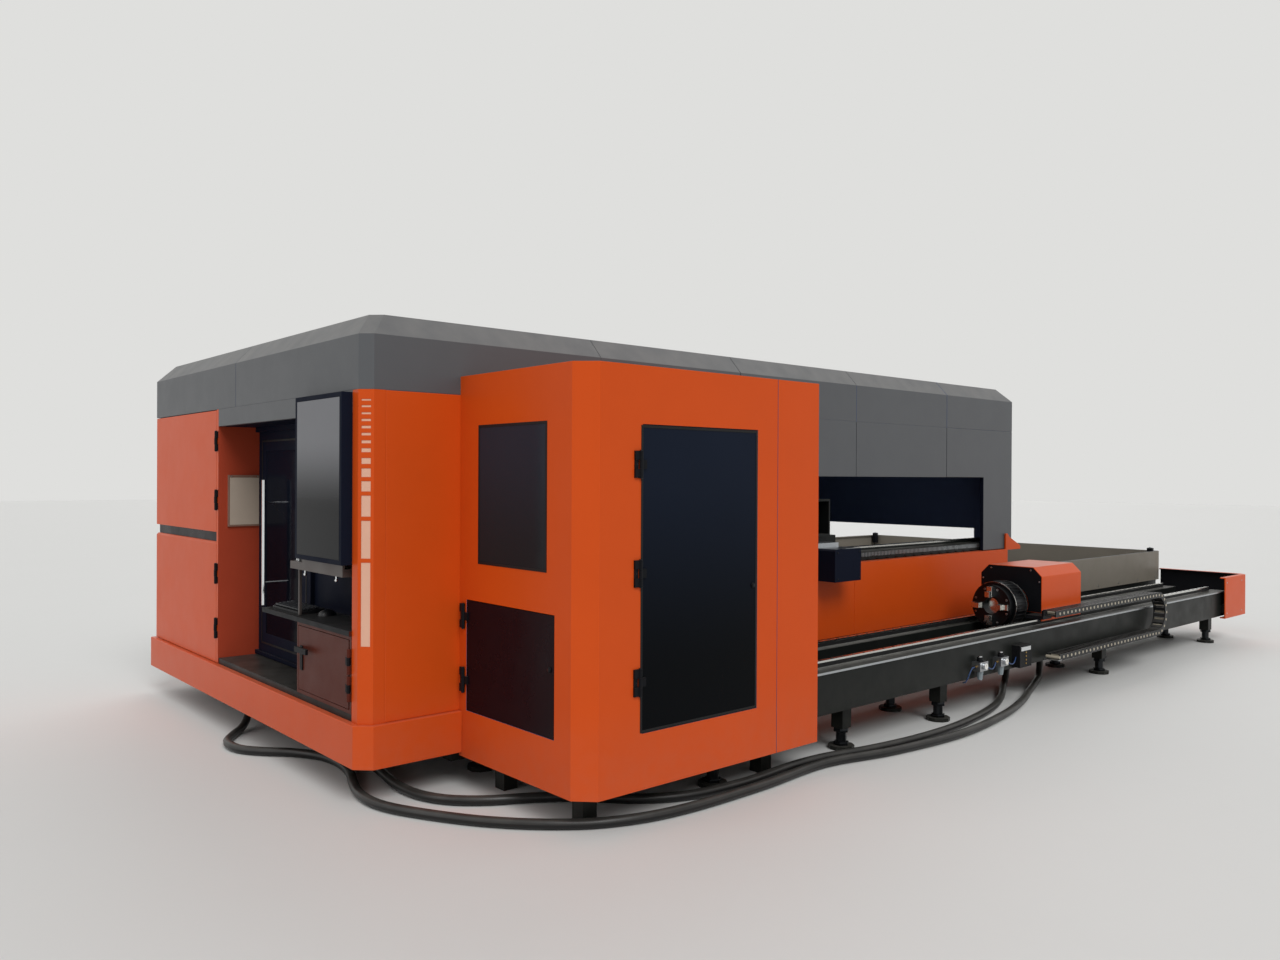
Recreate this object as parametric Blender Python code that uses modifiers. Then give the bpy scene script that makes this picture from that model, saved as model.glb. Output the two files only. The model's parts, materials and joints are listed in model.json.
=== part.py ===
"""Fiber laser cutting machine with a sheet bed, an exchange table and a tube bed.

Metres, +Z up. All sizes are given in the machine's own frame: X runs from the plane of the
operator's front (0) to the rear, Y from the tube side of the enclosure (0) across its width,
and Z from the floor. One empty carries every part and puts the middle of the footprint at the
world's origin.
"""

import math

import bmesh
import bpy
from mathutils import Matrix, Vector

# Clearances, sheet thicknesses and cutting margins
SEAT_GAP = 0.0003
OVERRUN = 0.01
BITE = 0.002
SKIN = 0.006
PAN_DEPTH = 0.03
PAN_RIM = 0.012
SEAM = 0.005
GROOVE_DEPTH = 0.003
WELD_DISTANCE = 0.00001

# Enclosure
ENCLOSURE_LENGTH = 6.0
ENCLOSURE_WIDTH = 3.32
SHELL_BOTTOM = 0.385
CANOPY_BOTTOM = 1.955
CANOPY_BAND = 0.26
CANOPY_RISE = 0.11
CANOPY_INSET = 0.1
CORNER_LEG = 0.053
FIRST_SEAM = 1.412
SECOND_SEAM = 2.552
THIRD_SEAM = 3.77
FOURTH_SEAM = 4.961
CANOPY_SPLIT_SHARE = 0.512

# Skirt round the enclosure's foot
SKIRT_BOTTOM = 0.18
SKIRT_PROUD = 0.028
SKIRT_FLANGE = 0.05
SKIRT_LENGTH = 2.08

# Corner column and its strip of windows
COLUMN_WIDTH = 0.113
COLUMN_WALL = 0.02
ALCOVE_DEPTH = 0.26
WINDOW_WIDTH = 0.045
STRIP_BACK = 0.008
WINDOW_SHARES = (
    (0.2325, 0.483), (0.495, 0.608), (0.620, 0.683), (0.695, 0.726), (0.738, 0.764),
    (0.777, 0.795), (0.812, 0.824), (0.8385, 0.8475), (0.862, 0.870), (0.883, 0.891),
    (0.9045, 0.9115), (0.925, 0.931), (0.946, 0.952), (0.9655, 0.9705),
)

# Operator's alcove
ALCOVE_FLOOR = 0.42
FLOOR_THICKNESS = 0.0347
ALCOVE_TOP = 1.85
ALCOVE_FAR = 2.0
ALCOVE_WALL = 0.02
FLOOR_REACH = 0.53
BEARER_FRONT = 0.12
BEARER_WIDTH = 0.1
BEARER_BOTTOM = 0.28
JOIST_WIDTH = 0.1
JOIST_SHARES = (0.24, 0.75)

# Sliding access door at the back of the alcove
ACCESS_DOOR_LOW = 0.45
ACCESS_DOOR_HIGH = 1.82
ACCESS_DOOR_FAR = 1.96
ACCESS_DOOR_WIDTH = 0.8
ACCESS_DOOR_THICKNESS = 0.024
ACCESS_OVERLAP = 0.04
ACCESS_WINDOW_MARGIN = 0.12
TRACK_HEIGHT = 0.025
TRACK_DEPTH = 0.034
PULL_BAR_Y = 1.68
PULL_BAR_LOW = 0.768
PULL_BAR_HIGH = 1.521
PULL_BAR_RADIUS = 0.012
PULL_BAR_REACH = 0.075
STANDOFF_RADIUS = 0.007
STANDOFF_SHARES = (0.18, 0.82)

# Pair of cupboard doors on the front
JAMB_THICKNESS = 0.03
DOOR_THICKNESS = 0.022
DOOR_MARGIN = 0.005
DOOR_GAP_LOW = 1.135
DOOR_GAP_HIGH = 1.197
DOOR_BEVEL = 0.012
FRAME_DEPTH = 0.04
FRAME_BORDER = 0.06

# Hinges: pin, knuckles and leaves
HINGE_PROUD = 0.01
HINGE_RADIUS = 0.009
HINGE_LENGTH = 0.12
HINGE_LEAF = 0.034
HINGE_LEAF_SHORT = 0.0135
HINGE_LEAF_THICKNESS = 0.006
HINGE_EDGE = 0.02
HINGE_SIDES = 8
DOOR_HINGE_HEIGHTS = (0.605, 0.942, 1.396, 1.759)

# Document holder on the jamb
HOLDER_X = 0.055
HOLDER_WIDTH = 0.2
HOLDER_LOW = 1.23
HOLDER_HIGH = 1.55
HOLDER_THICKNESS = 0.012
HOLDER_RIM = 0.012

# Screen with its shelf and post
SCREEN_PROUD = 0.055
SCREEN_DEPTH = 0.115
SCREEN_FAR = 0.662
SCREEN_LOW = 1.127
SCREEN_HIGH = 1.945
SCREEN_FRAME = 0.024
SCREEN_RECESS = 0.005
SHELF_FRONT = -0.02
SHELF_NEAR = 0.175
SHELF_FAR = 0.81
SHELF_LOW = 1.064
SHELF_HIGH = 1.104
SHELF_LIP = 0.02
POST_Y = 0.775
POST_SIZE = 0.015
NECK_MARGIN = 0.1

# Console: cupboard, desk, keyboard and mouse
CONSOLE_FAR = 0.765
CONSOLE_BACK = 0.22
DESK_LOW = 0.79
DESK_HIGH = 0.815
DESK_FAR = 1.227
DESK_FRONT = -0.012
CONSOLE_WALL = 0.018
CONSOLE_DOOR_THICKNESS = 0.018
CONSOLE_DOOR_GAP = 0.003
KEYBOARD_X = 0.03
KEYBOARD_DEPTH = 0.14
KEYBOARD_Y = 0.81
KEYBOARD_WIDTH = 0.37
KEYBOARD_HEIGHT = 0.022
KEYBOARD_RAKE = 0.01
KEY_ROWS = 5
KEY_GROOVE = 0.003
MOUSE_X = 0.13
MOUSE_Y = 0.69
MOUSE_LENGTH = 0.1
MOUSE_WIDTH = 0.06
MOUSE_HEIGHT = 0.034
LEVER_Y = 0.7
LEVER_Z = 0.655
LEVER_LENGTH = 0.13
LEVER_THICKNESS = 0.014
LEVER_STANDOFF = 0.03
SPINDLE_RADIUS = 0.009
PLATE_DROP = 0.11
PLATE_WIDTH = 0.03
PLATE_THICKNESS = 0.006

# Places across the tube side, as shares of how far the cabinet stands out
TUBE_GATE_OUT_SHARE = 0.94
TUBE_GATE_IN_SHARE = 0.3
TUBE_BED_OUT_SHARE = 0.9
TUBE_BED_IN_SHARE = 0.34
TUBE_RAIL_OUT_SHARE = 0.815
TUBE_RAIL_IN_SHARE = 0.405
HEADSTOCK_OUT_SHARE = 0.85
HEADSTOCK_IN_SHARE = 0.37
CHAIN_NEAR_SHARE = 0.93
GUARD_OUT_SHARE = 0.95
GUARD_IN_SHARE = 0.14
TUBE_FEET_SHARES = (0.8, 0.44)

# Tube-cutting cabinet on the long side
CABINET_FRONT = 0.515
CABINET_REAR = 2.08
CABINET_OUT = 1.0
CABINET_BOTTOM = 0.16
CABINET_TOP = 2.045
CABINET_CHAMFER = 0.085
CABINET_WALL = 0.03
CABINET_SEAM = 1.753
WINDOW_NEAR = 0.17
WINDOW_FAR = 0.735
WINDOW_LOW = 1.125
WINDOW_HIGH = 1.797
SIDE_DOOR_NEAR = 0.066
SIDE_DOOR_FAR = 0.795
SIDE_DOOR_LOW = 0.395
SIDE_DOOR_HIGH = 0.943
SIDE_DOOR_HINGES = (0.545, 0.86)
GLASS_DOOR_FRONT = 0.845
GLASS_DOOR_REAR = 1.603
GLASS_DOOR_LOW = 0.41
GLASS_DOOR_HIGH = 1.785
GLASS_DOOR_HINGES = (0.641, 1.123, 1.606)
INSET_GAP = 0.003
INSET_DEPTH = 0.024
GLASS_FRAME = 0.05
GLASS_RECESS = 0.004
TUBE_GATE_LOW_Y = TUBE_GATE_OUT_SHARE * CABINET_OUT
TUBE_GATE_HIGH_Y = TUBE_GATE_IN_SHARE * CABINET_OUT
TUBE_GATE_TOP = 0.96
CABINET_FOOT = 0.08
CABINET_FEET_X = (0.69, 1.87)
CABINET_FEET_Y = (-0.79, -0.16)
CABINET_BAR = 0.05

# Window in the long side, beside the tube bed
BAY_FRONT = 2.13
BAY_REAR = 5.53
BAY_LOW = 0.945
BAY_HIGH = 1.56

# Rear portal for the pallet
PORTAL_THICKNESS = 0.03
PORTAL_SIDE = 0.34
PORTAL_TOP = 1.108
PORTAL_SILL = 0.42

# Machine bed
BED_FRONT = 0.5
BED_REAR = 5.9
BEAM_SIDE = 0.05
BEAM_WIDTH = 0.3
BEAM_LOW = 0.12
BEAM_TOP = 1.0
BEAM_WALL = 0.02
CROSS_TOP = 0.36
CROSS_WIDTH = 0.12
CROSS_SHARES = (0.0, 0.25, 0.5, 0.75, 1.0)
LEDGE_WIDTH = 0.08
LEDGE_THICKNESS = 0.04
PALLET_LEVEL = 0.64
POCKET_COUNT = 6
POCKET_WIDTH = 0.56
POCKET_LOW = 0.46
POCKET_HIGH = 0.58
BED_FOOT_SHARES = (0.05, 0.35, 0.65, 0.95)
FOOT_PAD_RADIUS = 0.075
FOOT_PAD_HEIGHT = 0.022
FOOT_STUD_RADIUS = 0.03
FOOT_SIDES = 10

# Fascia, its end bracket, rail and rack
FASCIA_PROUD = 0.02
FASCIA_LOW = 0.435
FASCIA_SEAM = 3.73
BRACKET_RISE = 0.135
BRACKET_REACH = 0.22
BRACKET_POST = 0.03
BRACKET_THICKNESS = 0.014
RAIL_FRONT = 0.6
RAIL_REAR = 5.86
RAIL_OFFSET = 0.155
RAIL_WIDTH = 0.03
RAIL_HEIGHT = 0.03
RAIL_STRIP = 0.008
RACK_DEPTH = 0.012
RACK_LOW = 0.95
RACK_PITCH = 0.12
RACK_TOOTH = 0.012

# Gantry, carriage and cutting head
GANTRY_X = 3.3
GANTRY_WIDTH = 0.25
GANTRY_LOW = 1.14
GANTRY_HEIGHT = 0.26
GANTRY_END = 0.06
GANTRY_WALL = 0.015
TRUCK_LENGTH = 0.48
TRUCK_WIDTH = 0.2
RIDGE_HEIGHT = 0.024
RIDGE_DEPTH = 0.016
RIDGE_SHARES = (0.2, 0.8)
COVER_FRONT = 3.27
COVER_REAR = 3.558
COVER_OUT = 0.2
COVER_LOW = 0.849
COVER_TOP = 1.07
COVER_EDGE = 0.012
COVER_STRIP = 0.03
CARRIAGE_WIDTH = 0.34
CARRIAGE_DEPTH = 0.09
CARRIAGE_RISE = 0.06
HEAD_WIDTH = 0.13
HEAD_DEPTH = 0.085
HEAD_LOW = 1.06
HEAD_HIGH = 1.5
HEAD_TAPER = 0.045
NOZZLE_RADIUS = 0.022
NOZZLE_TIP = 0.006
NOZZLE_DROP = 0.1
COLLAR_RADIUS = 0.034

# Pallet with its slats
PALLET_FRONT = 2.2
PALLET_LENGTH = 2.8
PALLET_SIDE = 0.37
PALLET_FRAME = 0.07
PALLET_HEIGHT = 0.16
SLAT_COUNT = 26
SLAT_THICKNESS = 0.008
SLAT_INSET = 0.02

# Exchange table behind the enclosure
TABLE_FRONT = ENCLOSURE_LENGTH + SEAT_GAP
TABLE_LENGTH = 2.88
TABLE_REAR = ENCLOSURE_LENGTH + TABLE_LENGTH
TABLE_OUT = 0.12
TABLE_LOW = 0.5
TABLE_TOP = 0.8
TABLE_BEAM_LOW = 0.38
TABLE_BEAM_WIDTH = 0.12
TABLE_RAIL_WIDTH = 0.06
TABLE_EDGE = 0.03
TABLE_LEG = 0.1
TABLE_LEG_SHARES = (0.08, 0.9)
TABLE_CROSS_SHARES = (0.0, 0.5, 1.0)

# Tube bed beside the enclosure
TUBE_BED_FRONT = 1.25
TUBE_BED_REAR = 8.4
TUBE_BED_OUT = TUBE_BED_OUT_SHARE * CABINET_OUT
TUBE_BED_IN = TUBE_BED_IN_SHARE * CABINET_OUT
TUBE_BEAM = 0.12
TUBE_BED_LOW = 0.25
TUBE_BED_TOP = 0.487
TUBE_FLOOR = 0.02
TUBE_WALL = 0.012
TUBE_CROSS_COUNT = 7
TUBE_CROSS_HEIGHT = 0.1
TUBE_CROSS_WIDTH = 0.08
TUBE_FEET_X = (1.5, 2.55, 3.56, 5.9, 8.2)
TUBE_FEET_Y = tuple(-share * CABINET_OUT for share in TUBE_FEET_SHARES)
TUBE_LEG = 0.08
TUBE_TIE_X = (3.0, 5.0)
TUBE_TIE_LOW = 0.28
TUBE_TIE_HIGH = 0.36
EDGE_STRIP = 0.012
TUBE_RAIL_FRONT = 1.3
TUBE_RAIL_REAR = 8.2
TUBE_RAIL_OUT = TUBE_RAIL_OUT_SHARE * CABINET_OUT
TUBE_RAIL_IN = TUBE_RAIL_IN_SHARE * CABINET_OUT
TUBE_RAIL_WIDTH = 0.03
TUBE_RAIL_TOP = 0.53
VALVE_X = (3.845, 4.11)
VALVE_WIDTH = 0.1
VALVE_DEPTH = 0.06
VALVE_LOW = 0.3
VALVE_HEIGHT = 0.06
BOWL_RADIUS = 0.024
BOWL_DROP = 0.06
UNIT_X = 4.315
UNIT_WIDTH = 0.16
UNIT_LOW = 0.26
UNIT_HEIGHT = 0.15

# Tube spindle line, travelling head and front chuck
SPINDLE_Y = -(TUBE_RAIL_OUT + TUBE_RAIL_IN) / 2
SPINDLE_Z = 0.63
HEADSTOCK_FRONT = 4.842
HEADSTOCK_REAR = 5.465
HEADSTOCK_OUT = HEADSTOCK_OUT_SHARE * CABINET_OUT
HEADSTOCK_IN = HEADSTOCK_IN_SHARE * CABINET_OUT
HEADSTOCK_LOW = 0.515
HEADSTOCK_TOP = 0.905
HEADSTOCK_CHAMFER = 0.065
HEADSTOCK_WALL = 0.01
PLATE_LOW = 0.55
PLATE_HIGH = 0.575
BLOCK_LENGTH = 0.1
BLOCK_WIDTH = 0.07
BLOCK_INSET = 0.04
HOUSING_INSET = 0.06
HOUSING_HALF = 0.17
HOUSING_TOP = 0.84
ARM_FRONT = 4.7
ARM_RISE = 0.04
CHUCK_FRONT = 4.56
CHUCK_STEP = 4.6
CHUCK_BACK = 4.77
CHUCK_RADIUS = 0.17
CHUCK_RING = 0.15
CHUCK_NECK = 0.13
SPINDLE_SHAFT = 0.1
CHUCK_BORE = 0.06
CHUCK_STEPS = 24
NECK_CLEARANCE = 0.004
JAW_WIDTH = 0.04
JAW_LENGTH = 0.075
JAW_DEPTH = 0.06
JAW_INNER = 0.065
JAW_STEP = 0.02
FRONT_BLOCK_FRONT = 1.5
FRONT_BLOCK_REAR = 1.72
FRONT_BLOCK_HALF = 0.2
FRONT_BLOCK_TOP = 0.84
FRONT_RING_FRONT = 1.38
FRONT_RING_RADIUS = 0.155
FRONT_RING_LIP = 0.12
FRONT_RING_STEP = 0.03
FRONT_HUB_RADIUS = 0.09

# Energy chain beside the tube bed
CHAIN_NEAR = CHAIN_NEAR_SHARE * CABINET_OUT
CHAIN_WIDTH = 0.1
CHAIN_START = 4.69
CHAIN_TURN = 6.49
CHAIN_END = 4.78
CHAIN_LOW = 0.29
CHAIN_HIGH = 0.6
CHAIN_THICKNESS = 0.045
CHAIN_PITCH = 0.1
CHAIN_NOTCH = 0.012
CHAIN_NOTCH_DEPTH = 0.014
CHAIN_TURN_LINKS = 7

# Guard round the tube bed's rear end
GUARD_FRONT = 8.27
GUARD_OUT = GUARD_OUT_SHARE * CABINET_OUT
GUARD_IN = GUARD_IN_SHARE * CABINET_OUT
GUARD_REAR = TABLE_REAR
GUARD_CHAMFER = 0.06
GUARD_LOW = 0.23
GUARD_TOP = 0.62
GUARD_WALL = 0.012
GUARD_FLANGE = 0.05

# Hoses on the floor
HOSE_RADIUS = 0.025
HOSE_LIE = 0.0253
GLAND_RADIUS = 0.036
GLAND_SIDES = 10
HOSE_STEP = 0.14
HOSE_FINE_STEPS = 24
OUTER_HOSE_ROUTE = (
    (0.17, 1.90, 0.2497), (0.17, 1.90, 0.225), (0.154, 1.878, 0.125), (0.11, 1.82, 0.052),
    (0.05, 1.74, HOSE_LIE), (-0.04, 1.62, HOSE_LIE), (-0.11, 1.49, HOSE_LIE),
    (-0.11, 1.32, HOSE_LIE), (-0.03, 1.18, HOSE_LIE), (0.09, 1.05, HOSE_LIE),
    (0.18, 0.88, HOSE_LIE), (0.20, 0.69, HOSE_LIE), (0.17, 0.50, HOSE_LIE),
    (0.11, 0.33, HOSE_LIE), (0.06, 0.15, HOSE_LIE), (0.06, -0.05, HOSE_LIE),
    (0.14, -0.26, HOSE_LIE), (0.31, -0.55, HOSE_LIE), (0.52, -0.78, HOSE_LIE),
    (0.75, -0.93, HOSE_LIE), (1.08, -1.01, HOSE_LIE), (1.63, -1.015, HOSE_LIE),
    (2.17, -0.98, HOSE_LIE), (2.66, -1.08, HOSE_LIE), (3.29, -1.13, HOSE_LIE),
    (3.90, -1.06, HOSE_LIE), (4.35, -0.95, HOSE_LIE), (4.72, -0.82, HOSE_LIE),
    (5.164, -0.659, HOSE_LIE), (5.257, -0.622, 0.052), (5.325, -0.595, 0.125),
    (5.35, -0.585, 0.225), (5.35, -0.585, 0.2397),
)
INNER_HOSE_ROUTE = (
    (0.32, 0.75, 0.2497), (0.32, 0.75, 0.225), (0.32, 0.723, 0.125), (0.32, 0.65, 0.052),
    (0.32, 0.55, HOSE_LIE), (0.29, 0.36, HOSE_LIE), (0.26, 0.15, HOSE_LIE),
    (0.27, -0.04, HOSE_LIE), (0.34, -0.20, HOSE_LIE), (0.48, -0.33, HOSE_LIE),
    (0.66, -0.43, HOSE_LIE), (0.84, -0.57, HOSE_LIE), (1.02, -0.76, HOSE_LIE),
    (1.26, -0.89, HOSE_LIE), (1.60, -0.925, HOSE_LIE), (1.97, -0.90, HOSE_LIE),
    (2.25, -0.91, HOSE_LIE), (2.60, -0.98, HOSE_LIE), (3.00, -1.02, HOSE_LIE),
    (3.45, -1.01, HOSE_LIE), (3.95, -0.93, HOSE_LIE), (4.35, -0.80, HOSE_LIE),
    (4.754, -0.602, HOSE_LIE), (4.847, -0.566, 0.052), (4.915, -0.540, 0.125),
    (4.94, -0.53, 0.225), (4.94, -0.53, 0.2397),
)

# Colour, roughness and metallic value of each finish
ORANGE = ((0.60, 0.11, 0.025), 0.38, 0.0)
GREY = ((0.11, 0.11, 0.115), 0.45, 0.0)
TABLE_GREY = ((0.17, 0.165, 0.155), 0.5, 0.0)
NAVY = ((0.012, 0.014, 0.022), 0.35, 0.0)
DARK_STEEL = ((0.02, 0.022, 0.022), 0.5, 0.2)
BLACK = ((0.012, 0.012, 0.013), 0.45, 0.0)
GLASS = ((0.01, 0.011, 0.014), 0.06, 0.0)
BRIGHT_STEEL = ((0.62, 0.62, 0.62), 0.28, 1.0)
CHROME = ((0.75, 0.75, 0.75), 0.12, 1.0)
PALE_PLASTIC = ((0.75, 0.50, 0.40), 0.4, 0.0)
CLEAR_PLASTIC = ((0.45, 0.42, 0.38), 0.3, 0.0)
ALUMINIUM = ((0.5, 0.5, 0.51), 0.35, 1.0)
SLAT_STEEL = ((0.2, 0.19, 0.18), 0.6, 0.7)
RUBBER = ((0.012, 0.012, 0.012), 0.6, 0.0)
MAROON = ((0.16, 0.035, 0.022), 0.4, 0.0)

# Places worked out from the sizes above
CANOPY_BAND_TOP = CANOPY_BOTTOM + CANOPY_BAND
CANOPY_TOP = CANOPY_BAND_TOP + CANOPY_RISE
CENTRE_Y = ENCLOSURE_WIDTH / 2
TABLE_FAR = ENCLOSURE_WIDTH + TABLE_OUT
CHAIN_OUT = CHAIN_NEAR + CHAIN_WIDTH
FOOTPRINT_FRONT = -SCREEN_PROUD
FOOTPRINT_REAR = TABLE_REAR
RAIL_SEAT = BEAM_TOP + SEAT_GAP
RAIL_LEVEL = RAIL_SEAT + RAIL_STRIP + RAIL_HEIGHT
CONSOLE_NEAR = COLUMN_WIDTH + DOOR_MARGIN
GANTRY_TOP = GANTRY_LOW + GANTRY_HEIGHT

# Matrices that lay a shape drawn in its own plane and height along one machine axis
LAY = {
    "X": Matrix(((0, 0, 1, 0), (1, 0, 0, 0), (0, 1, 0, 0), (0, 0, 0, 1))),
    "Y": Matrix(((0, 1, 0, 0), (0, 0, 1, 0), (1, 0, 0, 0), (0, 0, 0, 1))),
    "Z": Matrix.Identity(4),
}

JOINERY = []


def clear_scene():
    """Remove every object that the file holds."""
    for obj in list(bpy.data.objects):
        bpy.data.objects.remove(obj, do_unlink=True)


def add_collection(name):
    """Return a new collection in the scene."""
    collection = bpy.data.collections.new(name)
    bpy.context.scene.collection.children.link(collection)
    return collection


def add_floor_point():
    """Return the empty that carries the machine, at its frame's origin."""
    empty = bpy.data.objects.new("floor_point", None)
    PARTS.objects.link(empty)
    middle_x = (FOOTPRINT_FRONT + FOOTPRINT_REAR) / 2
    middle_y = (TABLE_FAR - CHAIN_OUT) / 2
    empty.location = (-middle_x, -middle_y, 0)
    return empty


def add_blank(mesh):
    """Put a mesh in the tool collection as a blank, and return its object."""
    blank = bpy.data.objects.new("blank", mesh)
    TOOLS.objects.link(blank)
    blank.parent = FLOOR_POINT
    blank.hide_render = True
    blank.display_type = "WIRE"
    return blank


def mesh_from(shape):
    """Turn a bmesh into a mesh with its faces pointing out."""
    bmesh.ops.recalc_face_normals(shape, faces=shape.faces)
    mesh = bpy.data.meshes.new("blank")
    shape.to_mesh(mesh)
    shape.free()
    return mesh


def box(x, y, z):
    """Return a box that spans three (low, high) pairs."""
    shape = bmesh.new()
    bmesh.ops.create_cube(shape, size=1)
    spans = (x, y, z)
    size = Vector([high - low for low, high in spans])
    middle = Vector([(high + low) / 2 for low, high in spans])
    bmesh.ops.scale(shape, vec=size, verts=shape.verts)
    bmesh.ops.translate(shape, vec=middle, verts=shape.verts)
    return add_blank(mesh_from(shape))


def cylinder(centre, radius, span, axis="Z", sides=FOOT_SIDES, end_radius=None):
    """Return a cylinder or cone along an axis, round a centre in the plane across it."""
    shape = bmesh.new()
    last = radius if end_radius is None else end_radius
    bmesh.ops.create_cone(
        shape, cap_ends=True, segments=sides, radius1=radius, radius2=last,
        depth=span[1] - span[0])
    first, second = (centre[1], centre[0]) if axis == "Y" else centre
    bmesh.ops.translate(
        shape, vec=(first, second, (span[0] + span[1]) / 2), verts=shape.verts)
    bmesh.ops.transform(shape, matrix=LAY[axis], verts=shape.verts)
    return add_blank(mesh_from(shape))


def prism(outline, span, axis="Z", holes=()):
    """Return a flat outline, with holes, that is as thick as a span along an axis."""
    curve = bpy.data.curves.new("outline", "CURVE")
    curve.dimensions = "2D"
    curve.fill_mode = "BOTH"
    curve.extrude = (span[1] - span[0]) / 2
    for ring in (outline, *holes):
        spline = curve.splines.new("POLY")
        spline.points.add(len(ring) - 1)
        for point, (first, second) in zip(spline.points, ring):
            pair = (second, first) if axis == "Y" else (first, second)
            point.co = (*pair, 0, 1)
        spline.use_cyclic_u = True
    carrier = bpy.data.objects.new("outline", curve)
    TOOLS.objects.link(carrier)
    mesh = solid_mesh(carrier)
    middle = Matrix.Translation((0, 0, (span[0] + span[1]) / 2))
    mesh.transform(LAY[axis] @ middle)
    return add_blank(mesh)


def solid_mesh(carrier):
    """Take the evaluated mesh of an object, weld its caps, and remove the object."""
    graph = bpy.context.evaluated_depsgraph_get()
    mesh = bpy.data.meshes.new_from_object(carrier.evaluated_get(graph))
    bpy.data.objects.remove(carrier, do_unlink=True)
    shape = bmesh.new()
    shape.from_mesh(mesh)
    bmesh.ops.remove_doubles(shape, verts=shape.verts, dist=WELD_DISTANCE)
    bmesh.ops.recalc_face_normals(shape, faces=shape.faces)
    shape.to_mesh(mesh)
    shape.free()
    return mesh


def turned(profile, centre, start):
    """Revolve a closed (radius, distance) profile about a line along X."""
    shape = bmesh.new()
    corners = [shape.verts.new((radius, 0, -along)) for radius, along in profile]
    for corner, following in zip(corners, corners[1:] + corners[:1]):
        shape.edges.new((corner, following))
    mesh = bpy.data.meshes.new("profile")
    shape.to_mesh(mesh)
    shape.free()
    carrier = bpy.data.objects.new("profile", mesh)
    TOOLS.objects.link(carrier)
    screw = carrier.modifiers.new("turn", "SCREW")
    screw.steps = CHUCK_STEPS
    screw.render_steps = CHUCK_STEPS
    screw.use_merge_vertices = True
    screw.merge_threshold = WELD_DISTANCE
    solid = solid_mesh(carrier)
    upright = Matrix.Translation((start, centre[0], centre[1])) @ Matrix.Rotation(
        math.radians(-90), 4, "Y")
    solid.transform(upright)
    return add_blank(solid)


def join(target, *pieces):
    """Weld pieces to a target."""
    for piece in pieces:
        JOINERY.append((target, piece, "UNION"))
    return target


def cut(target, *cutters):
    """Cut a target by cutters."""
    for cutter in cutters:
        JOINERY.append((target, cutter, "DIFFERENCE"))
    return target


def fit_joinery():
    """Give each target its boolean modifiers, in the order they were asked for."""
    for target, operand, operation in JOINERY:
        modifier = target.modifiers.new(operation.lower(), "BOOLEAN")
        modifier.operation = operation
        modifier.solver = "EXACT"
        modifier.object = operand


def paint(obj, name, finish):
    """Give an object its own material."""
    colour, roughness, metallic = finish
    material = bpy.data.materials.new(name)
    material.use_nodes = True
    shader = material.node_tree.nodes["Principled BSDF"]
    shader.inputs["Base Color"].default_value = (*colour, 1)
    shader.inputs["Roughness"].default_value = roughness
    shader.inputs["Metallic"].default_value = metallic
    obj.data.materials.append(material)


def middle_of(obj):
    """Return the middle of an object's own box."""
    corners = [Vector(corner) for corner in obj.bound_box]
    return (corners[0] + corners[6]) / 2


def publish(obj, name, finish, pivot=None):
    """Make a blank a named part whose origin is its pivot, or else its middle."""
    TOOLS.objects.unlink(obj)
    PARTS.objects.link(obj)
    obj.hide_render = False
    obj.display_type = "TEXTURED"
    obj.name = name
    obj.data.name = name
    origin = Vector(pivot) if pivot else middle_of(obj)
    obj.data.transform(Matrix.Translation(-origin))
    obj.location = origin
    paint(obj, name, finish)
    return obj


def smooth(obj):
    """Shade a turned part smooth between its sharp edges."""
    obj.data.shade_smooth()
    obj.data.set_sharp_from_angle(angle=math.radians(35))


def area(outline):
    """Return the signed area of an outline."""
    total = 0
    for (ax, ay), (bx, by) in zip(outline, outline[1:] + outline[:1]):
        total += ax * by - bx * ay
    return total / 2


def inset(outline, distance):
    """Move each side of an outline inwards by a distance, with mitred corners."""
    turn = 1 if area(outline) > 0 else -1
    result = []
    count = len(outline)
    for index in range(count):
        before = Vector(outline[index - 1])
        here = Vector(outline[index])
        after = Vector(outline[(index + 1) % count])
        arriving = (here - before).normalized()
        leaving = (after - here).normalized()
        first = Vector((-arriving.y, arriving.x)) * turn
        second = Vector((-leaving.y, leaving.x)) * turn
        mitre = (first + second) / (1 + first.dot(second))
        result.append(tuple(here + mitre * distance))
    return result


def rectangle(x, y):
    """Return the outline of a rectangle that spans two (low, high) pairs."""
    return [(x[0], y[0]), (x[1], y[0]), (x[1], y[1]), (x[0], y[1])]


def pan(outline, face, back, axis):
    """Return a folded panel: a skin at the face, with its edges turned to the back."""
    low, high = min(face, back), max(face, back)
    plate = prism(outline, (low, high), axis)
    if face < back:
        hollow = (face + SKIN, back + OVERRUN)
    else:
        hollow = (back - OVERRUN, face - SKIN)
    return cut(plate, prism(inset(outline, PAN_RIM), hollow, axis))


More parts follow.
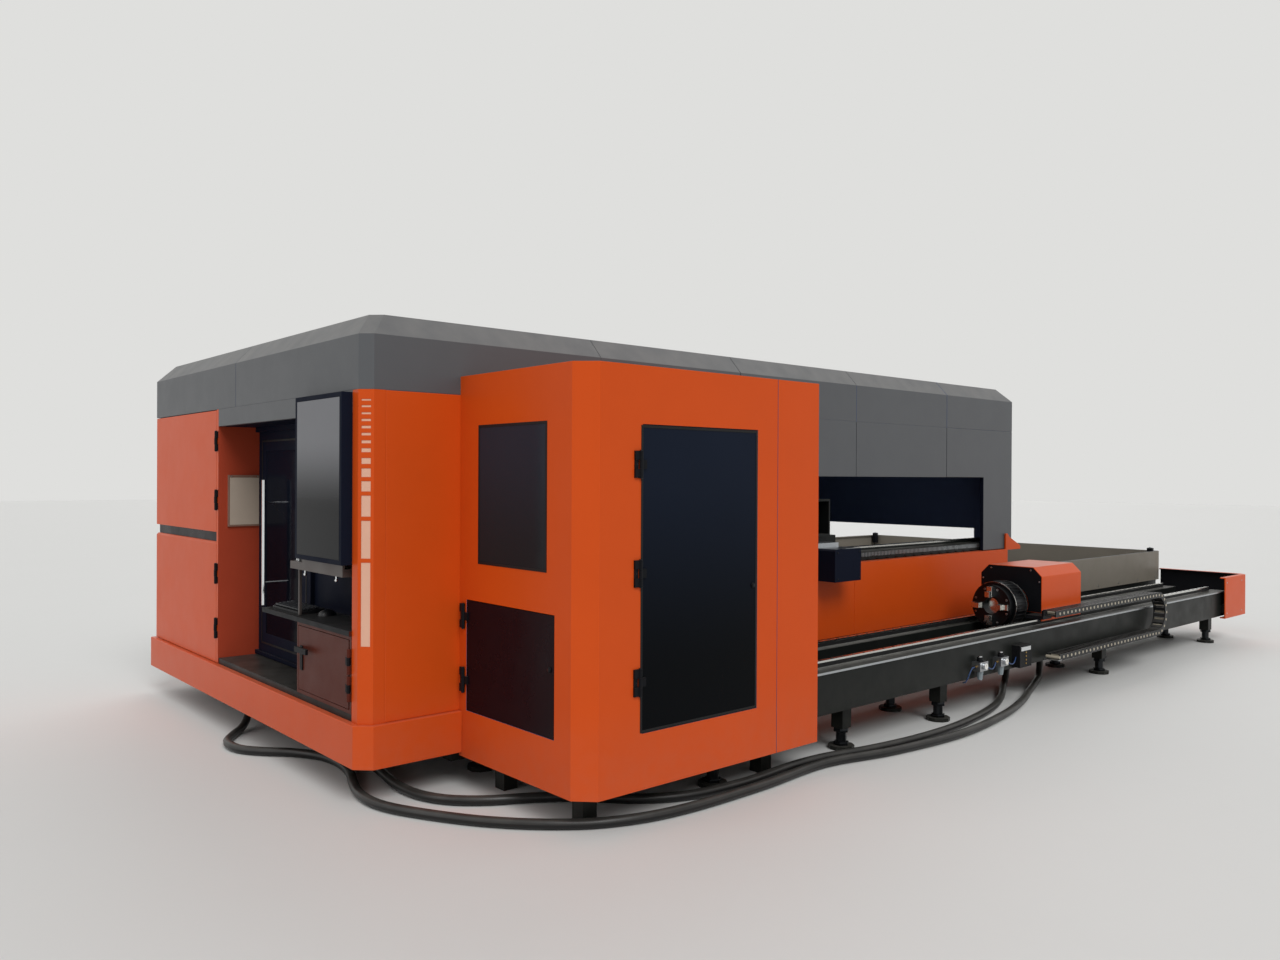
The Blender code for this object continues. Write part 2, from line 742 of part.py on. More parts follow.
class Hinge:
    """A pin beside a door's edge: the fixed and moving halves share its sizes."""

    def __init__(self, pin, along, outward, fixed_leaf=HINGE_LEAF):
        """Take the pin's place and the plan directions to the door and off its face."""
        self.pin = Vector(pin)
        self.along = Vector(along)
        self.outward = Vector(outward)
        self.fixed_leaf = fixed_leaf

    def plan(self, points):
        """Map (along, outward) pairs from the pin to the machine's plan."""
        placed = [self.pin + self.along * a + self.outward * b for a, b in points]
        return [tuple(point) for point in placed]

    def knuckle(self, low, high):
        """Return one round knuckle on the pin."""
        return cylinder(tuple(self.pin), HINGE_RADIUS, (low, high), "Z", HINGE_SIDES)

    def leaf(self, points, low, high):
        """Return one leaf between two heights."""
        return prism(self.plan(points), (low, high))

    def add_fixed(self, target, middle):
        """Weld the two outer knuckles to the frame."""
        third = HINGE_LENGTH / 6
        half = HINGE_LENGTH / 2
        sink = -HINGE_PROUD - BITE
        points = [(-self.fixed_leaf, 0), (0, 0), (0, -HINGE_LEAF_THICKNESS),
                  (-HINGE_LEAF_THICKNESS, sink), (-self.fixed_leaf, sink)]
        for low, high in ((middle - half, middle - third), (middle + third, middle + half)):
            join(target, self.leaf(points, low, high), self.knuckle(low, high))

    def add_moving(self, target, middle):
        """Weld the middle knuckle to the door."""
        third = HINGE_LENGTH / 6 - SEAT_GAP
        low, high = middle - third, middle + third
        sink = -HINGE_PROUD - BITE
        start = HINGE_EDGE + BITE
        points = [(0, 0), (0, -HINGE_LEAF_THICKNESS), (start, -HINGE_LEAF_THICKNESS),
                  (start, sink), (HINGE_LEAF, sink), (HINGE_LEAF, 0)]
        join(target, self.leaf(points, low, high), self.knuckle(low, high))


FRONT_HINGE = Hinge(
    (-HINGE_PROUD, ALCOVE_FAR + JAMB_THICKNESS / 2), (0, 1), (-1, 0), HINGE_LEAF_SHORT)
CONSOLE_HINGE = Hinge(
    (-HINGE_PROUD, CONSOLE_NEAR + HINGE_RADIUS), (0, 1), (-1, 0), HINGE_RADIUS)
SIDE_HINGE = Hinge(
    (CABINET_FRONT - HINGE_PROUD, HINGE_EDGE - INSET_GAP - SIDE_DOOR_NEAR), (0, -1), (-1, 0))
GLASS_HINGE = Hinge(
    (GLASS_DOOR_FRONT + INSET_GAP - HINGE_EDGE, -CABINET_OUT - HINGE_PROUD), (1, 0), (0, -1))


def hinge_pivot(hinge):
    """Return the foot of a hinge's pin."""
    return (hinge.pin.x, hinge.pin.y, 0)


def foot(x, y, top):
    """Return the pad and the stud of one levelling foot."""
    pad = cylinder((x, y), FOOT_PAD_RADIUS, (0, FOOT_PAD_HEIGHT))
    stud = cylinder((x, y), FOOT_STUD_RADIUS, (FOOT_PAD_HEIGHT - BITE, top + BITE))
    return pad, stud


def skirt_band(inner, outer, margin):
    """Return the plan outline of a band between two distances outside the shell."""
    near_end, far_end = CABINET_FRONT - SEAT_GAP + margin, SKIRT_LENGTH + margin

    def run(distance):
        corner = CORNER_LEG - distance * (math.sqrt(2) - 1)
        return [(near_end, -distance), (corner, -distance), (-distance, corner),
                (-distance, ENCLOSURE_WIDTH + distance),
                (far_end, ENCLOSURE_WIDTH + distance)]
    return run(outer) + run(inner)[::-1]


def make_skirt():
    """Folded skirt: an upright wall with a flange turned in at its top and foot."""
    top = SHELL_BOTTOM - SEAT_GAP
    inner = SKIRT_PROUD - SKIRT_FLANGE
    skirt = prism(skirt_band(inner, SKIRT_PROUD, 0), (SKIRT_BOTTOM, top))
    hollow = skirt_band(inner - OVERRUN, SKIRT_PROUD - SKIN, OVERRUN)
    cut(skirt, prism(hollow, (SKIRT_BOTTOM + SKIN, top - SKIN)))
    publish(skirt, "skirt", ORANGE)


def chamfer_plan(along, depth):
    """Return a plan point on the corner chamfer, from its middle along and inwards."""
    half = CORNER_LEG / 2
    step = 1 / math.sqrt(2)
    return (half - along * step + depth * step, half + along * step + depth * step)


def chamfer_block(half_width, depths, heights):
    """Return an upright block on the chamfer, between two depths behind its face."""
    near, deep = depths
    outline = [chamfer_plan(-half_width, near), chamfer_plan(half_width, near),
               chamfer_plan(half_width, deep), chamfer_plan(-half_width, deep)]
    return prism(outline, heights)


def window_heights():
    """Return the low and high edge of each window in the corner column."""
    foot_z = SHELL_BOTTOM + SEAT_GAP
    height = CANOPY_BOTTOM - SEAT_GAP - foot_z
    return [(foot_z + low * height, foot_z + high * height) for low, high in WINDOW_SHARES]


def make_corner_column():
    """Folded corner column with a chamfered edge and a wall into the alcove."""
    shift = COLUMN_WALL * (math.sqrt(2) - 1)
    leg = CORNER_LEG + shift
    outline = [(ALCOVE_DEPTH - SEAT_GAP, COLUMN_WIDTH), (0, COLUMN_WIDTH), (0, CORNER_LEG),
               (CORNER_LEG, 0), (COLUMN_WIDTH, 0), (COLUMN_WIDTH, COLUMN_WALL),
               (leg, COLUMN_WALL), (COLUMN_WALL, leg),
               (COLUMN_WALL, COLUMN_WIDTH - COLUMN_WALL),
               (ALCOVE_DEPTH - SEAT_GAP, COLUMN_WIDTH - COLUMN_WALL)]
    column = prism(outline, (SHELL_BOTTOM, CANOPY_BOTTOM - SEAT_GAP))
    for heights in window_heights():
        depths = (-OVERRUN, COLUMN_WALL + OVERRUN)
        cut(column, chamfer_block(WINDOW_WIDTH / 2, depths, heights))
    publish(column, "corner_column", ORANGE)


def make_light_strip():
    """Pale strip behind the column, with a raised lens in each window."""
    heights = window_heights()
    half = WINDOW_WIDTH / 2
    back = COLUMN_WALL + SEAT_GAP
    low = heights[0][0] - STRIP_BACK
    high = heights[-1][1] + STRIP_BACK
    strip = chamfer_block(half + STRIP_BACK / 2, (back, back + STRIP_BACK), (low, high))
    for bottom, top in heights:
        lens = (bottom + SEAT_GAP, top - SEAT_GAP)
        join(strip, chamfer_block(half - SEAT_GAP, (BITE, back + BITE), lens))
    publish(strip, "light_strip", PALE_PLASTIC)


def make_side_panels():
    """Panels of the long side: one before the window bay, three round it."""
    low, high = SHELL_BOTTOM, CANOPY_BOTTOM - SEAT_GAP
    front = rectangle((COLUMN_WIDTH + SEAT_GAP, FIRST_SEAM - SEAM / 2), (low, high))
    publish(pan(front, 0, PAN_DEPTH, "Y"), "side_panel_front", ORANGE)
    left, right = FIRST_SEAM + SEAM / 2, SECOND_SEAM - SEAM / 2
    bay = [(left, low), (BAY_FRONT, low), (BAY_FRONT, BAY_HIGH), (right, BAY_HIGH),
           (right, high), (left, high)]
    publish(pan(bay, 0, PAN_DEPTH, "Y"), "side_panel_bay", GREY)
    left, right = SECOND_SEAM + SEAM / 2, FOURTH_SEAM - SEAM / 2
    header = pan(rectangle((left, right), (BAY_HIGH, high)), 0, PAN_DEPTH, "Y")
    seam = (THIRD_SEAM - SEAM / 2, THIRD_SEAM + SEAM / 2)
    cut(header, box(seam, (-OVERRUN, GROOVE_DEPTH), (BAY_HIGH - OVERRUN, high + OVERRUN)))
    publish(header, "side_panel_header", GREY)
    left, right = FOURTH_SEAM + SEAM / 2, ENCLOSURE_LENGTH
    foot_z = BAY_LOW + SEAM
    rear = [(left, BAY_HIGH), (BAY_REAR, BAY_HIGH), (BAY_REAR, foot_z), (right, foot_z),
            (right, high), (left, high)]
    publish(pan(rear, 0, PAN_DEPTH, "Y"), "side_panel_rear", GREY)


def make_far_panel():
    """Long side away from the tube bed, with the same seams as the near side."""
    low, high = SHELL_BOTTOM, CANOPY_BOTTOM - SEAT_GAP
    face = ENCLOSURE_WIDTH
    outline = rectangle((FRAME_DEPTH + SEAT_GAP * 2, ENCLOSURE_LENGTH), (low, high))
    panel = pan(outline, face, face - PAN_DEPTH, "Y")
    for middle in (FIRST_SEAM, SECOND_SEAM, THIRD_SEAM, FOURTH_SEAM):
        seam = (middle - SEAM / 2, middle + SEAM / 2)
        depth = (face - GROOVE_DEPTH, face + OVERRUN)
        cut(panel, box(seam, depth, (low - OVERRUN, high + OVERRUN)))
    publish(panel, "far_panel", GREY)


def canopy_section(depth):
    """Return the canopy's cross section at a depth inside its skin, near foot to far foot."""
    slope = math.hypot(CANOPY_INSET, CANOPY_RISE)
    shoulder = depth * (slope - CANOPY_RISE) / CANOPY_INSET
    ridge = depth * (slope - CANOPY_INSET) / CANOPY_RISE
    near = [(depth, CANOPY_BOTTOM - OVERRUN), (depth, CANOPY_BAND_TOP - shoulder),
            (CANOPY_INSET + ridge, CANOPY_TOP - depth)]
    far = [(ENCLOSURE_WIDTH - y, z) for y, z in reversed(near)]
    return near + far


def canopy_groove(middle):
    """Return the cutter of one seam across the canopy."""
    inner = canopy_section(GROOVE_DEPTH)
    outer = [(-OVERRUN, inner[0][1]), (-OVERRUN, CANOPY_TOP + OVERRUN),
             (ENCLOSURE_WIDTH + OVERRUN, CANOPY_TOP + OVERRUN),
             (ENCLOSURE_WIDTH + OVERRUN, inner[0][1])]
    outline = outer + inner[::-1]
    return prism(outline, (middle - SEAM / 2, middle + SEAM / 2), "X")


def shell_surface(rings, open_side):
    """Return an open shell over rings of points, one side left open, walled inwards."""
    shape = bmesh.new()
    levels = [[shape.verts.new(point) for point in ring] for ring in rings]
    for lower, upper in zip(levels, levels[1:]):
        for index in range(len(lower)):
            following = (index + 1) % len(lower)
            if index in open_side:
                continue
            shape.faces.new((lower[index], lower[following], upper[following], upper[index]))
    shape.faces.new(levels[-1])
    shell = add_blank(mesh_from(shape))
    wall = shell.modifiers.new("wall", "SOLIDIFY")
    wall.thickness = SKIN
    wall.offset = -1
    wall.use_even_offset = True
    return shell


def canopy_levels():
    """Return the inset and the height of the canopy's three edges."""
    return ((0, CANOPY_BOTTOM), (0, CANOPY_BAND_TOP), (CANOPY_INSET, CANOPY_TOP))


def make_canopy():
    """Three bays of the canopy; the first has the chamfered corner over the column."""
    front_rings, middle_rings, rear_rings = [], [], []
    front_end, middle_start = SECOND_SEAM - SEAM / 2, SECOND_SEAM + SEAM / 2
    middle_end, rear_start = FOURTH_SEAM - SEAM / 2, FOURTH_SEAM + SEAM / 2
    for step, z in canopy_levels():
        far = ENCLOSURE_WIDTH - step
        corner = step + CORNER_LEG
        front_rings.append([(front_end, step, z), (front_end, far, z), (step, far, z),
                            (step, corner, z), (corner, step, z)])
        middle_rings.append([(middle_start, step, z), (middle_end, step, z),
                             (middle_end, far, z), (middle_start, far, z)])
        end = ENCLOSURE_LENGTH - step
        rear_rings.append([(rear_start, step, z), (end, step, z), (end, far, z),
                           (rear_start, far, z)])
    front = shell_surface(front_rings, (0,))
    split = ENCLOSURE_WIDTH * CANOPY_SPLIT_SHARE
    profile = [(-OVERRUN, CANOPY_BOTTOM - OVERRUN), (GROOVE_DEPTH, CANOPY_BOTTOM - OVERRUN),
               (GROOVE_DEPTH, CANOPY_BAND_TOP), (CANOPY_INSET + GROOVE_DEPTH, CANOPY_TOP),
               (CANOPY_INSET, CANOPY_TOP + OVERRUN), (-OVERRUN, CANOPY_TOP + OVERRUN)]
    cut(front, canopy_groove(FIRST_SEAM), prism(profile, (split - SEAM / 2, split + SEAM / 2), "Y"))
    publish(front, "canopy_front", GREY)
    middle = shell_surface(middle_rings, (1, 3))
    publish(cut(middle, canopy_groove(THIRD_SEAM)), "canopy_middle", GREY)
    publish(shell_surface(rear_rings, (3,)), "canopy_rear", GREY)


def make_rear_portal():
    """Rear wall with the low gate that the pallet passes through."""
    side = PAN_DEPTH + SEAT_GAP
    far = ENCLOSURE_WIDTH - side
    high = CANOPY_BOTTOM - SEAT_GAP
    outline = [(side, PORTAL_SILL), (PORTAL_SIDE, PORTAL_SILL), (PORTAL_SIDE, PORTAL_TOP),
               (ENCLOSURE_WIDTH - PORTAL_SIDE, PORTAL_TOP),
               (ENCLOSURE_WIDTH - PORTAL_SIDE, PORTAL_SILL), (far, PORTAL_SILL),
               (far, high), (side, high)]
    span = (ENCLOSURE_LENGTH - PORTAL_THICKNESS, ENCLOSURE_LENGTH)
    publish(prism(outline, span, "X"), "rear_portal", NAVY)


def make_front_frame():
    """Frame behind the cupboard doors, with the jamb that walls the alcove."""
    low, high = SHELL_BOTTOM + DOOR_MARGIN, CANOPY_BOTTOM - SEAT_GAP
    front = DOOR_THICKNESS + SEAT_GAP
    far = ENCLOSURE_WIDTH - DOOR_MARGIN
    outline = rectangle((ALCOVE_FAR + BITE, far), (low + BITE, high - BITE))
    border = FRAME_BORDER
    openings = [
        rectangle((ALCOVE_FAR + border, far - border), (low + border, DOOR_GAP_LOW - border)),
        rectangle((ALCOVE_FAR + border, far - border), (DOOR_GAP_HIGH + border, high - border)),
    ]
    frame = prism(outline, (front, front + FRAME_DEPTH - DOOR_THICKNESS), "X", openings)
    jamb = box((0, ALCOVE_DEPTH - SEAT_GAP), (ALCOVE_FAR, ALCOVE_FAR + JAMB_THICKNESS),
               (low, high))
    join(frame, jamb)
    for height in DOOR_HINGE_HEIGHTS:
        FRONT_HINGE.add_fixed(frame, height)
    publish(frame, "front_frame", ORANGE)


def make_front_doors():
    """Upper and lower cupboard door, with the pull groove between them."""
    near = FRONT_HINGE.pin.y + HINGE_EDGE
    far = ENCLOSURE_WIDTH - DOOR_MARGIN
    pivot = hinge_pivot(FRONT_HINGE)
    upper_low, upper_high = DOOR_GAP_HIGH, CANOPY_BOTTOM - DOOR_MARGIN
    upper = pan(rectangle((near, far), (upper_low, upper_high)), 0, DOOR_THICKNESS, "X")
    lower_low = SHELL_BOTTOM + DOOR_MARGIN
    lower = pan(rectangle((near, far), (lower_low, DOOR_GAP_LOW)), 0, DOOR_THICKNESS, "X")
    corner = [(-OVERRUN, DOOR_GAP_LOW - DOOR_BEVEL - OVERRUN), (DOOR_BEVEL, DOOR_GAP_LOW),
              (DOOR_BEVEL + OVERRUN, DOOR_GAP_LOW + OVERRUN),
              (-OVERRUN, DOOR_GAP_LOW + OVERRUN)]
    cut(lower, prism(corner, (near - OVERRUN, far + OVERRUN), "Y"))
    for door, heights in ((lower, DOOR_HINGE_HEIGHTS[:2]), (upper, DOOR_HINGE_HEIGHTS[2:])):
        for height in heights:
            FRONT_HINGE.add_moving(door, height)
    publish(upper, "front_door_upper", ORANGE, pivot)
    publish(lower, "front_door_lower", ORANGE, pivot)


def make_document_holder():
    """Open-topped clear wallet on the jamb's alcove face."""
    face = ALCOVE_FAR - SEAT_GAP
    x = (HOLDER_X, HOLDER_X + HOLDER_WIDTH)
    z = (HOLDER_LOW, HOLDER_HIGH)
    tray = prism(rectangle(x, z), (face - HOLDER_THICKNESS, face), "Y")
    pocket_x = (x[0] + HOLDER_RIM, x[1] - HOLDER_RIM)
    pocket_z = (z[0] + HOLDER_RIM, z[1] + OVERRUN)
    half = HOLDER_THICKNESS / 2
    cut(tray, box(pocket_x, (face - half - BITE, face - half + BITE), pocket_z))
    publish(tray, "document_holder", CLEAR_PLASTIC)


def make_alcove_wall():
    """Back and ceiling of the alcove, with the doorway and its two door tracks."""
    near, far = COLUMN_WIDTH - COLUMN_WALL, ALCOVE_FAR + JAMB_THICKNESS
    low = ALCOVE_FLOOR + SEAT_GAP
    back = (ALCOVE_DEPTH, ALCOVE_DEPTH + ALCOVE_WALL)
    door_near = ACCESS_DOOR_FAR - ACCESS_DOOR_WIDTH + ACCESS_OVERLAP
    doorway = rectangle(
        (door_near, ACCESS_DOOR_FAR - ACCESS_OVERLAP),
        (ACCESS_DOOR_LOW + ACCESS_OVERLAP, ACCESS_DOOR_HIGH - ACCESS_OVERLAP))
    wall = prism(rectangle((near, far), (low, ALCOVE_TOP + SKIN)), back, "X", [doorway])
    inner_near, inner_far = COLUMN_WIDTH + SEAT_GAP, ALCOVE_FAR - SEAT_GAP
    ceiling = box((PAN_DEPTH + SEAT_GAP, ALCOVE_DEPTH + BITE), (inner_near, inner_far),
                  (ALCOVE_TOP, ALCOVE_TOP + SKIN))
    track = (ALCOVE_DEPTH - TRACK_DEPTH, ALCOVE_DEPTH + BITE)
    foot_track = box(track, (inner_near, inner_far),
                     (ACCESS_DOOR_LOW - TRACK_HEIGHT, ACCESS_DOOR_LOW - SEAT_GAP))
    head_track = box(track, (inner_near, inner_far),
                     (ACCESS_DOOR_HIGH + SEAT_GAP, ALCOVE_TOP + BITE))
    join(wall, ceiling, foot_track, head_track)
    publish(wall, "alcove_wall", NAVY)


def make_access_door():
    """Sliding door with a window recess, and its long pull bar on two stand-offs."""
    near = ACCESS_DOOR_FAR - ACCESS_DOOR_WIDTH
    back = ALCOVE_DEPTH - SEAT_GAP
    front = back - ACCESS_DOOR_THICKNESS
    outline = rectangle((near, ACCESS_DOOR_FAR), (ACCESS_DOOR_LOW, ACCESS_DOOR_HIGH))
    door = prism(outline, (front, back), "X")
    window = inset(outline, ACCESS_WINDOW_MARGIN)
    cut(door, prism(window, (front - OVERRUN, front + GROOVE_DEPTH), "X"))
    pivot = (front, near, ACCESS_DOOR_LOW)
    publish(door, "access_door", NAVY, pivot)
    face = front + GROOVE_DEPTH - SEAT_GAP
    bar_x = front - PULL_BAR_REACH
    bar = cylinder((bar_x, PULL_BAR_Y), PULL_BAR_RADIUS, (PULL_BAR_LOW, PULL_BAR_HIGH))
    length = PULL_BAR_HIGH - PULL_BAR_LOW
    for share in STANDOFF_SHARES:
        height = PULL_BAR_LOW + length * share
        join(bar, cylinder((PULL_BAR_Y, height), STANDOFF_RADIUS, (bar_x, face), "X", HINGE_SIDES))
    publish(bar, "pull_bar", CHROME, (bar_x, PULL_BAR_Y, PULL_BAR_LOW))


def make_alcove_header():
    """Grey panel over the alcove."""
    outline = rectangle((COLUMN_WIDTH + SEAT_GAP, ALCOVE_FAR - SEAT_GAP),
                        (ALCOVE_TOP, CANOPY_BOTTOM - SEAT_GAP))
    publish(pan(outline, 0, PAN_DEPTH, "X"), "alcove_header", GREY)


def make_screen():
    """Screen housing with its shelf, lip and post, and the pane let into its front."""
    near = COLUMN_WIDTH + SEAT_GAP
    front = -SCREEN_PROUD
    outline = rectangle((near, SCREEN_FAR), (SCREEN_LOW, SCREEN_HIGH))
    upper = box((front, -SEAT_GAP), (near, SCREEN_FAR), (ALCOVE_TOP - BITE, SCREEN_HIGH))
    housing = box((front, front + SCREEN_DEPTH), (near, SCREEN_FAR),
                  (SCREEN_LOW, ALCOVE_TOP - SEAT_GAP))
    join(housing, upper)
    recess = inset(outline, SCREEN_FRAME)
    cut(housing, prism(recess, (front - OVERRUN, front + SCREEN_RECESS), "X"))
    shelf = box((SHELF_FRONT, CONSOLE_BACK), (SHELF_NEAR, SHELF_FAR), (SHELF_LOW, SHELF_HIGH))
    lip = box((SHELF_FRONT, SHELF_FRONT + POST_SIZE), (SHELF_NEAR, SCREEN_FAR),
              (SHELF_HIGH - BITE, SHELF_HIGH + SHELF_LIP))
    neck = box((POST_SIZE, front + SCREEN_DEPTH), (near + NECK_MARGIN, SCREEN_FAR - NECK_MARGIN),
               (SHELF_HIGH - BITE, SCREEN_LOW + BITE))
    post = box((POST_SIZE, POST_SIZE * 2), (POST_Y, POST_Y + POST_SIZE),
               (DESK_HIGH + SEAT_GAP, SHELF_LOW + BITE))
    join(housing, shelf, lip, neck, post)
    publish(housing, "screen_housing", NAVY)
    pane = inset(outline, SCREEN_FRAME + SEAT_GAP)
    glass = prism(pane, (front, front + SCREEN_RECESS - SEAT_GAP), "X")
    publish(glass, "screen_glass", GLASS)


def make_console():
    """Cupboard under the desk, open to the front, with the desk board on it."""
    near, far = CONSOLE_NEAR, CONSOLE_FAR
    low = ALCOVE_FLOOR + SEAT_GAP
    body = box((0, CONSOLE_BACK), (near, far), (low, DESK_LOW + BITE))
    inner = (near + CONSOLE_WALL, far - CONSOLE_WALL)
    heights = (low + CONSOLE_WALL, DESK_LOW - CONSOLE_WALL)
    cut(body, box((-OVERRUN, CONSOLE_BACK - CONSOLE_WALL), inner, heights))
    join(body, box((DESK_FRONT, CONSOLE_BACK), (near, DESK_FAR), (DESK_LOW, DESK_HIGH)))
    for height in console_hinges():
        CONSOLE_HINGE.add_fixed(body, height)
    publish(body, "console", MAROON)


def console_hinges():
    """Return the middle heights of the two hinges of the console door."""
    return (ALCOVE_FLOOR + HINGE_LENGTH, DESK_LOW - HINGE_LENGTH)


def make_console_door():
    """Console door with its lock plate, and the lever on it."""
    near = CONSOLE_HINGE.pin.y + HINGE_EDGE
    far = CONSOLE_FAR - CONSOLE_WALL - CONSOLE_DOOR_GAP
    low = ALCOVE_FLOOR + SEAT_GAP + CONSOLE_WALL + CONSOLE_DOOR_GAP
    high = DESK_LOW - CONSOLE_WALL - CONSOLE_DOOR_GAP
    door = box((0, CONSOLE_DOOR_THICKNESS), (near, far), (low, high))
    half = PLATE_WIDTH / 2
    plate = box((-PLATE_THICKNESS, BITE), (LEVER_Y - half, LEVER_Y + half),
                (LEVER_Z - PLATE_DROP, LEVER_Z + half))
    join(door, plate)
    for height in console_hinges():
        CONSOLE_HINGE.add_moving(door, height)
    publish(door, "console_door", MAROON, hinge_pivot(CONSOLE_HINGE))
    front = -PLATE_THICKNESS - SEAT_GAP
    lever_x = (front - LEVER_STANDOFF, front - LEVER_STANDOFF + LEVER_THICKNESS)
    tip, root = LEVER_Y - LEVER_LENGTH, LEVER_Y + LEVER_THICKNESS
    lever = box(lever_x, (tip, root), (LEVER_Z - LEVER_THICKNESS, LEVER_Z + LEVER_THICKNESS))
    spindle = cylinder((LEVER_Y, LEVER_Z), SPINDLE_RADIUS, (lever_x[1] - BITE, front), "X")
    publish(join(lever, spindle), "console_lever", BLACK, (front, LEVER_Y, LEVER_Z))


def make_keyboard():
    """Wedge-shaped keyboard with grooves between its rows of keys."""
    low = DESK_HIGH + SEAT_GAP
    back = KEYBOARD_X + KEYBOARD_DEPTH
    profile = [(KEYBOARD_X, low), (back, low), (back, low + KEYBOARD_HEIGHT),
               (KEYBOARD_X, low + KEYBOARD_HEIGHT - KEYBOARD_RAKE)]
    span = (KEYBOARD_Y, KEYBOARD_Y + KEYBOARD_WIDTH)
    board = prism(profile, span, "Y")
    step = KEYBOARD_DEPTH / (KEY_ROWS + 1)
    for row in range(1, KEY_ROWS + 1):
        middle = KEYBOARD_X + step * row
        top = low + KEYBOARD_HEIGHT - KEYBOARD_RAKE * (1 - row / (KEY_ROWS + 1))
        groove = (middle - KEY_GROOVE / 2, middle + KEY_GROOVE / 2)
        inner = (span[0] + PAN_RIM, span[1] - PAN_RIM)
        cut(board, box(groove, inner, (top - GROOVE_DEPTH, top + OVERRUN)))
    publish(board, "keyboard", BLACK)


def make_mouse():
    """Low rounded mouse on the desk."""
    shape = bmesh.new()
    bmesh.ops.create_uvsphere(shape, u_segments=14, v_segments=8, radius=1)
    plane = shape.verts[:] + shape.edges[:] + shape.faces[:]
    bmesh.ops.bisect_plane(shape, geom=plane, plane_co=(0, 0, 0), plane_no=(0, 0, -1),
                           clear_outer=True)
    rim = [edge for edge in shape.edges if edge.is_boundary]
    bmesh.ops.contextual_create(shape, geom=rim)
    size = Vector((MOUSE_LENGTH / 2, MOUSE_WIDTH / 2, MOUSE_HEIGHT))
    bmesh.ops.scale(shape, vec=size, verts=shape.verts)
    place = (MOUSE_X, MOUSE_Y, DESK_HIGH + SEAT_GAP)
    bmesh.ops.translate(shape, vec=place, verts=shape.verts)
    publish(add_blank(mesh_from(shape)), "mouse", BLACK)


def cabinet_plan(distance):
    """Return the cabinet's plan outline at a distance inside its outer face."""
    chamfer = CABINET_CHAMFER + distance * (math.sqrt(2) - 1)
    front, rear = CABINET_FRONT + distance, CABINET_REAR - distance
    out = -CABINET_OUT + distance
    open_side = -SEAT_GAP if distance == 0 else OVERRUN
    return [(front, open_side), (front, out - distance + chamfer),
            (front - distance + chamfer, out), (rear, out), (rear, open_side)]


def make_cabinet_shell():
    """Cabinet shell, open to the enclosure and below, with its doorways and tube gate."""
    shell = prism(cabinet_plan(0), (CABINET_BOTTOM, CABINET_TOP))
    inside = (CABINET_BOTTOM - OVERRUN, CABINET_TOP - CABINET_WALL)
    cut(shell, prism(cabinet_plan(CABINET_WALL), inside))
    through_front = (CABINET_FRONT - OVERRUN, CABINET_FRONT + CABINET_WALL + OVERRUN)
    through_out = (-CABINET_OUT - OVERRUN, -CABINET_OUT + CABINET_WALL + OVERRUN)
    through_rear = (CABINET_REAR - CABINET_WALL - OVERRUN, CABINET_REAR + OVERRUN)
    cut(shell,
        box(through_front, (-WINDOW_FAR, -WINDOW_NEAR), (WINDOW_LOW, WINDOW_HIGH)),
        box(through_front, (-SIDE_DOOR_FAR, -SIDE_DOOR_NEAR), (SIDE_DOOR_LOW, SIDE_DOOR_HIGH)),
        box((GLASS_DOOR_FRONT, GLASS_DOOR_REAR), through_out, (GLASS_DOOR_LOW, GLASS_DOOR_HIGH)),
        box(through_rear, (-TUBE_GATE_LOW_Y, -TUBE_GATE_HIGH_Y),
            (CABINET_BOTTOM - OVERRUN, TUBE_GATE_TOP)))
    seam = (CABINET_SEAM - SEAM / 2, CABINET_SEAM + SEAM / 2)
    depth = (-CABINET_OUT - OVERRUN, -CABINET_OUT + GROOVE_DEPTH)
    cut(shell, box(seam, depth, (CABINET_BOTTOM - OVERRUN, CABINET_TOP + OVERRUN)))
    for height in SIDE_DOOR_HINGES:
        SIDE_HINGE.add_fixed(shell, height)
    for height in GLASS_DOOR_HINGES:
        GLASS_HINGE.add_fixed(shell, height)
    publish(shell, "cabinet_shell", ORANGE)


def make_cabinet_base():
    """Ring of bars inside the cabinet's foot, on four square feet with pads."""
    inner = CABINET_WALL + SEAT_GAP
    front, rear = CABINET_FRONT + inner, CABINET_REAR - inner
    out, enclosure = -CABINET_OUT + inner, -SKIRT_PROUD - SEAT_GAP
    chamfer = CABINET_CHAMFER + CABINET_WALL
    outline = [(front, enclosure), (front, out + chamfer), (front + chamfer, out),
               (rear, out), (rear, enclosure)]
    heights = (CABINET_BOTTOM, CABINET_BOTTOM + CABINET_BAR)
    ring = prism(outline, heights, "Z", [inset(outline, CABINET_BAR)])
    half = CABINET_FOOT / 2
    for x in CABINET_FEET_X:
        join(ring, box((x - half, x + half), (out + BITE, enclosure - BITE), heights))
        for y in CABINET_FEET_Y:
            leg = box((x - half, x + half), (y - half, y + half), (0, CABINET_BOTTOM + BITE))
            join(ring, leg)
    publish(ring, "cabinet_base", DARK_STEEL)


def make_cabinet_window():
    """Dark pane let into the cabinet's front."""
    outline = rectangle((-WINDOW_FAR, -WINDOW_NEAR), (WINDOW_LOW, WINDOW_HIGH))
    pane = inset(outline, SEAT_GAP)
    span = (CABINET_FRONT, CABINET_FRONT + INSET_DEPTH)
    publish(prism(pane, span, "X"), "cabinet_window", GLASS)


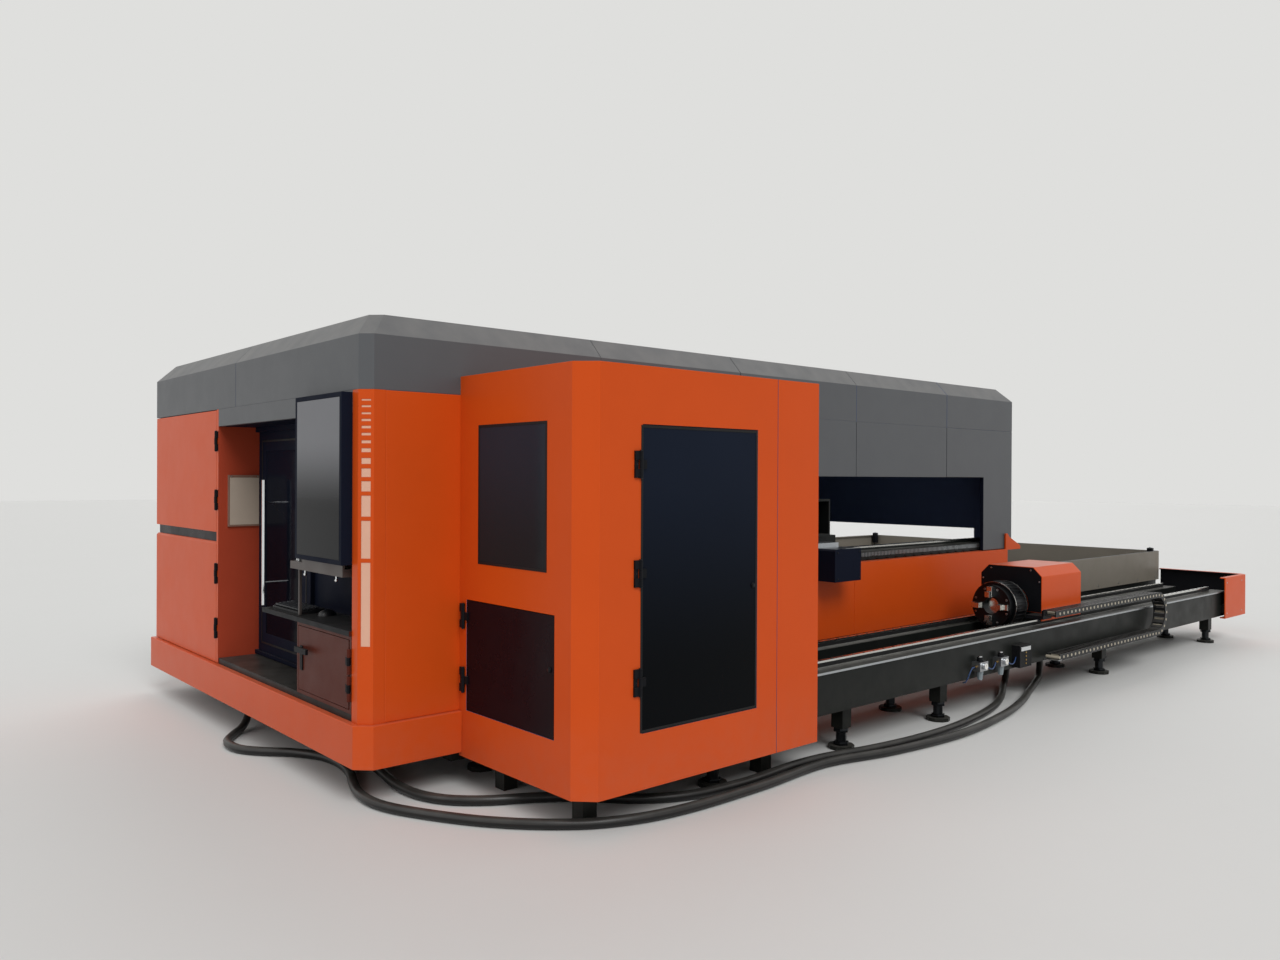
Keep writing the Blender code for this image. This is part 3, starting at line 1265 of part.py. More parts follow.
def make_cabinet_doors():
    """Lower side door and tall glass door, both let into the shell's face."""
    outline = rectangle((-SIDE_DOOR_FAR, -SIDE_DOOR_NEAR), (SIDE_DOOR_LOW, SIDE_DOOR_HIGH))
    face = CABINET_FRONT
    door = prism(inset(outline, INSET_GAP), (face, face + INSET_DEPTH), "X")
    for height in SIDE_DOOR_HINGES:
        SIDE_HINGE.add_moving(door, height)
    publish(door, "cabinet_side_door", NAVY, hinge_pivot(SIDE_HINGE))
    outline = rectangle((GLASS_DOOR_FRONT, GLASS_DOOR_REAR), (GLASS_DOOR_LOW, GLASS_DOOR_HIGH))
    face = -CABINET_OUT
    leaf = inset(outline, INSET_GAP)
    door = prism(leaf, (face, face + INSET_DEPTH), "Y")
    pane = inset(leaf, GLASS_FRAME)
    cut(door, prism(pane, (face + INSET_DEPTH - GLASS_RECESS, face + INSET_DEPTH + OVERRUN), "Y"))
    for height in GLASS_DOOR_HINGES:
        GLASS_HINGE.add_moving(door, height)
    publish(door, "cabinet_glass_door", GLASS, hinge_pivot(GLASS_HINGE))


def hollow(x, y, z, wall):
    """Return the cutter that makes a beam along X a tube with open ends."""
    return box((x[0] - OVERRUN, x[1] + OVERRUN), (y[0] + wall, y[1] - wall),
               (z[0] + wall, z[1] - wall))


def beam_spans():
    """Return the near and far Y span of the bed's side beams."""
    near = (BEAM_SIDE, BEAM_SIDE + BEAM_WIDTH)
    return near, (ENCLOSURE_WIDTH - near[1], ENCLOSURE_WIDTH - near[0])


def make_base_frame():
    """Welded bed: side beams with pockets, cross bars, pallet ledges, platform and feet."""
    near, far = beam_spans()
    length = (BED_FRONT, BED_REAR)
    frame = box(length, near, (BEAM_LOW, BEAM_TOP))
    join(frame, box(length, far, (BEAM_LOW, BEAM_TOP)))
    run = BED_REAR - BED_FRONT - CROSS_WIDTH
    for share in CROSS_SHARES:
        start = BED_FRONT + run * share
        cross = (start, start + CROSS_WIDTH)
        join(frame, box(cross, (near[1] - BITE, far[0] + BITE), (BEAM_LOW + BITE, CROSS_TOP)))
    ledge = (PALLET_LEVEL - LEDGE_THICKNESS, PALLET_LEVEL)
    join(frame, box(length, (near[1] - BITE, near[1] + LEDGE_WIDTH), ledge),
         box(length, (far[0] - LEDGE_WIDTH, far[0] + BITE), ledge))
    floor = (SHELL_BOTTOM + SEAT_GAP, SHELL_BOTTOM + SEAT_GAP + FLOOR_THICKNESS)
    join(frame,
         box((DOOR_MARGIN, FLOOR_REACH),
             (COLUMN_WIDTH + SEAT_GAP, ALCOVE_FAR - SEAT_GAP), floor),
         box((ALCOVE_DEPTH + ALCOVE_WALL, FLOOR_REACH), (near[0] + BITE, far[1] - BITE), floor))
    bearer = (BEARER_BOTTOM, floor[0] + BITE)
    join(frame, box((BEARER_FRONT, BEARER_FRONT + BEARER_WIDTH), (near[1], far[0]), bearer))
    for share in JOIST_SHARES:
        middle = ENCLOSURE_WIDTH * share
        span = (middle - JOIST_WIDTH / 2, middle + JOIST_WIDTH / 2)
        join(frame, box((BEARER_FRONT + BITE, BED_FRONT + CROSS_WIDTH / 2), span,
                        (BEARER_BOTTOM + BITE, bearer[1])))
    for route in (OUTER_HOSE_ROUTE, INNER_HOSE_ROUTE):
        join(frame, hose_gland(route[0], BEARER_BOTTOM + BITE * 2))
    pocket_run = (BED_REAR - BED_FRONT) / POCKET_COUNT
    for index in range(POCKET_COUNT):
        start = BED_FRONT + pocket_run * index + (pocket_run - POCKET_WIDTH) / 2
        for inner, outer in ((near[1] - BEAM_WALL - OVERRUN, near[1] + OVERRUN),
                             (far[0] - OVERRUN, far[0] + BEAM_WALL + OVERRUN)):
            cut(frame, box((start, start + POCKET_WIDTH), (inner, outer),
                           (POCKET_LOW, POCKET_HIGH)))
    for share in BED_FOOT_SHARES:
        for span in (near, far):
            middle = (span[0] + span[1]) / 2
            join(frame, *foot(BED_FRONT + (BED_REAR - BED_FRONT) * share, middle, BEAM_LOW))
    for span in (near, far):
        cut(frame, hollow(length, span, (BEAM_LOW, BEAM_TOP), BEAM_WALL))
    publish(frame, "base_frame", DARK_STEEL)


def hose_gland(end, carrier):
    """Return the gland that a hose's upright end runs into, up to its carrier."""
    x, y, z = end
    return cylinder((x, y), GLAND_RADIUS, (z + SEAT_GAP, carrier + BITE), "Z", GLAND_SIDES)


def make_fascia():
    """Orange cover on the bed's near beam, with the gusset at its rear end."""
    face = -FASCIA_PROUD
    front, rear = BAY_FRONT + INSET_GAP, BED_REAR
    outline = rectangle((front, rear), (FASCIA_LOW, BAY_LOW))
    fascia = pan(outline, face, BEAM_SIDE - SEAT_GAP, "Y")
    seam = (FASCIA_SEAM - SEAM / 2, FASCIA_SEAM + SEAM / 2)
    cut(fascia, box(seam, (face - OVERRUN, face + GROOVE_DEPTH),
                    (FASCIA_LOW - OVERRUN, BAY_LOW + OVERRUN)))
    foot_z = BAY_LOW - PAN_RIM / 2
    gusset = [(rear - BRACKET_POST, foot_z), (rear + BRACKET_REACH, foot_z),
              (rear + BRACKET_REACH, foot_z + BRACKET_POST),
              (rear + BRACKET_POST, BAY_LOW + BRACKET_RISE - BRACKET_POST),
              (rear, BAY_LOW + BRACKET_RISE), (rear - BRACKET_POST, BAY_LOW + BRACKET_RISE)]
    join(fascia, prism(gusset, (face, face + BRACKET_THICKNESS), "Y"))
    publish(fascia, "bed_fascia", ORANGE)


def rack_outline():
    """Return the toothed outline of a rack: X along the bed, Z up."""
    top = BEAM_TOP - BITE
    points = [(RAIL_REAR, top), (RAIL_FRONT, top)]
    count = int((RAIL_REAR - RAIL_FRONT) / RACK_PITCH)
    for index in range(count):
        start = RAIL_FRONT + RACK_PITCH * index
        points.append((start, RACK_LOW + RACK_TOOTH))
        points.append((start + RACK_PITCH / 3, RACK_LOW))
        points.append((start + RACK_PITCH * 2 / 3, RACK_LOW))
    points.append((RAIL_REAR, RACK_LOW + RACK_TOOTH))
    return points


def make_bed_rail(name, beam, outward):
    """Guide rail on a folded strip over one beam, with the rack on the beam's side."""
    edge = beam[0] if outward < 0 else beam[1]
    length = (RAIL_FRONT, RAIL_REAR)
    seat = edge + outward * SEAT_GAP
    outer = seat + outward * RACK_DEPTH
    inner = edge - outward * (RAIL_OFFSET + RAIL_WIDTH)
    across = (min(outer, inner), max(outer, inner))
    strip = box(length, across, (RAIL_SEAT, RAIL_SEAT + RAIL_STRIP))
    middle = edge - outward * RAIL_OFFSET
    half = RAIL_WIDTH / 2
    rail = box(length, (middle - half, middle + half), (RAIL_SEAT + BITE, RAIL_LEVEL))
    thick = (min(seat, outer), max(seat, outer))
    rack = prism(rack_outline(), thick, "Y")
    hanger = box(length, thick, (BEAM_TOP - BITE * 2, RAIL_SEAT + RAIL_STRIP - BITE))
    publish(join(strip, rail, hanger, rack), name, BRIGHT_STEEL)


def make_gantry():
    """Bridge over the bed: hollow beam, two trucks on the rails and two guide ridges."""
    near, far = beam_spans()
    x = (GANTRY_X, GANTRY_X + GANTRY_WIDTH)
    beam = box(x, (GANTRY_END, ENCLOSURE_WIDTH - GANTRY_END), (GANTRY_LOW, GANTRY_TOP))
    cut(beam, box((x[0] + GANTRY_WALL, x[1] - GANTRY_WALL), (-OVERRUN, ENCLOSURE_WIDTH + OVERRUN),
                  (GANTRY_LOW + GANTRY_WALL, GANTRY_TOP - GANTRY_WALL)))
    middle = (x[0] + x[1]) / 2
    for span in (near, far):
        centre = (span[0] + span[1]) / 2
        truck = box((middle - TRUCK_LENGTH / 2, middle + TRUCK_LENGTH / 2),
                    (centre - TRUCK_WIDTH / 2, centre + TRUCK_WIDTH / 2),
                    (RAIL_LEVEL + SEAT_GAP, GANTRY_LOW + BITE))
        join(beam, truck)
    for share in RIDGE_SHARES:
        height = GANTRY_LOW + GANTRY_HEIGHT * share
        ridge = box((x[0] - RIDGE_DEPTH, x[0] + BITE), (near[1], far[0]),
                    (height - RIDGE_HEIGHT / 2, height + RIDGE_HEIGHT / 2))
        join(beam, ridge)
    pivot = (middle, CENTRE_Y, RAIL_LEVEL)
    publish(beam, "gantry_beam", DARK_STEEL, pivot)


def make_gantry_cover():
    """End box of the gantry outside the fascia, with a neck back to the truck."""
    near, _ = beam_spans()
    inner = -FASCIA_PROUD - DOOR_MARGIN
    cover = box((COVER_FRONT, COVER_REAR), (-COVER_OUT, inner), (COVER_LOW, COVER_TOP))
    truck = (near[0] + near[1]) / 2 - TRUCK_WIDTH / 2 - SEAT_GAP
    inset_x = COVER_EDGE * 2
    neck = box((COVER_FRONT + inset_x, COVER_REAR - inset_x), (inner - BITE, truck),
               (RAIL_LEVEL + SEAT_GAP, COVER_TOP + COVER_STRIP))
    corner_z = COVER_TOP - COVER_EDGE
    bevel = [(COVER_FRONT - OVERRUN, corner_z - OVERRUN), (COVER_FRONT + COVER_EDGE, COVER_TOP),
             (COVER_FRONT + COVER_EDGE, COVER_TOP + OVERRUN),
             (COVER_FRONT - OVERRUN, COVER_TOP + OVERRUN)]
    cut(cover, prism(bevel, (-COVER_OUT - OVERRUN, inner + OVERRUN), "Y"))
    publish(join(cover, neck), "gantry_cover", BLACK)


def make_carriage():
    """Plate that rides the beam's ridges, with a slideway for the head."""
    back = GANTRY_X - RIDGE_DEPTH - SEAT_GAP
    half = CARRIAGE_WIDTH / 2
    y = (CENTRE_Y - half, CENTRE_Y + half)
    plate = box((back - CARRIAGE_DEPTH, back), y,
                (GANTRY_LOW - CARRIAGE_RISE, GANTRY_TOP + CARRIAGE_RISE))
    slot = HEAD_WIDTH / 2 + SEAT_GAP
    way = box((back - CARRIAGE_DEPTH - OVERRUN, back - CARRIAGE_DEPTH / 2),
              (CENTRE_Y - slot, CENTRE_Y + slot),
              (GANTRY_LOW - CARRIAGE_RISE - OVERRUN, GANTRY_TOP + CARRIAGE_RISE + OVERRUN))
    pivot = (back, CENTRE_Y, GANTRY_LOW)
    publish(cut(plate, way), "cutting_carriage", BLACK, pivot)


def make_cutting_head():
    """Cutting head in the carriage's slideway, down to its nozzle."""
    back = GANTRY_X - RIDGE_DEPTH - SEAT_GAP - CARRIAGE_DEPTH / 2 - SEAT_GAP
    front = back - HEAD_DEPTH
    half = HEAD_WIDTH / 2
    body = box((front, back), (CENTRE_Y - half, CENTRE_Y + half), (HEAD_LOW, HEAD_HIGH))
    centre = ((front + back) / 2, CENTRE_Y)
    collar_low = HEAD_LOW - HEAD_TAPER
    collar = cylinder(centre, NOZZLE_RADIUS, (collar_low, HEAD_LOW + BITE), "Z", GLAND_SIDES,
                      COLLAR_RADIUS)
    tip = cylinder(centre, NOZZLE_TIP, (collar_low - NOZZLE_DROP / 2, collar_low + BITE), "Z",
                   GLAND_SIDES, NOZZLE_RADIUS - BITE)
    publish(join(body, collar, tip), "cutting_head", ALUMINIUM, (back, CENTRE_Y, HEAD_LOW))


def make_pallet():
    """Pallet: a frame on skids, with slats set across its opening."""
    low = PALLET_LEVEL + SEAT_GAP
    high = low + PALLET_HEIGHT
    x = (PALLET_FRONT, PALLET_FRONT + PALLET_LENGTH)
    y = (PALLET_SIDE, ENCLOSURE_WIDTH - PALLET_SIDE)
    start, end = x[0] + PALLET_FRAME, x[1] - PALLET_FRAME
    inner_y = (y[0] + PALLET_FRAME, y[1] - PALLET_FRAME)
    opening = rectangle((start, end), inner_y)
    pallet = prism(rectangle(x, y), (low, high), "Z", [opening])
    pitch = (end - start + SLAT_THICKNESS) / (SLAT_COUNT + 1)
    for index in range(1, SLAT_COUNT + 1):
        right = start + pitch * index
        join(pallet, box((right - SLAT_THICKNESS, right), (inner_y[0] - BITE, inner_y[1] + BITE),
                         (low + SLAT_INSET, high - BITE)))
    publish(pallet, "pallet", SLAT_STEEL, (x[0], CENTRE_Y, low))


def make_table_frame():
    """Exchange table's frame: side beams, cross bars, pallet rails, rear edge and legs."""
    side = -TABLE_OUT + PAN_DEPTH + SEAT_GAP
    near = (side, side + TABLE_BEAM_WIDTH)
    far = (ENCLOSURE_WIDTH - near[1], ENCLOSURE_WIDTH - near[0])
    x = (TABLE_FRONT, TABLE_REAR - PAN_DEPTH)
    heights = (TABLE_BEAM_LOW, TABLE_LOW + TABLE_EDGE)
    frame = box(x, near, heights)
    join(frame, box(x, far, heights))
    rail_z = (TABLE_LOW, PALLET_LEVEL)
    rail_near = (PALLET_SIDE, PALLET_SIDE + TABLE_RAIL_WIDTH)
    rail_far = (ENCLOSURE_WIDTH - rail_near[1], ENCLOSURE_WIDTH - rail_near[0])
    run = x[1] - x[0] - TABLE_BEAM_WIDTH
    for share in TABLE_CROSS_SHARES:
        start = x[0] + run * share
        cross = (start, start + TABLE_BEAM_WIDTH)
        join(frame, box(cross, (near[0] + BITE, far[1] - BITE),
                        (TABLE_BEAM_LOW + BITE, TABLE_LOW + BITE)))
    join(frame, box(x, rail_near, rail_z), box(x, rail_far, rail_z))
    rear = (TABLE_REAR - PAN_DEPTH - BITE, TABLE_REAR)
    outer = (-TABLE_OUT + PAN_DEPTH + SEAT_GAP, TABLE_FAR - PAN_DEPTH - SEAT_GAP)
    join(frame, box(rear, outer, (TABLE_BEAM_LOW, TABLE_TOP)))
    leg_run = x[1] - x[0]
    for share in TABLE_LEG_SHARES:
        centre = x[0] + leg_run * share
        for span in (near, far):
            middle = (span[0] + span[1]) / 2
            half = TABLE_LEG / 2
            join(frame, box((centre - half, centre + half), (middle - half, middle + half),
                            (BEAM_LOW, TABLE_BEAM_LOW + BITE)))
            join(frame, *foot(centre, middle, BEAM_LOW))
    publish(frame, "table_frame", BLACK)


def make_table_panels():
    """Grey side panels of the exchange table."""
    outline = rectangle((TABLE_FRONT, TABLE_REAR), (TABLE_LOW, TABLE_TOP))
    near = pan(outline, -TABLE_OUT, -TABLE_OUT + PAN_DEPTH, "Y")
    publish(near, "table_panel_near", TABLE_GREY)
    far = pan(outline, TABLE_FAR, TABLE_FAR - PAN_DEPTH, "Y")
    publish(far, "table_panel_far", TABLE_GREY)


def make_tube_bed():
    """Trough of the tube bed with legs, ties to the machine bed and its air fittings."""
    x = (TUBE_BED_FRONT, TUBE_BED_REAR)
    z = (TUBE_BED_LOW, TUBE_BED_TOP)
    outer = (-TUBE_BED_OUT, -TUBE_BED_OUT + TUBE_BEAM)
    inner = (-TUBE_BED_IN - TUBE_BEAM, -TUBE_BED_IN)
    bed = box(x, outer, z)
    join(bed, box(x, inner, z))
    cut(bed, hollow(x, outer, z, TUBE_WALL), hollow(x, inner, z, TUBE_WALL))
    join(bed, box(x, (outer[1] - BITE, inner[0] + BITE),
                  (TUBE_BED_LOW + BITE, TUBE_BED_LOW + TUBE_FLOOR)))
    join(bed, box(x, (outer[0] - EDGE_STRIP, outer[0] + BITE), (z[1] - EDGE_STRIP, z[1])))
    run = x[1] - x[0] - TUBE_CROSS_WIDTH
    for index in range(TUBE_CROSS_COUNT):
        start = x[0] + run * index / (TUBE_CROSS_COUNT - 1)
        join(bed, box((start, start + TUBE_CROSS_WIDTH), (outer[1] - BITE, inner[0] + BITE),
                      (TUBE_BED_LOW + BITE, TUBE_BED_LOW + TUBE_CROSS_HEIGHT)))
    half = TUBE_LEG / 2
    for centre in TUBE_FEET_X:
        for middle in TUBE_FEET_Y:
            leg = box((centre - half, centre + half), (middle - half, middle + half),
                      (BEAM_LOW, TUBE_BED_LOW + BITE))
            join(bed, leg, *foot(centre, middle, BEAM_LOW))
    for centre in TUBE_TIE_X:
        join(bed, box((centre - half, centre + half),
                      (inner[1] - BITE, BEAM_SIDE - SEAT_GAP), (TUBE_TIE_LOW, TUBE_TIE_HIGH)))
    guard_face = -GUARD_OUT + GUARD_WALL + SEAT_GAP
    join(bed, box((GUARD_FRONT + PAN_DEPTH, GUARD_FRONT + PAN_DEPTH + TUBE_LEG),
                  (guard_face, outer[0] + BITE), (TUBE_TIE_LOW, TUBE_TIE_HIGH)))
    add_air_fittings(bed)
    for route in (OUTER_HOSE_ROUTE, INNER_HOSE_ROUTE):
        join(bed, hose_gland(route[-1], TUBE_BED_LOW))
    publish(bed, "tube_bed", DARK_STEEL)


def add_air_fittings(bed):
    """Weld the air regulators with their bowls, and the filter unit, to the bed's side."""
    face = -TUBE_BED_OUT
    middle = face - VALVE_DEPTH / 2
    half = VALVE_WIDTH / 2
    for centre in VALVE_X:
        body = box((centre - half, centre + half), (face - VALVE_DEPTH, face + BITE),
                   (VALVE_LOW, VALVE_LOW + VALVE_HEIGHT))
        bowl = cylinder((centre, middle), BOWL_RADIUS * 2 / 3,
                        (VALVE_LOW - BOWL_DROP, VALVE_LOW + BITE), "Z", GLAND_SIDES, BOWL_RADIUS)
        join(bed, body, bowl)
    unit = box((UNIT_X, UNIT_X + UNIT_WIDTH), (face - VALVE_DEPTH, face + BITE),
               (UNIT_LOW, UNIT_LOW + UNIT_HEIGHT))
    join(bed, unit)


def make_tube_rails():
    """Two guide rails along the tube bed."""
    half = TUBE_RAIL_WIDTH / 2
    for name, out in (("tube_rail_outer", TUBE_RAIL_OUT), ("tube_rail_inner", TUBE_RAIL_IN)):
        rail = box((TUBE_RAIL_FRONT, TUBE_RAIL_REAR), (-out - half, -out + half),
                   (TUBE_BED_TOP + SEAT_GAP, TUBE_RAIL_TOP))
        publish(rail, name, BRIGHT_STEEL)


def running_bore(radius):
    """Return the radius of a faceted bore whose flats clear a part turning inside it."""
    return (radius + SEAT_GAP) / math.cos(math.pi / CHUCK_STEPS)


def headstock_section(depth):
    """Return the travelling head's cross section at a depth inside its cover."""
    out, inner = -HEADSTOCK_OUT + depth, -HEADSTOCK_IN - depth
    top = HEADSTOCK_TOP - depth
    chamfer = HEADSTOCK_CHAMFER - depth * (2 - math.sqrt(2))
    low = HEADSTOCK_LOW if depth == 0 else HEADSTOCK_LOW - OVERRUN
    return [(out, low), (inner, low), (inner, top - chamfer), (inner - chamfer, top),
            (out + chamfer, top), (out, top - chamfer)]


def make_headstock():
    """Travelling head: base with bearing blocks and spindle housing, and its cover."""
    wall = HEADSTOCK_WALL + SEAT_GAP
    x = (HEADSTOCK_FRONT + wall, HEADSTOCK_REAR - wall)
    y = (-HEADSTOCK_OUT + wall, -HEADSTOCK_IN - wall)
    base = box(x, y, (PLATE_LOW, PLATE_HIGH))
    half = BLOCK_WIDTH / 2 - PAN_RIM
    for rail in (-TUBE_RAIL_OUT, -TUBE_RAIL_IN):
        for start in (x[0] + BLOCK_INSET, x[1] - BLOCK_INSET - BLOCK_LENGTH):
            block = box((start, start + BLOCK_LENGTH), (rail - half, rail + half),
                        (TUBE_RAIL_TOP + SEAT_GAP, PLATE_LOW + BITE))
            join(base, block)
    housing = box((x[0] + HOUSING_INSET, x[1] - HOUSING_INSET),
                  (SPINDLE_Y - HOUSING_HALF, SPINDLE_Y + HOUSING_HALF),
                  (PLATE_HIGH - BITE, HOUSING_TOP))
    join(base, housing)
    arm_y = (-CHAIN_NEAR + SEAT_GAP, y[0] + PAN_RIM)
    arm_x = (ARM_FRONT, HEADSTOCK_FRONT - PAN_RIM)
    foot_x = (x[0] - PAN_RIM * 2, x[0] + PAN_RIM * 2)
    join(base,
         box((ARM_FRONT, x[0] + PAN_RIM), (y[0], y[0] + ARM_RISE), (PLATE_LOW, PLATE_HIGH)),
         box(arm_x, arm_y, (PLATE_LOW, PLATE_HIGH)),
         box(arm_x, (arm_y[0], arm_y[0] + PAN_RIM), (PLATE_LOW + BITE, PLATE_HIGH + ARM_RISE)),
         box(foot_x, (y[0] + BITE, y[0] + ARM_RISE - BITE), (PLATE_LOW + BITE, PLATE_HIGH - BITE)))
    centre = (SPINDLE_Y, SPINDLE_Z)
    bore = running_bore(SPINDLE_SHAFT)
    cut(base, cylinder(centre, bore, (x[0] - OVERRUN, x[1] + OVERRUN), "X", CHUCK_STEPS),
        cylinder(centre, CHUCK_NECK + NECK_CLEARANCE, (x[0] - OVERRUN, x[0] + HOUSING_INSET),
                 "X", CHUCK_STEPS))
    publish(base, "headstock_base", DARK_STEEL, (x[0], SPINDLE_Y, TUBE_RAIL_TOP))
    cover = prism(headstock_section(0), (HEADSTOCK_FRONT, HEADSTOCK_REAR), "X")
    cavity = prism(headstock_section(HEADSTOCK_WALL),
                   (HEADSTOCK_FRONT + HEADSTOCK_WALL, HEADSTOCK_REAR - HEADSTOCK_WALL), "X")
    trough = box((HEADSTOCK_FRONT - OVERRUN, HEADSTOCK_REAR + OVERRUN),
                 (-HEADSTOCK_OUT + HEADSTOCK_WALL, -HEADSTOCK_IN - HEADSTOCK_WALL),
                 (HEADSTOCK_LOW - OVERRUN, PLATE_HIGH + SEAT_GAP))
    mouth = cylinder(centre, CHUCK_NECK + NECK_CLEARANCE,
                     (HEADSTOCK_FRONT - OVERRUN, HEADSTOCK_FRONT + HEADSTOCK_WALL + OVERRUN),
                     "X", CHUCK_STEPS)
    cut(cover, cavity, trough, mouth)
    publish(cover, "headstock_cover", ORANGE, (x[0], SPINDLE_Y, TUBE_RAIL_TOP))


def make_rear_chuck():
    """Rotating chuck on its hollow spindle, and its four sliding jaws."""
    wall = HEADSTOCK_WALL + SEAT_GAP
    shaft_end = HEADSTOCK_REAR - wall - HOUSING_INSET
    shoulder = HEADSTOCK_FRONT + wall + HOUSING_INSET - SEAT_GAP
    profile = [(CHUCK_BORE, 0), (CHUCK_RING, 0), (CHUCK_RING, CHUCK_STEP - CHUCK_FRONT),
               (CHUCK_RADIUS, CHUCK_STEP - CHUCK_FRONT), (CHUCK_RADIUS, CHUCK_BACK - CHUCK_FRONT),
               (CHUCK_NECK, CHUCK_BACK - CHUCK_FRONT), (CHUCK_NECK, shoulder - CHUCK_FRONT),
               (SPINDLE_SHAFT, shoulder - CHUCK_FRONT), (SPINDLE_SHAFT, shaft_end - CHUCK_FRONT),
               (CHUCK_BORE, shaft_end - CHUCK_FRONT)]
    chuck = turned(profile, (SPINDLE_Y, SPINDLE_Z), CHUCK_FRONT)
    smooth(chuck)
    pivot = (CHUCK_FRONT, SPINDLE_Y, SPINDLE_Z)
    publish(chuck, "rear_chuck", DARK_STEEL, pivot)
    directions = ((0, 1), (0, -1), (1, 0), (-1, 0))
    for number, direction in enumerate(directions, start=1):
        make_jaw(number, direction)


def jaw_box(direction, radii, half, x):
    """Return a box that lies along a radius of the chuck."""
    across = (-direction[1], direction[0])
    corners = []
    for radius, side in ((radii[0], -half), (radii[1], -half), (radii[1], half), (radii[0], half)):
        corners.append((SPINDLE_Y + direction[0] * radius + across[0] * side,
                        SPINDLE_Z + direction[1] * radius + across[1] * side))
    return prism(corners, x, "X")


def make_jaw(number, direction):
    """Stepped jaw on the chuck's face, with its origin at its foot on the face."""
    back = CHUCK_FRONT - SEAT_GAP
    half = JAW_WIDTH / 2
    radii = (JAW_INNER, JAW_INNER + JAW_LENGTH)
    jaw = jaw_box(direction, radii, half, (back - JAW_DEPTH / 2, back))
    grip = jaw_box(direction, (radii[0], radii[0] + JAW_STEP * 2), half - BITE,
                   (back - JAW_DEPTH, back - JAW_DEPTH / 2 + BITE))
    pivot = (back, SPINDLE_Y + direction[0] * JAW_INNER, SPINDLE_Z + direction[1] * JAW_INNER)
    publish(join(jaw, grip), f"chuck_jaw_{number}", BRIGHT_STEEL, pivot)


def make_front_chuck():
    """Fixed chuck block on the tube rails inside the cabinet, and its turning ring."""
    block = box((FRONT_BLOCK_FRONT, FRONT_BLOCK_REAR),
                (SPINDLE_Y - FRONT_BLOCK_HALF, SPINDLE_Y + FRONT_BLOCK_HALF),
                (TUBE_RAIL_TOP + SEAT_GAP, FRONT_BLOCK_TOP))
    span = (FRONT_BLOCK_FRONT - OVERRUN, FRONT_BLOCK_REAR + OVERRUN)
    centre = (SPINDLE_Y, SPINDLE_Z)
    cut(block, cylinder(centre, running_bore(FRONT_HUB_RADIUS), span, "X", CHUCK_STEPS))
    publish(block, "front_chuck_block", DARK_STEEL)
    back = FRONT_BLOCK_FRONT - SEAT_GAP
    depth = back - FRONT_RING_FRONT
    end = FRONT_BLOCK_REAR - FRONT_RING_FRONT
    profile = [(CHUCK_BORE, 0), (FRONT_RING_LIP, 0), (FRONT_RING_LIP, FRONT_RING_STEP),
               (FRONT_RING_RADIUS, FRONT_RING_STEP), (FRONT_RING_RADIUS, depth),
               (FRONT_HUB_RADIUS, depth), (FRONT_HUB_RADIUS, end), (CHUCK_BORE, end)]
    ring = turned(profile, centre, FRONT_RING_FRONT)
    smooth(ring)
    publish(ring, "front_chuck_ring", BRIGHT_STEEL, (FRONT_RING_FRONT, SPINDLE_Y, SPINDLE_Z))


def chain_edge(offset):
    """Return the chain's edge at an offset outside its middle line, with link notches."""
    radius = (CHAIN_HIGH - CHAIN_LOW) / 2
    middle = (CHAIN_HIGH + CHAIN_LOW) / 2
    high, low = CHAIN_HIGH + offset, CHAIN_LOW - offset
    notch = CHAIN_NOTCH_DEPTH if offset > 0 else 0
    points = []
    count = int((CHAIN_TURN - CHAIN_START) / CHAIN_PITCH)
    for index in range(count):
        start = CHAIN_START + CHAIN_PITCH * index
        points += notched(start, start + CHAIN_PITCH, high, high - notch, index)
    for index in range(CHAIN_TURN_LINKS + 1):
        angle = math.pi / 2 - math.pi * index / CHAIN_TURN_LINKS
        reach = radius + offset
        points.append((CHAIN_TURN + reach * math.cos(angle), middle + reach * math.sin(angle)))
    count = int((CHAIN_TURN - CHAIN_END) / CHAIN_PITCH)
    for index in range(count):
        start = CHAIN_TURN - CHAIN_PITCH * index
        points += notched(start, start - CHAIN_PITCH, low, low + notch, index)
    points.append((CHAIN_END, low))
    return points


def notched(start, end, face, floor, index):
    """Return the corners of one link's edge, with the notch before it."""
    if face == floor:
        return [(start, face)] if index == 0 else []
    side = math.copysign(CHAIN_NOTCH, end - start)
    if index == 0:
        return [(start, face)]
    return [(start, face), (start, floor), (start + side, floor), (start + side, face)]


def make_drag_chain():
    """Energy chain: its upper run from the head's arm, its turn and its lower run."""
    half = CHAIN_THICKNESS / 2
    outline = chain_edge(half) + chain_edge(-half)[::-1]
    chain = prism(outline, (-CHAIN_OUT, -CHAIN_NEAR), "Y")
    publish(chain, "drag_chain", BLACK)


def guard_band(inner, outer, margin):
    """Return the plan outline of the guard between two depths inside its outer face."""
    def run(depth):
        corner = GUARD_CHAMFER - depth * (2 - math.sqrt(2))
        out, rear = -GUARD_OUT + depth, GUARD_REAR - depth
        return [(GUARD_FRONT - margin, out), (rear - corner, out), (rear, out + corner),
                (rear, -GUARD_IN + margin)]
    return run(outer) + run(inner)[::-1]


def make_rear_guard():
    """Orange guard round the tube bed's rear corner, with turned-in flanges."""
    guard = prism(guard_band(GUARD_FLANGE, 0, 0), (GUARD_LOW, GUARD_TOP))
    hollow = guard_band(GUARD_FLANGE + OVERRUN, GUARD_WALL, OVERRUN)
    cut(guard, prism(hollow, (GUARD_LOW + GUARD_WALL, GUARD_TOP - GUARD_WALL)))
    publish(guard, "rear_guard", ORANGE)


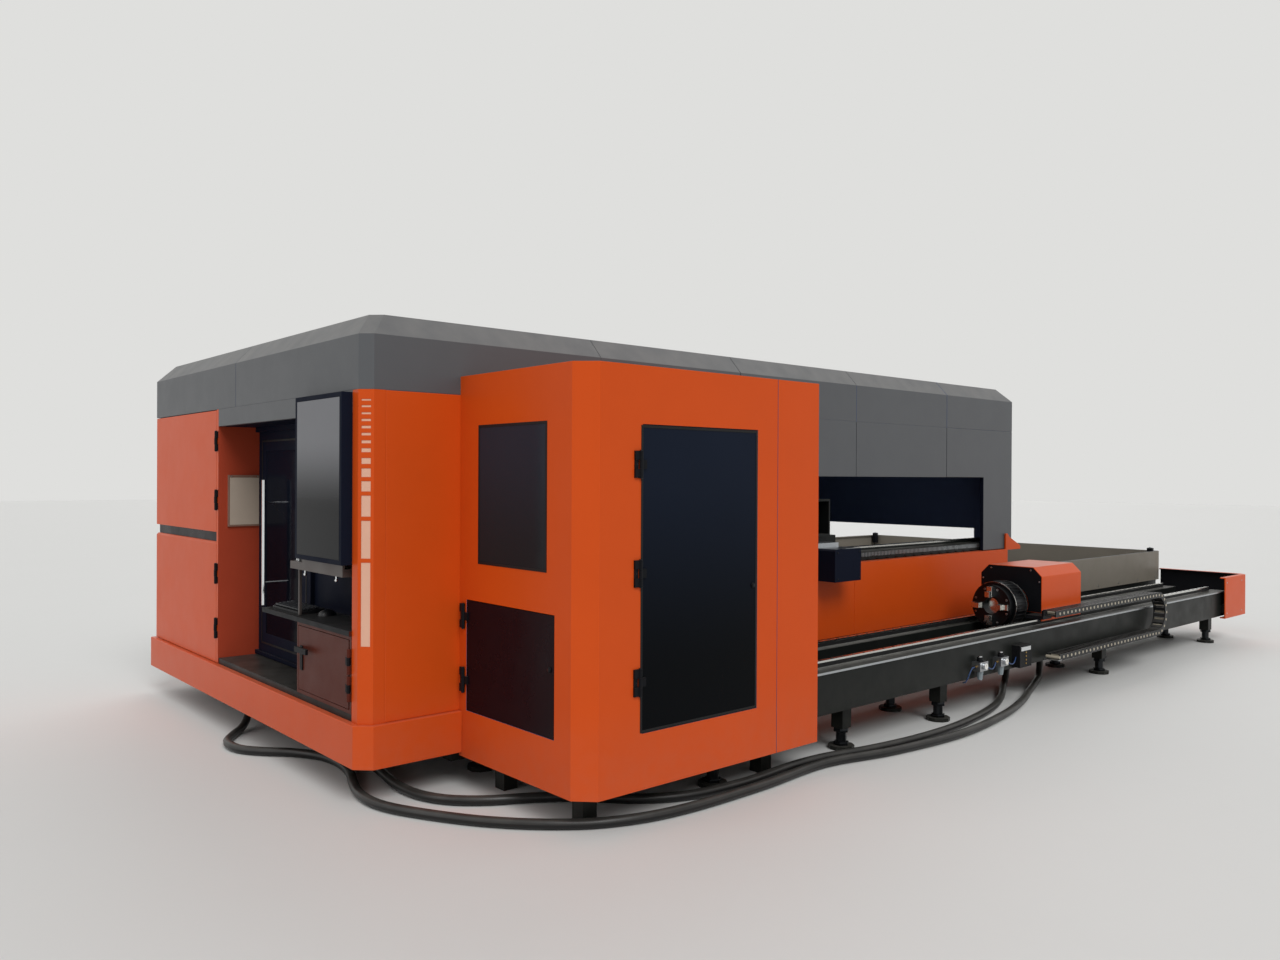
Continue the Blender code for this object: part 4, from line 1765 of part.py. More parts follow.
def smooth_route(route):
    """Read evenly spaced points from a smooth curve between a route's upright ends."""
    points = [Vector(point) for point in route]
    fine = []
    for index in range(1, len(points) - 2):
        before, start, end, after = points[index - 1:index + 3]
        for step in range(HOSE_FINE_STEPS):
            t = step / HOSE_FINE_STEPS
            place = (2 * start + (end - before) * t
                     + (2 * before - 5 * start + 4 * end - after) * t ** 2
                     + (3 * start - before - 3 * end + after) * t ** 3) / 2
            place.z = max(place.z, HOSE_LIE)
            fine.append(place)
    fine.append(points[-2])
    return [points[0], *evenly_spaced(fine), points[-1]]


def evenly_spaced(points):
    """Return points at equal steps along a finely stepped line."""
    lengths = [0]
    for first, second in zip(points, points[1:]):
        lengths.append(lengths[-1] + (second - first).length)
    count = round(lengths[-1] / HOSE_STEP)
    result = [points[0]]
    position = 0
    for number in range(1, count):
        wanted = lengths[-1] * number / count
        while lengths[position + 1] < wanted:
            position += 1
        share = (wanted - lengths[position]) / (lengths[position + 1] - lengths[position])
        result.append(points[position].lerp(points[position + 1], share))
    return [*result, points[-1]]


def make_hose(name, route):
    """Hose as a round tube along its route on the floor."""
    curve = bpy.data.curves.new(name, "CURVE")
    curve.dimensions = "3D"
    curve.bevel_depth = HOSE_RADIUS
    curve.bevel_resolution = 2
    curve.use_fill_caps = True
    points = smooth_route(route)
    spline = curve.splines.new("POLY")
    spline.points.add(len(points) - 1)
    for point, place in zip(spline.points, points):
        point.co = (*place, 1)
    hose = bpy.data.objects.new(name, curve)
    PARTS.objects.link(hose)
    hose.parent = FLOOR_POINT
    paint(hose, name, RUBBER)


clear_scene()
PARTS = add_collection("fiber_laser_cutting_machine")
TOOLS = add_collection("cutters")
FLOOR_POINT = add_floor_point()

make_base_frame()
make_skirt()
make_corner_column()
make_light_strip()
make_side_panels()
make_far_panel()
make_canopy()
make_rear_portal()
make_front_frame()
make_front_doors()
make_document_holder()
make_alcove_wall()
make_access_door()
make_alcove_header()
make_screen()
make_console()
make_console_door()
make_keyboard()
make_mouse()
make_cabinet_shell()
make_cabinet_base()
make_cabinet_window()
make_cabinet_doors()
make_fascia()
make_bed_rail("bed_rail_near", beam_spans()[0], -1)
make_bed_rail("bed_rail_far", beam_spans()[1], 1)
make_gantry()
make_gantry_cover()
make_carriage()
make_cutting_head()
make_pallet()
make_table_frame()
make_table_panels()
make_tube_bed()
make_tube_rails()
make_headstock()
make_rear_chuck()
make_front_chuck()
make_drag_chain()
make_rear_guard()
make_hose("hose_outer", OUTER_HOSE_ROUTE)
make_hose("hose_inner", INNER_HOSE_ROUTE)
fit_joinery()
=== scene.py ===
"""Looks of a fiber laser cutting machine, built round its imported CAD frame.

Sizes are metres in the machine's own frame: X from the plane of the operator's front to the
rear, Y from the tube side of the enclosure across its width, Z from the floor. SHIFT takes a
point of that frame to the row frame, in which every piece is left.
"""

from __future__ import annotations

import json
import logging
import math
from dataclasses import dataclass
from enum import Enum
from typing import Mapping, Sequence

import bmesh
import bpy
from mathutils import Matrix, Vector

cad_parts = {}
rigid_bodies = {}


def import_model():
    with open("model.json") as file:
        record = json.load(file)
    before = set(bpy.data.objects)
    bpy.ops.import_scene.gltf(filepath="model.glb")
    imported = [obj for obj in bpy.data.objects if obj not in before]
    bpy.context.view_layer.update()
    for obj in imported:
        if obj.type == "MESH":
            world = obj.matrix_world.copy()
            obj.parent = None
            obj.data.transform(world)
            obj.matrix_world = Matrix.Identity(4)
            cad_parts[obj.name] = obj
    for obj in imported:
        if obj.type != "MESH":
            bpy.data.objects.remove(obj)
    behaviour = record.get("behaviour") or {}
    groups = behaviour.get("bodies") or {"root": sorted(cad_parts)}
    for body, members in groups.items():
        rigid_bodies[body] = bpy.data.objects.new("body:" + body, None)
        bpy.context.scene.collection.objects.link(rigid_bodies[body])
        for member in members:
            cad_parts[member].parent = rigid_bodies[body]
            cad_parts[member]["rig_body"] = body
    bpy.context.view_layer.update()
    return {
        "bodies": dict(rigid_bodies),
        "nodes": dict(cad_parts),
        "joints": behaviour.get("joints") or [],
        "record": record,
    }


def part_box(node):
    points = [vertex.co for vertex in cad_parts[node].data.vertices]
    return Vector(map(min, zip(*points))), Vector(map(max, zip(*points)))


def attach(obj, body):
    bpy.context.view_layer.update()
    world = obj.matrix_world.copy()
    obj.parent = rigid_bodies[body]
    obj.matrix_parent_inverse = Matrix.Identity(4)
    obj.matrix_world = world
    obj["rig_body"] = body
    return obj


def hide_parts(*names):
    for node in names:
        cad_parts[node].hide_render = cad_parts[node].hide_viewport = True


LOG = logging.getLogger("machine")
SHIFT = Vector((-4.4125, -1.205, 0.0))
MM = 0.001
# Room left between a laid-on piece and the face under it
GAP = 0.0004
# Edges that turn more than this are shaded sharp
SMOOTH_ANGLE = math.radians(32)
# Edges of a CAD copy that turn more than this are bevelled
SHARP_ANGLE = math.radians(28)
# Faces of a CAD copy that turn less than this are one flat face
FLAT_ANGLE = math.radians(0.6)
# Corners of a CAD copy closer than this are one corner
WELD = 0.00002
# Size of the wiping marks, the dust and the floor grime, and how high the grime reaches
MARKS_MM = 160.0
DUST_MM = 120.0
GRIME_MM = 60.0
GRIME_TOP = 0.55
DUST_COLOUR = "#a8a39b"
GRIME_COLOUR = "#8c867c"
Span = tuple[float, float]
Place = tuple[float, float]
Point = tuple[float, float, float]
Tree = bpy.types.NodeTree
Node = bpy.types.Node
Socket = bpy.types.NodeSocket
Mesh = bpy.types.Mesh
Object = bpy.types.Object


def linear(code: str) -> tuple[float, float, float, float]:
    """Turn an sRGB hex colour into linear values.

    Args:
        code: the colour as "#rrggbb".

    Returns:
        Red, green, blue and alpha.
    """
    values = [int(code[i:i + 2], 16) / 255 for i in (1, 3, 5)]
    channels = [v / 12.92 if v <= 0.04045 else ((v + 0.055) / 1.055) ** 2.4 for v in values]
    return (channels[0], channels[1], channels[2], 1.0)


def add_node(tree: Tree, kind: str, settings: Mapping[str, object] | None = None,
             links: Mapping[str | int, object] | None = None) -> Node:
    """Add one node with its settings and links.

    Args:
        tree: the node tree.
        kind: the node's type name.
        settings: attribute names and values.
        links: input names or numbers, each with a value or with the socket that feeds it.

    Returns:
        The node.
    """
    node = tree.nodes.new(kind)
    for name, value in (settings or {}).items():
        setattr(node, name, value)
    for name, value in (links or {}).items():
        if isinstance(value, Socket):
            tree.links.new(value, node.inputs[name])
        else:
            node.inputs[name].default_value = value
    return node


def mix(tree: Tree, share: object, first: object, second: object, blend: str = "MIX") -> Socket:
    """Return two colours blended by a share."""
    return add_node(tree, "ShaderNodeMix", {"data_type": "RGBA", "blend_type": blend}, {
        0: share, 6: first, 7: second}).outputs[2]


def maths(tree: Tree, operation: str, first: object, second: object,
          clamp: bool = False) -> Socket:
    """Return what an operation makes of two values."""
    return add_node(tree, "ShaderNodeMath", {"operation": operation, "use_clamp": clamp}, {
        0: first, 1: second}).outputs[0]


def fit(tree: Tree, value: Socket, source: Span, target: Span, curve: str = "LINEAR") -> Socket:
    """Return a value fitted from one range to another."""
    return add_node(tree, "ShaderNodeMapRange", {"interpolation_type": curve}, {
        0: value, 1: source[0], 2: source[1], 3: target[0], 4: target[1]}).outputs[0]


def upward(tree: Tree, vector: Socket) -> Socket:
    """Return the Z part of a vector."""
    return add_node(tree, "ShaderNodeSeparateXYZ", links={0: vector}).outputs["Z"]


def ordered(one: float, other: float) -> Span:
    """Return two places as a span, the lower first."""
    return min(one, other), max(one, other)


def link_object(name: str, data: bpy.types.ID) -> Object:
    """Return a new object of some data, linked to the scene.

    Args:
        name: the object's name.
        data: its mesh, curve, camera or lamp.

    Returns:
        The object.
    """
    made = bpy.data.objects.new(name, data)
    bpy.context.scene.collection.objects.link(made)
    return made


def to_mesh(part: bmesh.types.BMesh, name: str) -> Mesh:
    """Turn a bmesh into a mesh and free it.

    Args:
        part: the bmesh, which is freed.
        name: the mesh's name.

    Returns:
        The mesh.
    """
    mesh = bpy.data.meshes.new(name)
    part.to_mesh(mesh)
    part.free()
    return mesh


def soften(part: bmesh.types.BMesh, edges: Sequence[bmesh.types.BMEdge], width: float,
           segments: int = 1, clamp: bool = False) -> None:
    """Round some edges of a solid."""
    bmesh.ops.bevel(part, geom=edges, offset=width, segments=segments, profile=0.5,
                    affect="EDGES", clamp_overlap=clamp)


@dataclass(frozen=True)
class Finish:
    """A surface finish: base colour, gloss, and patterns at real sizes in millimetres."""

    name: str
    colour: str
    roughness: float = 0.5
    metallic: float = 0.0
    mottle: float = 0.05
    mottle_mm: float = 350.0
    grain_mm: float = 6.0
    grain_depth_mm: float = 0.03
    wave_mm: float = 0.0
    wave_depth_mm: float = 0.0
    smudge: float = 0.08
    dust: float = 0.0
    splash: float = 0.0
    ior: float = 1.5
    specular: float = 0.5
    coat: float = 0.0
    stretch: Point = (1.0, 1.0, 1.0)

    def material(self) -> bpy.types.Material:
        """Return this finish as a material, made the first time it is asked for.

        Returns:
            The material.
        """
        found = bpy.data.materials.get(self.name)
        if found:
            return found
        material = bpy.data.materials.new(self.name)
        material.use_nodes = True
        tree = material.node_tree
        tree.nodes.clear()
        shader = add_node(tree, "ShaderNodeBsdfPrincipled", links={
            "Metallic": self.metallic, "IOR": self.ior, "Specular IOR Level": self.specular,
            "Coat Weight": self.coat, "Coat Roughness": 0.08})
        add_node(tree, "ShaderNodeOutputMaterial", links={"Surface": shader.outputs[0]})
        place = add_node(tree, "ShaderNodeTexCoord").outputs["Object"]
        self.colour_layers(tree, shader, place)
        self.gloss_layers(tree, shader, place)
        self.relief_layers(tree, shader, place)
        return material

    def noise(self, tree: Tree, place: Socket, size_mm: float, detail: float = 3.0) -> Socket:
        """Return a noise whose lumps are a size in millimetres, stretched as the finish is.

        Args:
            tree: the node tree.
            place: the coordinates that the patterns are laid out in.
            size_mm: how big a lump is.
            detail: how many finer layers it has.

        Returns:
            The noise, from 0 to 1.
        """
        fitted = add_node(tree, "ShaderNodeMapping", links={0: place, "Scale": self.stretch})
        node = add_node(tree, "ShaderNodeTexNoise", links={
            "Vector": fitted.outputs[0], "Scale": 1.0 / (size_mm * MM), "Detail": detail})
        return node.outputs["Fac"]

    def colour_layers(self, tree: Tree, shader: Node, place: Socket) -> None:
        """Feed the base colour: the finish's own, mottled, with dust on what faces up.

        Args:
            tree: the node tree.
            shader: the shader node that is fed.
            place: the coordinates that the patterns are laid out in.
        """
        base = linear(self.colour)
        dark = tuple(v * (1 - self.mottle) for v in base[:3]) + (1.0,)
        pale = tuple(min(1.0, v * (1 + self.mottle)) for v in base[:3]) + (1.0,)
        broad = mix(tree, self.noise(tree, place, self.mottle_mm), dark, pale)
        fine = self.noise(tree, place, self.grain_mm * 4)
        colour = mix(tree, self.mottle, broad, fine, "OVERLAY")
        if self.dust:
            facing = upward(tree, add_node(tree, "ShaderNodeNewGeometry").outputs["True Normal"])
            amount = maths(tree, "MULTIPLY", facing, self.noise(tree, place, DUST_MM, 6.0))
            share = maths(tree, "MULTIPLY", amount, self.dust * 2, True)
            colour = mix(tree, share, colour, linear(DUST_COLOUR))
        if self.splash:
            near = fit(tree, upward(tree, place), (0.0, GRIME_TOP), (self.splash * 2, 0.0))
            share = maths(tree, "MULTIPLY", near, self.noise(tree, place, GRIME_MM, 8.0), True)
            colour = mix(tree, share, colour, linear(GRIME_COLOUR))
        tree.links.new(colour, shader.inputs["Base Color"])

    def gloss_layers(self, tree: Tree, shader: Node, place: Socket) -> None:
        """Feed the roughness: the finish's own, with hand marks and streaks.

        Args:
            tree: the node tree.
            shader: the shader node that is fed.
            place: the coordinates that the patterns are laid out in.
        """
        limits = (max(0.02, self.roughness - self.smudge), min(1.0, self.roughness + self.smudge))
        spread = fit(tree, self.noise(tree, place, MARKS_MM, 5.0), (0.3, 0.7), limits)
        tree.links.new(spread, shader.inputs["Roughness"])

    def relief_layers(self, tree: Tree, shader: Node, place: Socket) -> None:
        """Feed the normal: fine grain, over the slow waves of thin sheet.

        Args:
            tree: the node tree.
            shader: the shader node that is fed.
            place: the coordinates that the patterns are laid out in.
        """
        normal = None
        layers = ((self.grain_mm, self.grain_depth_mm), (self.wave_mm, self.wave_depth_mm))
        for size, depth in layers:
            if not size or not depth:
                continue
            inputs = {"Height": self.noise(tree, place, size, 2.0), "Distance": depth * MM}
            if normal:
                inputs["Normal"] = normal
            normal = add_node(tree, "ShaderNodeBump", links=inputs).outputs[0]
        if normal:
            tree.links.new(normal, shader.inputs["Normal"])


@dataclass(frozen=True)
class TintedGlass(Finish):
    """Dark tinted pane: black body under a polished face, with faint wiping marks.

    The painted light colour is the colour above the upper level in metres; it fades to the finish's
    own
    colour at the lower one: painted light, for the lit room that shows in the upper part of such a
    pane.
    """

    crown: str = "#101318"
    level: Span = (0.0, 1.0)

    def colour_layers(self, tree: Tree, shader: Node, place: Socket) -> None:
        """Feed the base colour: from the body's at the foot to the painted light colour at the head.

        Args:
            tree: the node tree.
            shader: the shader node that is fed.
            place: the coordinates that the patterns are laid out in.
        """
        rise = fit(tree, upward(tree, place), self.level, (0.0, 1.0), "SMOOTHSTEP")
        tint = mix(tree, rise, linear(self.colour), linear(self.crown))
        cloud = self.noise(tree, place, self.mottle_mm, 4.0)
        tree.links.new(mix(tree, self.mottle, tint, cloud, "OVERLAY"), shader.inputs["Base Color"])

    def gloss_layers(self, tree: Tree, shader: Node, place: Socket) -> None:
        """Feed the roughness: nearly none, a little more where a cloth has wiped.

        Args:
            tree: the node tree.
            shader: the shader node that is fed.
            place: the coordinates that the patterns are laid out in.
        """
        limits = (self.roughness, self.roughness + self.smudge)
        spread = fit(tree, self.noise(tree, place, MARKS_MM, 6.0), (0.45, 0.75), limits)
        tree.links.new(spread, shader.inputs["Roughness"])


class Coat(Enum):
    """The finishes of the machine."""

    # Epoxy powder coat cured on sheet: satin, with slow waves in what it reflects.
    # Its orange peel is drawn ten times as coarse as the real one, so that it shows.
    ORANGE = Finish("orange_powder_coat", "#cc4d15", 0.33, grain_mm=34.0, grain_depth_mm=0.02,
                    wave_mm=600.0, wave_depth_mm=0.4, dust=0.08, splash=0.1, mottle=0.03,
                    specular=0.15, smudge=0.03)
    # The alcove's jamb: the same paint, duller, its colour darkened and browned as painted shade of
    # the alcove
    JAMB = Finish("rubbed_orange_coat", "#a8432c", 0.45, grain_mm=34.0, grain_depth_mm=0.02,
                  wave_mm=600.0, wave_depth_mm=0.4, mottle=0.05, specular=0.1, smudge=0.06)
    # The same coat with a fine texture: duller, and it holds dust
    GREY = Finish("grey_texture_coat", "#525457", 0.46, grain_mm=30.0, grain_depth_mm=0.03,
                  wave_mm=600.0, wave_depth_mm=0.5, dust=0.2, mottle=0.035, specular=0.42,
                  smudge=0.03)
    # Beige grey coat of the exchange table: dustier and more mottled than the shell's
    TABLE = Finish("table_grey_coat", "#787268", 0.5, grain_mm=30.0, grain_depth_mm=0.04,
                   wave_mm=500.0, wave_depth_mm=0.5, dust=0.12, mottle=0.06, specular=0.35)
    # Blue-black coat, nearly matt, so that it stays dark where it is seen at a slant
    NAVY = Finish("navy_coat", "#151926", 0.45, grain_mm=30.0, grain_depth_mm=0.02,
                  wave_mm=400.0, wave_depth_mm=0.3, dust=0.04, mottle=0.08, specular=0.02)
    # The coat inside the shell: navy painted paler than the outer coat, as painted light for the
    # unlit inside
    LINING = Finish("navy_lining_coat", "#56668c", 0.5, grain_mm=30.0, grain_depth_mm=0.03,
                    wave_mm=400.0, wave_depth_mm=0.4, mottle=0.08, specular=0.3)
    # Black coat of hinges and plates: faintly grained, pale dust where it faces up
    BLACK = Finish("black_coat", "#141518", 0.4, grain_mm=30.0, grain_depth_mm=0.03,
                   dust=0.04, splash=0.03, mottle=0.10, specular=0.08)
    # Brushed paint over welded sections: uneven, dusty where it faces up
    FRAME = Finish("frame_paint", "#131615", 0.38, grain_mm=26.0, grain_depth_mm=0.06,
                   dust=0.09, splash=0.05, mottle=0.16, specular=0.14, smudge=0.08)
    # Brownish red coat of the console: a soft sheen over slow waves
    MAROON = Finish("maroon_coat", "#502319", 0.36, grain_mm=30.0, grain_depth_mm=0.02,
                    wave_mm=500.0, wave_depth_mm=0.3, mottle=0.05, specular=0.1)
    # Black coat with a plum tint, glossier than the others
    SIDE_DOOR = Finish("dark_plum_coat", "#190d12", 0.3, grain_mm=30.0, grain_depth_mm=0.02,
                       wave_mm=500.0, wave_depth_mm=0.3, mottle=0.05, specular=0.08)
    # Warm grey coat under a thin layer of dust
    SHELF = Finish("shelf_coat", "#4d4542", 0.4, grain_mm=20.0, grain_depth_mm=0.02,
                   dust=0.1, mottle=0.07, specular=0.4)
    # Ground and drawn steel: bright, streaked along its length
    GROUND = Finish("ground_steel", "#d6d6d2", 0.22, 1.0, mottle=0.06, grain_mm=8.0,
                    grain_depth_mm=0.01, stretch=(0.02, 1.0, 1.0), smudge=0.08)
    # Flame-cut slats: scaled grey steel, browned by heat along the edges
    SLAT = Finish("sawn_steel", "#6f6a64", 0.6, 0.85, mottle=0.3, mottle_mm=90.0,
                  grain_mm=6.0, grain_depth_mm=0.12, smudge=0.15)
    # Oil-blackened steel: dark metal with a cloudy tone
    DARK_STEEL = Finish("blackened_steel", "#2c2e31", 0.34, 0.95, mottle=0.12, mottle_mm=160.0,
                        grain_mm=10.0, grain_depth_mm=0.02)
    # Zinc plating: bright, with a small spangle
    ZINC = Finish("zinc_plated_steel", "#b4b8bb", 0.32, 1.0, mottle=0.08, mottle_mm=30.0,
                  grain_mm=4.0, grain_depth_mm=0.01)
    # Polished chrome: a mirror dulled by finger marks
    CHROME = Finish("polished_chrome", "#dcdee0", 0.09, 1.0, mottle=0.02, smudge=0.04,
                    grain_mm=40.0, grain_depth_mm=0.005)
    # Anodised aluminium: pale satin metal with a very fine grain
    ALUMINIUM = Finish("anodised_aluminium", "#a5a7aa", 0.36, 1.0, mottle=0.05,
                       grain_mm=4.0, grain_depth_mm=0.01)
    # Turned brass: warm metal with fine tool marks
    BRASS = Finish("turned_brass", "#b08d4a", 0.3, 1.0, mottle=0.06, mottle_mm=20.0,
                   grain_mm=2.0, grain_depth_mm=0.01)
    # Pale orange lens plastic: a clear gloss over a soft, even body
    LENS = Finish("lens_plastic", "#dba98f", 0.3, mottle=0.04, grain_mm=12.0,
                  grain_depth_mm=0.02, coat=0.3)
    # Black moulded plastic: a soft sheen with a fine mould texture
    PLASTIC = Finish("black_abs", "#101114", 0.4, mottle=0.08, grain_mm=6.0,
                     grain_depth_mm=0.03)
    # Keycap plastic, a shade paler, with a finer texture
    KEYCAP = Finish("keycap_abs", "#2a2c30", 0.42, mottle=0.06, grain_mm=4.0,
                    grain_depth_mm=0.02)
    # Chain nylon: dull black, dusty along its upper run
    NYLON = Finish("chain_nylon", "#1a1b1d", 0.4, mottle=0.10, mottle_mm=60.0, grain_mm=6.0,
                   grain_depth_mm=0.03, dust=0.12, specular=0.3)
    # Pin heads along the chain's side, painted pale as highlights that light makes on its links
    PIN = Finish("chain_pin_nylon", "#a79f8e", 0.4, mottle=0.08, mottle_mm=30.0, grain_mm=4.0,
                 grain_depth_mm=0.02)
    # Filter bowl: grey-blue and wet-looking under its gloss
    BOWL = Finish("polycarbonate_bowl", "#7f8a90", 0.12, mottle=0.05, coat=0.6,
                  grain_mm=10.0, grain_depth_mm=0.02, smudge=0.05)
    # Blank white dial under a clear cover
    DIAL = Finish("white_dial", "#e6e4de", 0.35, mottle=0.02, coat=0.4, grain_mm=10.0)
    # Polyurethane air tube: glossy blue
    TUBE = Finish("polyurethane_tube", "#24406e", 0.25, mottle=0.05, coat=0.3, grain_mm=12.0,
                  grain_depth_mm=0.02)
    # Clear film over the orange coat, its colour darkened as painted shade of the alcove: wavy gloss
    WALLET = Finish("clear_wallet", "#8a6a5c", 0.22, mottle=0.08, coat=0.5, grain_mm=25.0,
                    grain_depth_mm=0.5, smudge=0.1)
    # Blank sheet seen through the film: browned by the film and darkened as painted shade of the
    # alcove; flat, faintly clouded
    PAPER = Finish("plain_paper", "#b8a898", 0.6, mottle=0.05, mottle_mm=90.0, grain_mm=40.0,
                   grain_depth_mm=0.3, coat=0.4)
    # Push buttons: bright, smooth plastic
    RED = Finish("red_abs", "#b3241c", 0.3, mottle=0.03, grain_mm=3.0)
    GREEN = Finish("green_abs", "#2f8a4a", 0.3, mottle=0.03, grain_mm=3.0)
    # Hose rubber: black, coarsely textured, with dust on top
    RUBBER = Finish("hose_rubber", "#0d0d0e", 0.36, mottle=0.15, mottle_mm=60.0,
                    grain_mm=12.0, grain_depth_mm=0.25, dust=0.1, specular=0.4)
    # Sealing rubber: matt black
    SEAL = Finish("seal_rubber", "#0b0b0c", 0.6, mottle=0.1, mottle_mm=40.0, grain_mm=5.0,
                  grain_depth_mm=0.05, specular=0.3)
    # Smoked pane whose body is a neutral dark grey, paler towards its top as painted light
    SMOKED = TintedGlass("smoked_glass", "#232426", 0.08, mottle=0.05, smudge=0.05,
                         grain_mm=700.0, grain_depth_mm=0.3, specular=0.05, crown="#2c2e37",
                         level=(1.1, 1.8))
    # Blue-black laser safety glass, paler where light comes through behind its upper half
    GLASS = TintedGlass("tinted_glass", "#06080b", 0.05, mottle=0.08, smudge=0.05,
                        grain_mm=700.0, grain_depth_mm=0.3, specular=0.05, crown="#161d2b",
                        level=(0.6, 1.75))
    # The window of the sliding door, dull so that it stays dark beside the orange jamb; a little
    # paler towards its top as painted light
    DOOR_PANE = TintedGlass("door_pane", "#0b0e16", 0.1, mottle=0.08, smudge=0.05,
                            grain_mm=700.0, grain_depth_mm=0.3, specular=0.012,
                            crown="#141925", level=(0.9, 1.8))
    # The screen's front pane: glossy, with a painted reflection of the light room that pales its
    # upper part
    SCREEN = TintedGlass("display_pane", "#090a0e", 0.03, mottle=0.05, smudge=0.03,
                         grain_mm=900.0, grain_depth_mm=0.4, specular=0.1, crown="#75767a",
                         level=(1.38, 1.74))
    # Plain pale studio floor, barely mottled
    FLOOR = Finish("pale_floor", "#d9d9d7", 0.6, mottle=0.01, mottle_mm=2000.0,
                   grain_mm=20.0, grain_depth_mm=0.0, smudge=0.02)

    def material(self) -> bpy.types.Material:
        """Return the material of this finish."""
        return self.value.material()


def spans(node: str) -> tuple[Span, Span, Span]:
    """Return a CAD node's three spans in the machine's frame.

    Args:
        node: the node's name.

    Returns:
        Its spans along X, Y and Z.
    """
    low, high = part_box(node)
    low, high = low - SHIFT, high - SHIFT
    return (low.x, high.x), (low.y, high.y), (low.z, high.z)


LAY = {
    "X": Matrix(((0, 0, 1, 0), (1, 0, 0, 0), (0, 1, 0, 0), (0, 0, 0, 1))),
    "Y": Matrix(((0, 1, 0, 0), (0, 0, 1, 0), (1, 0, 0, 0), (0, 0, 0, 1))),
    "Z": Matrix.Identity(4),
}


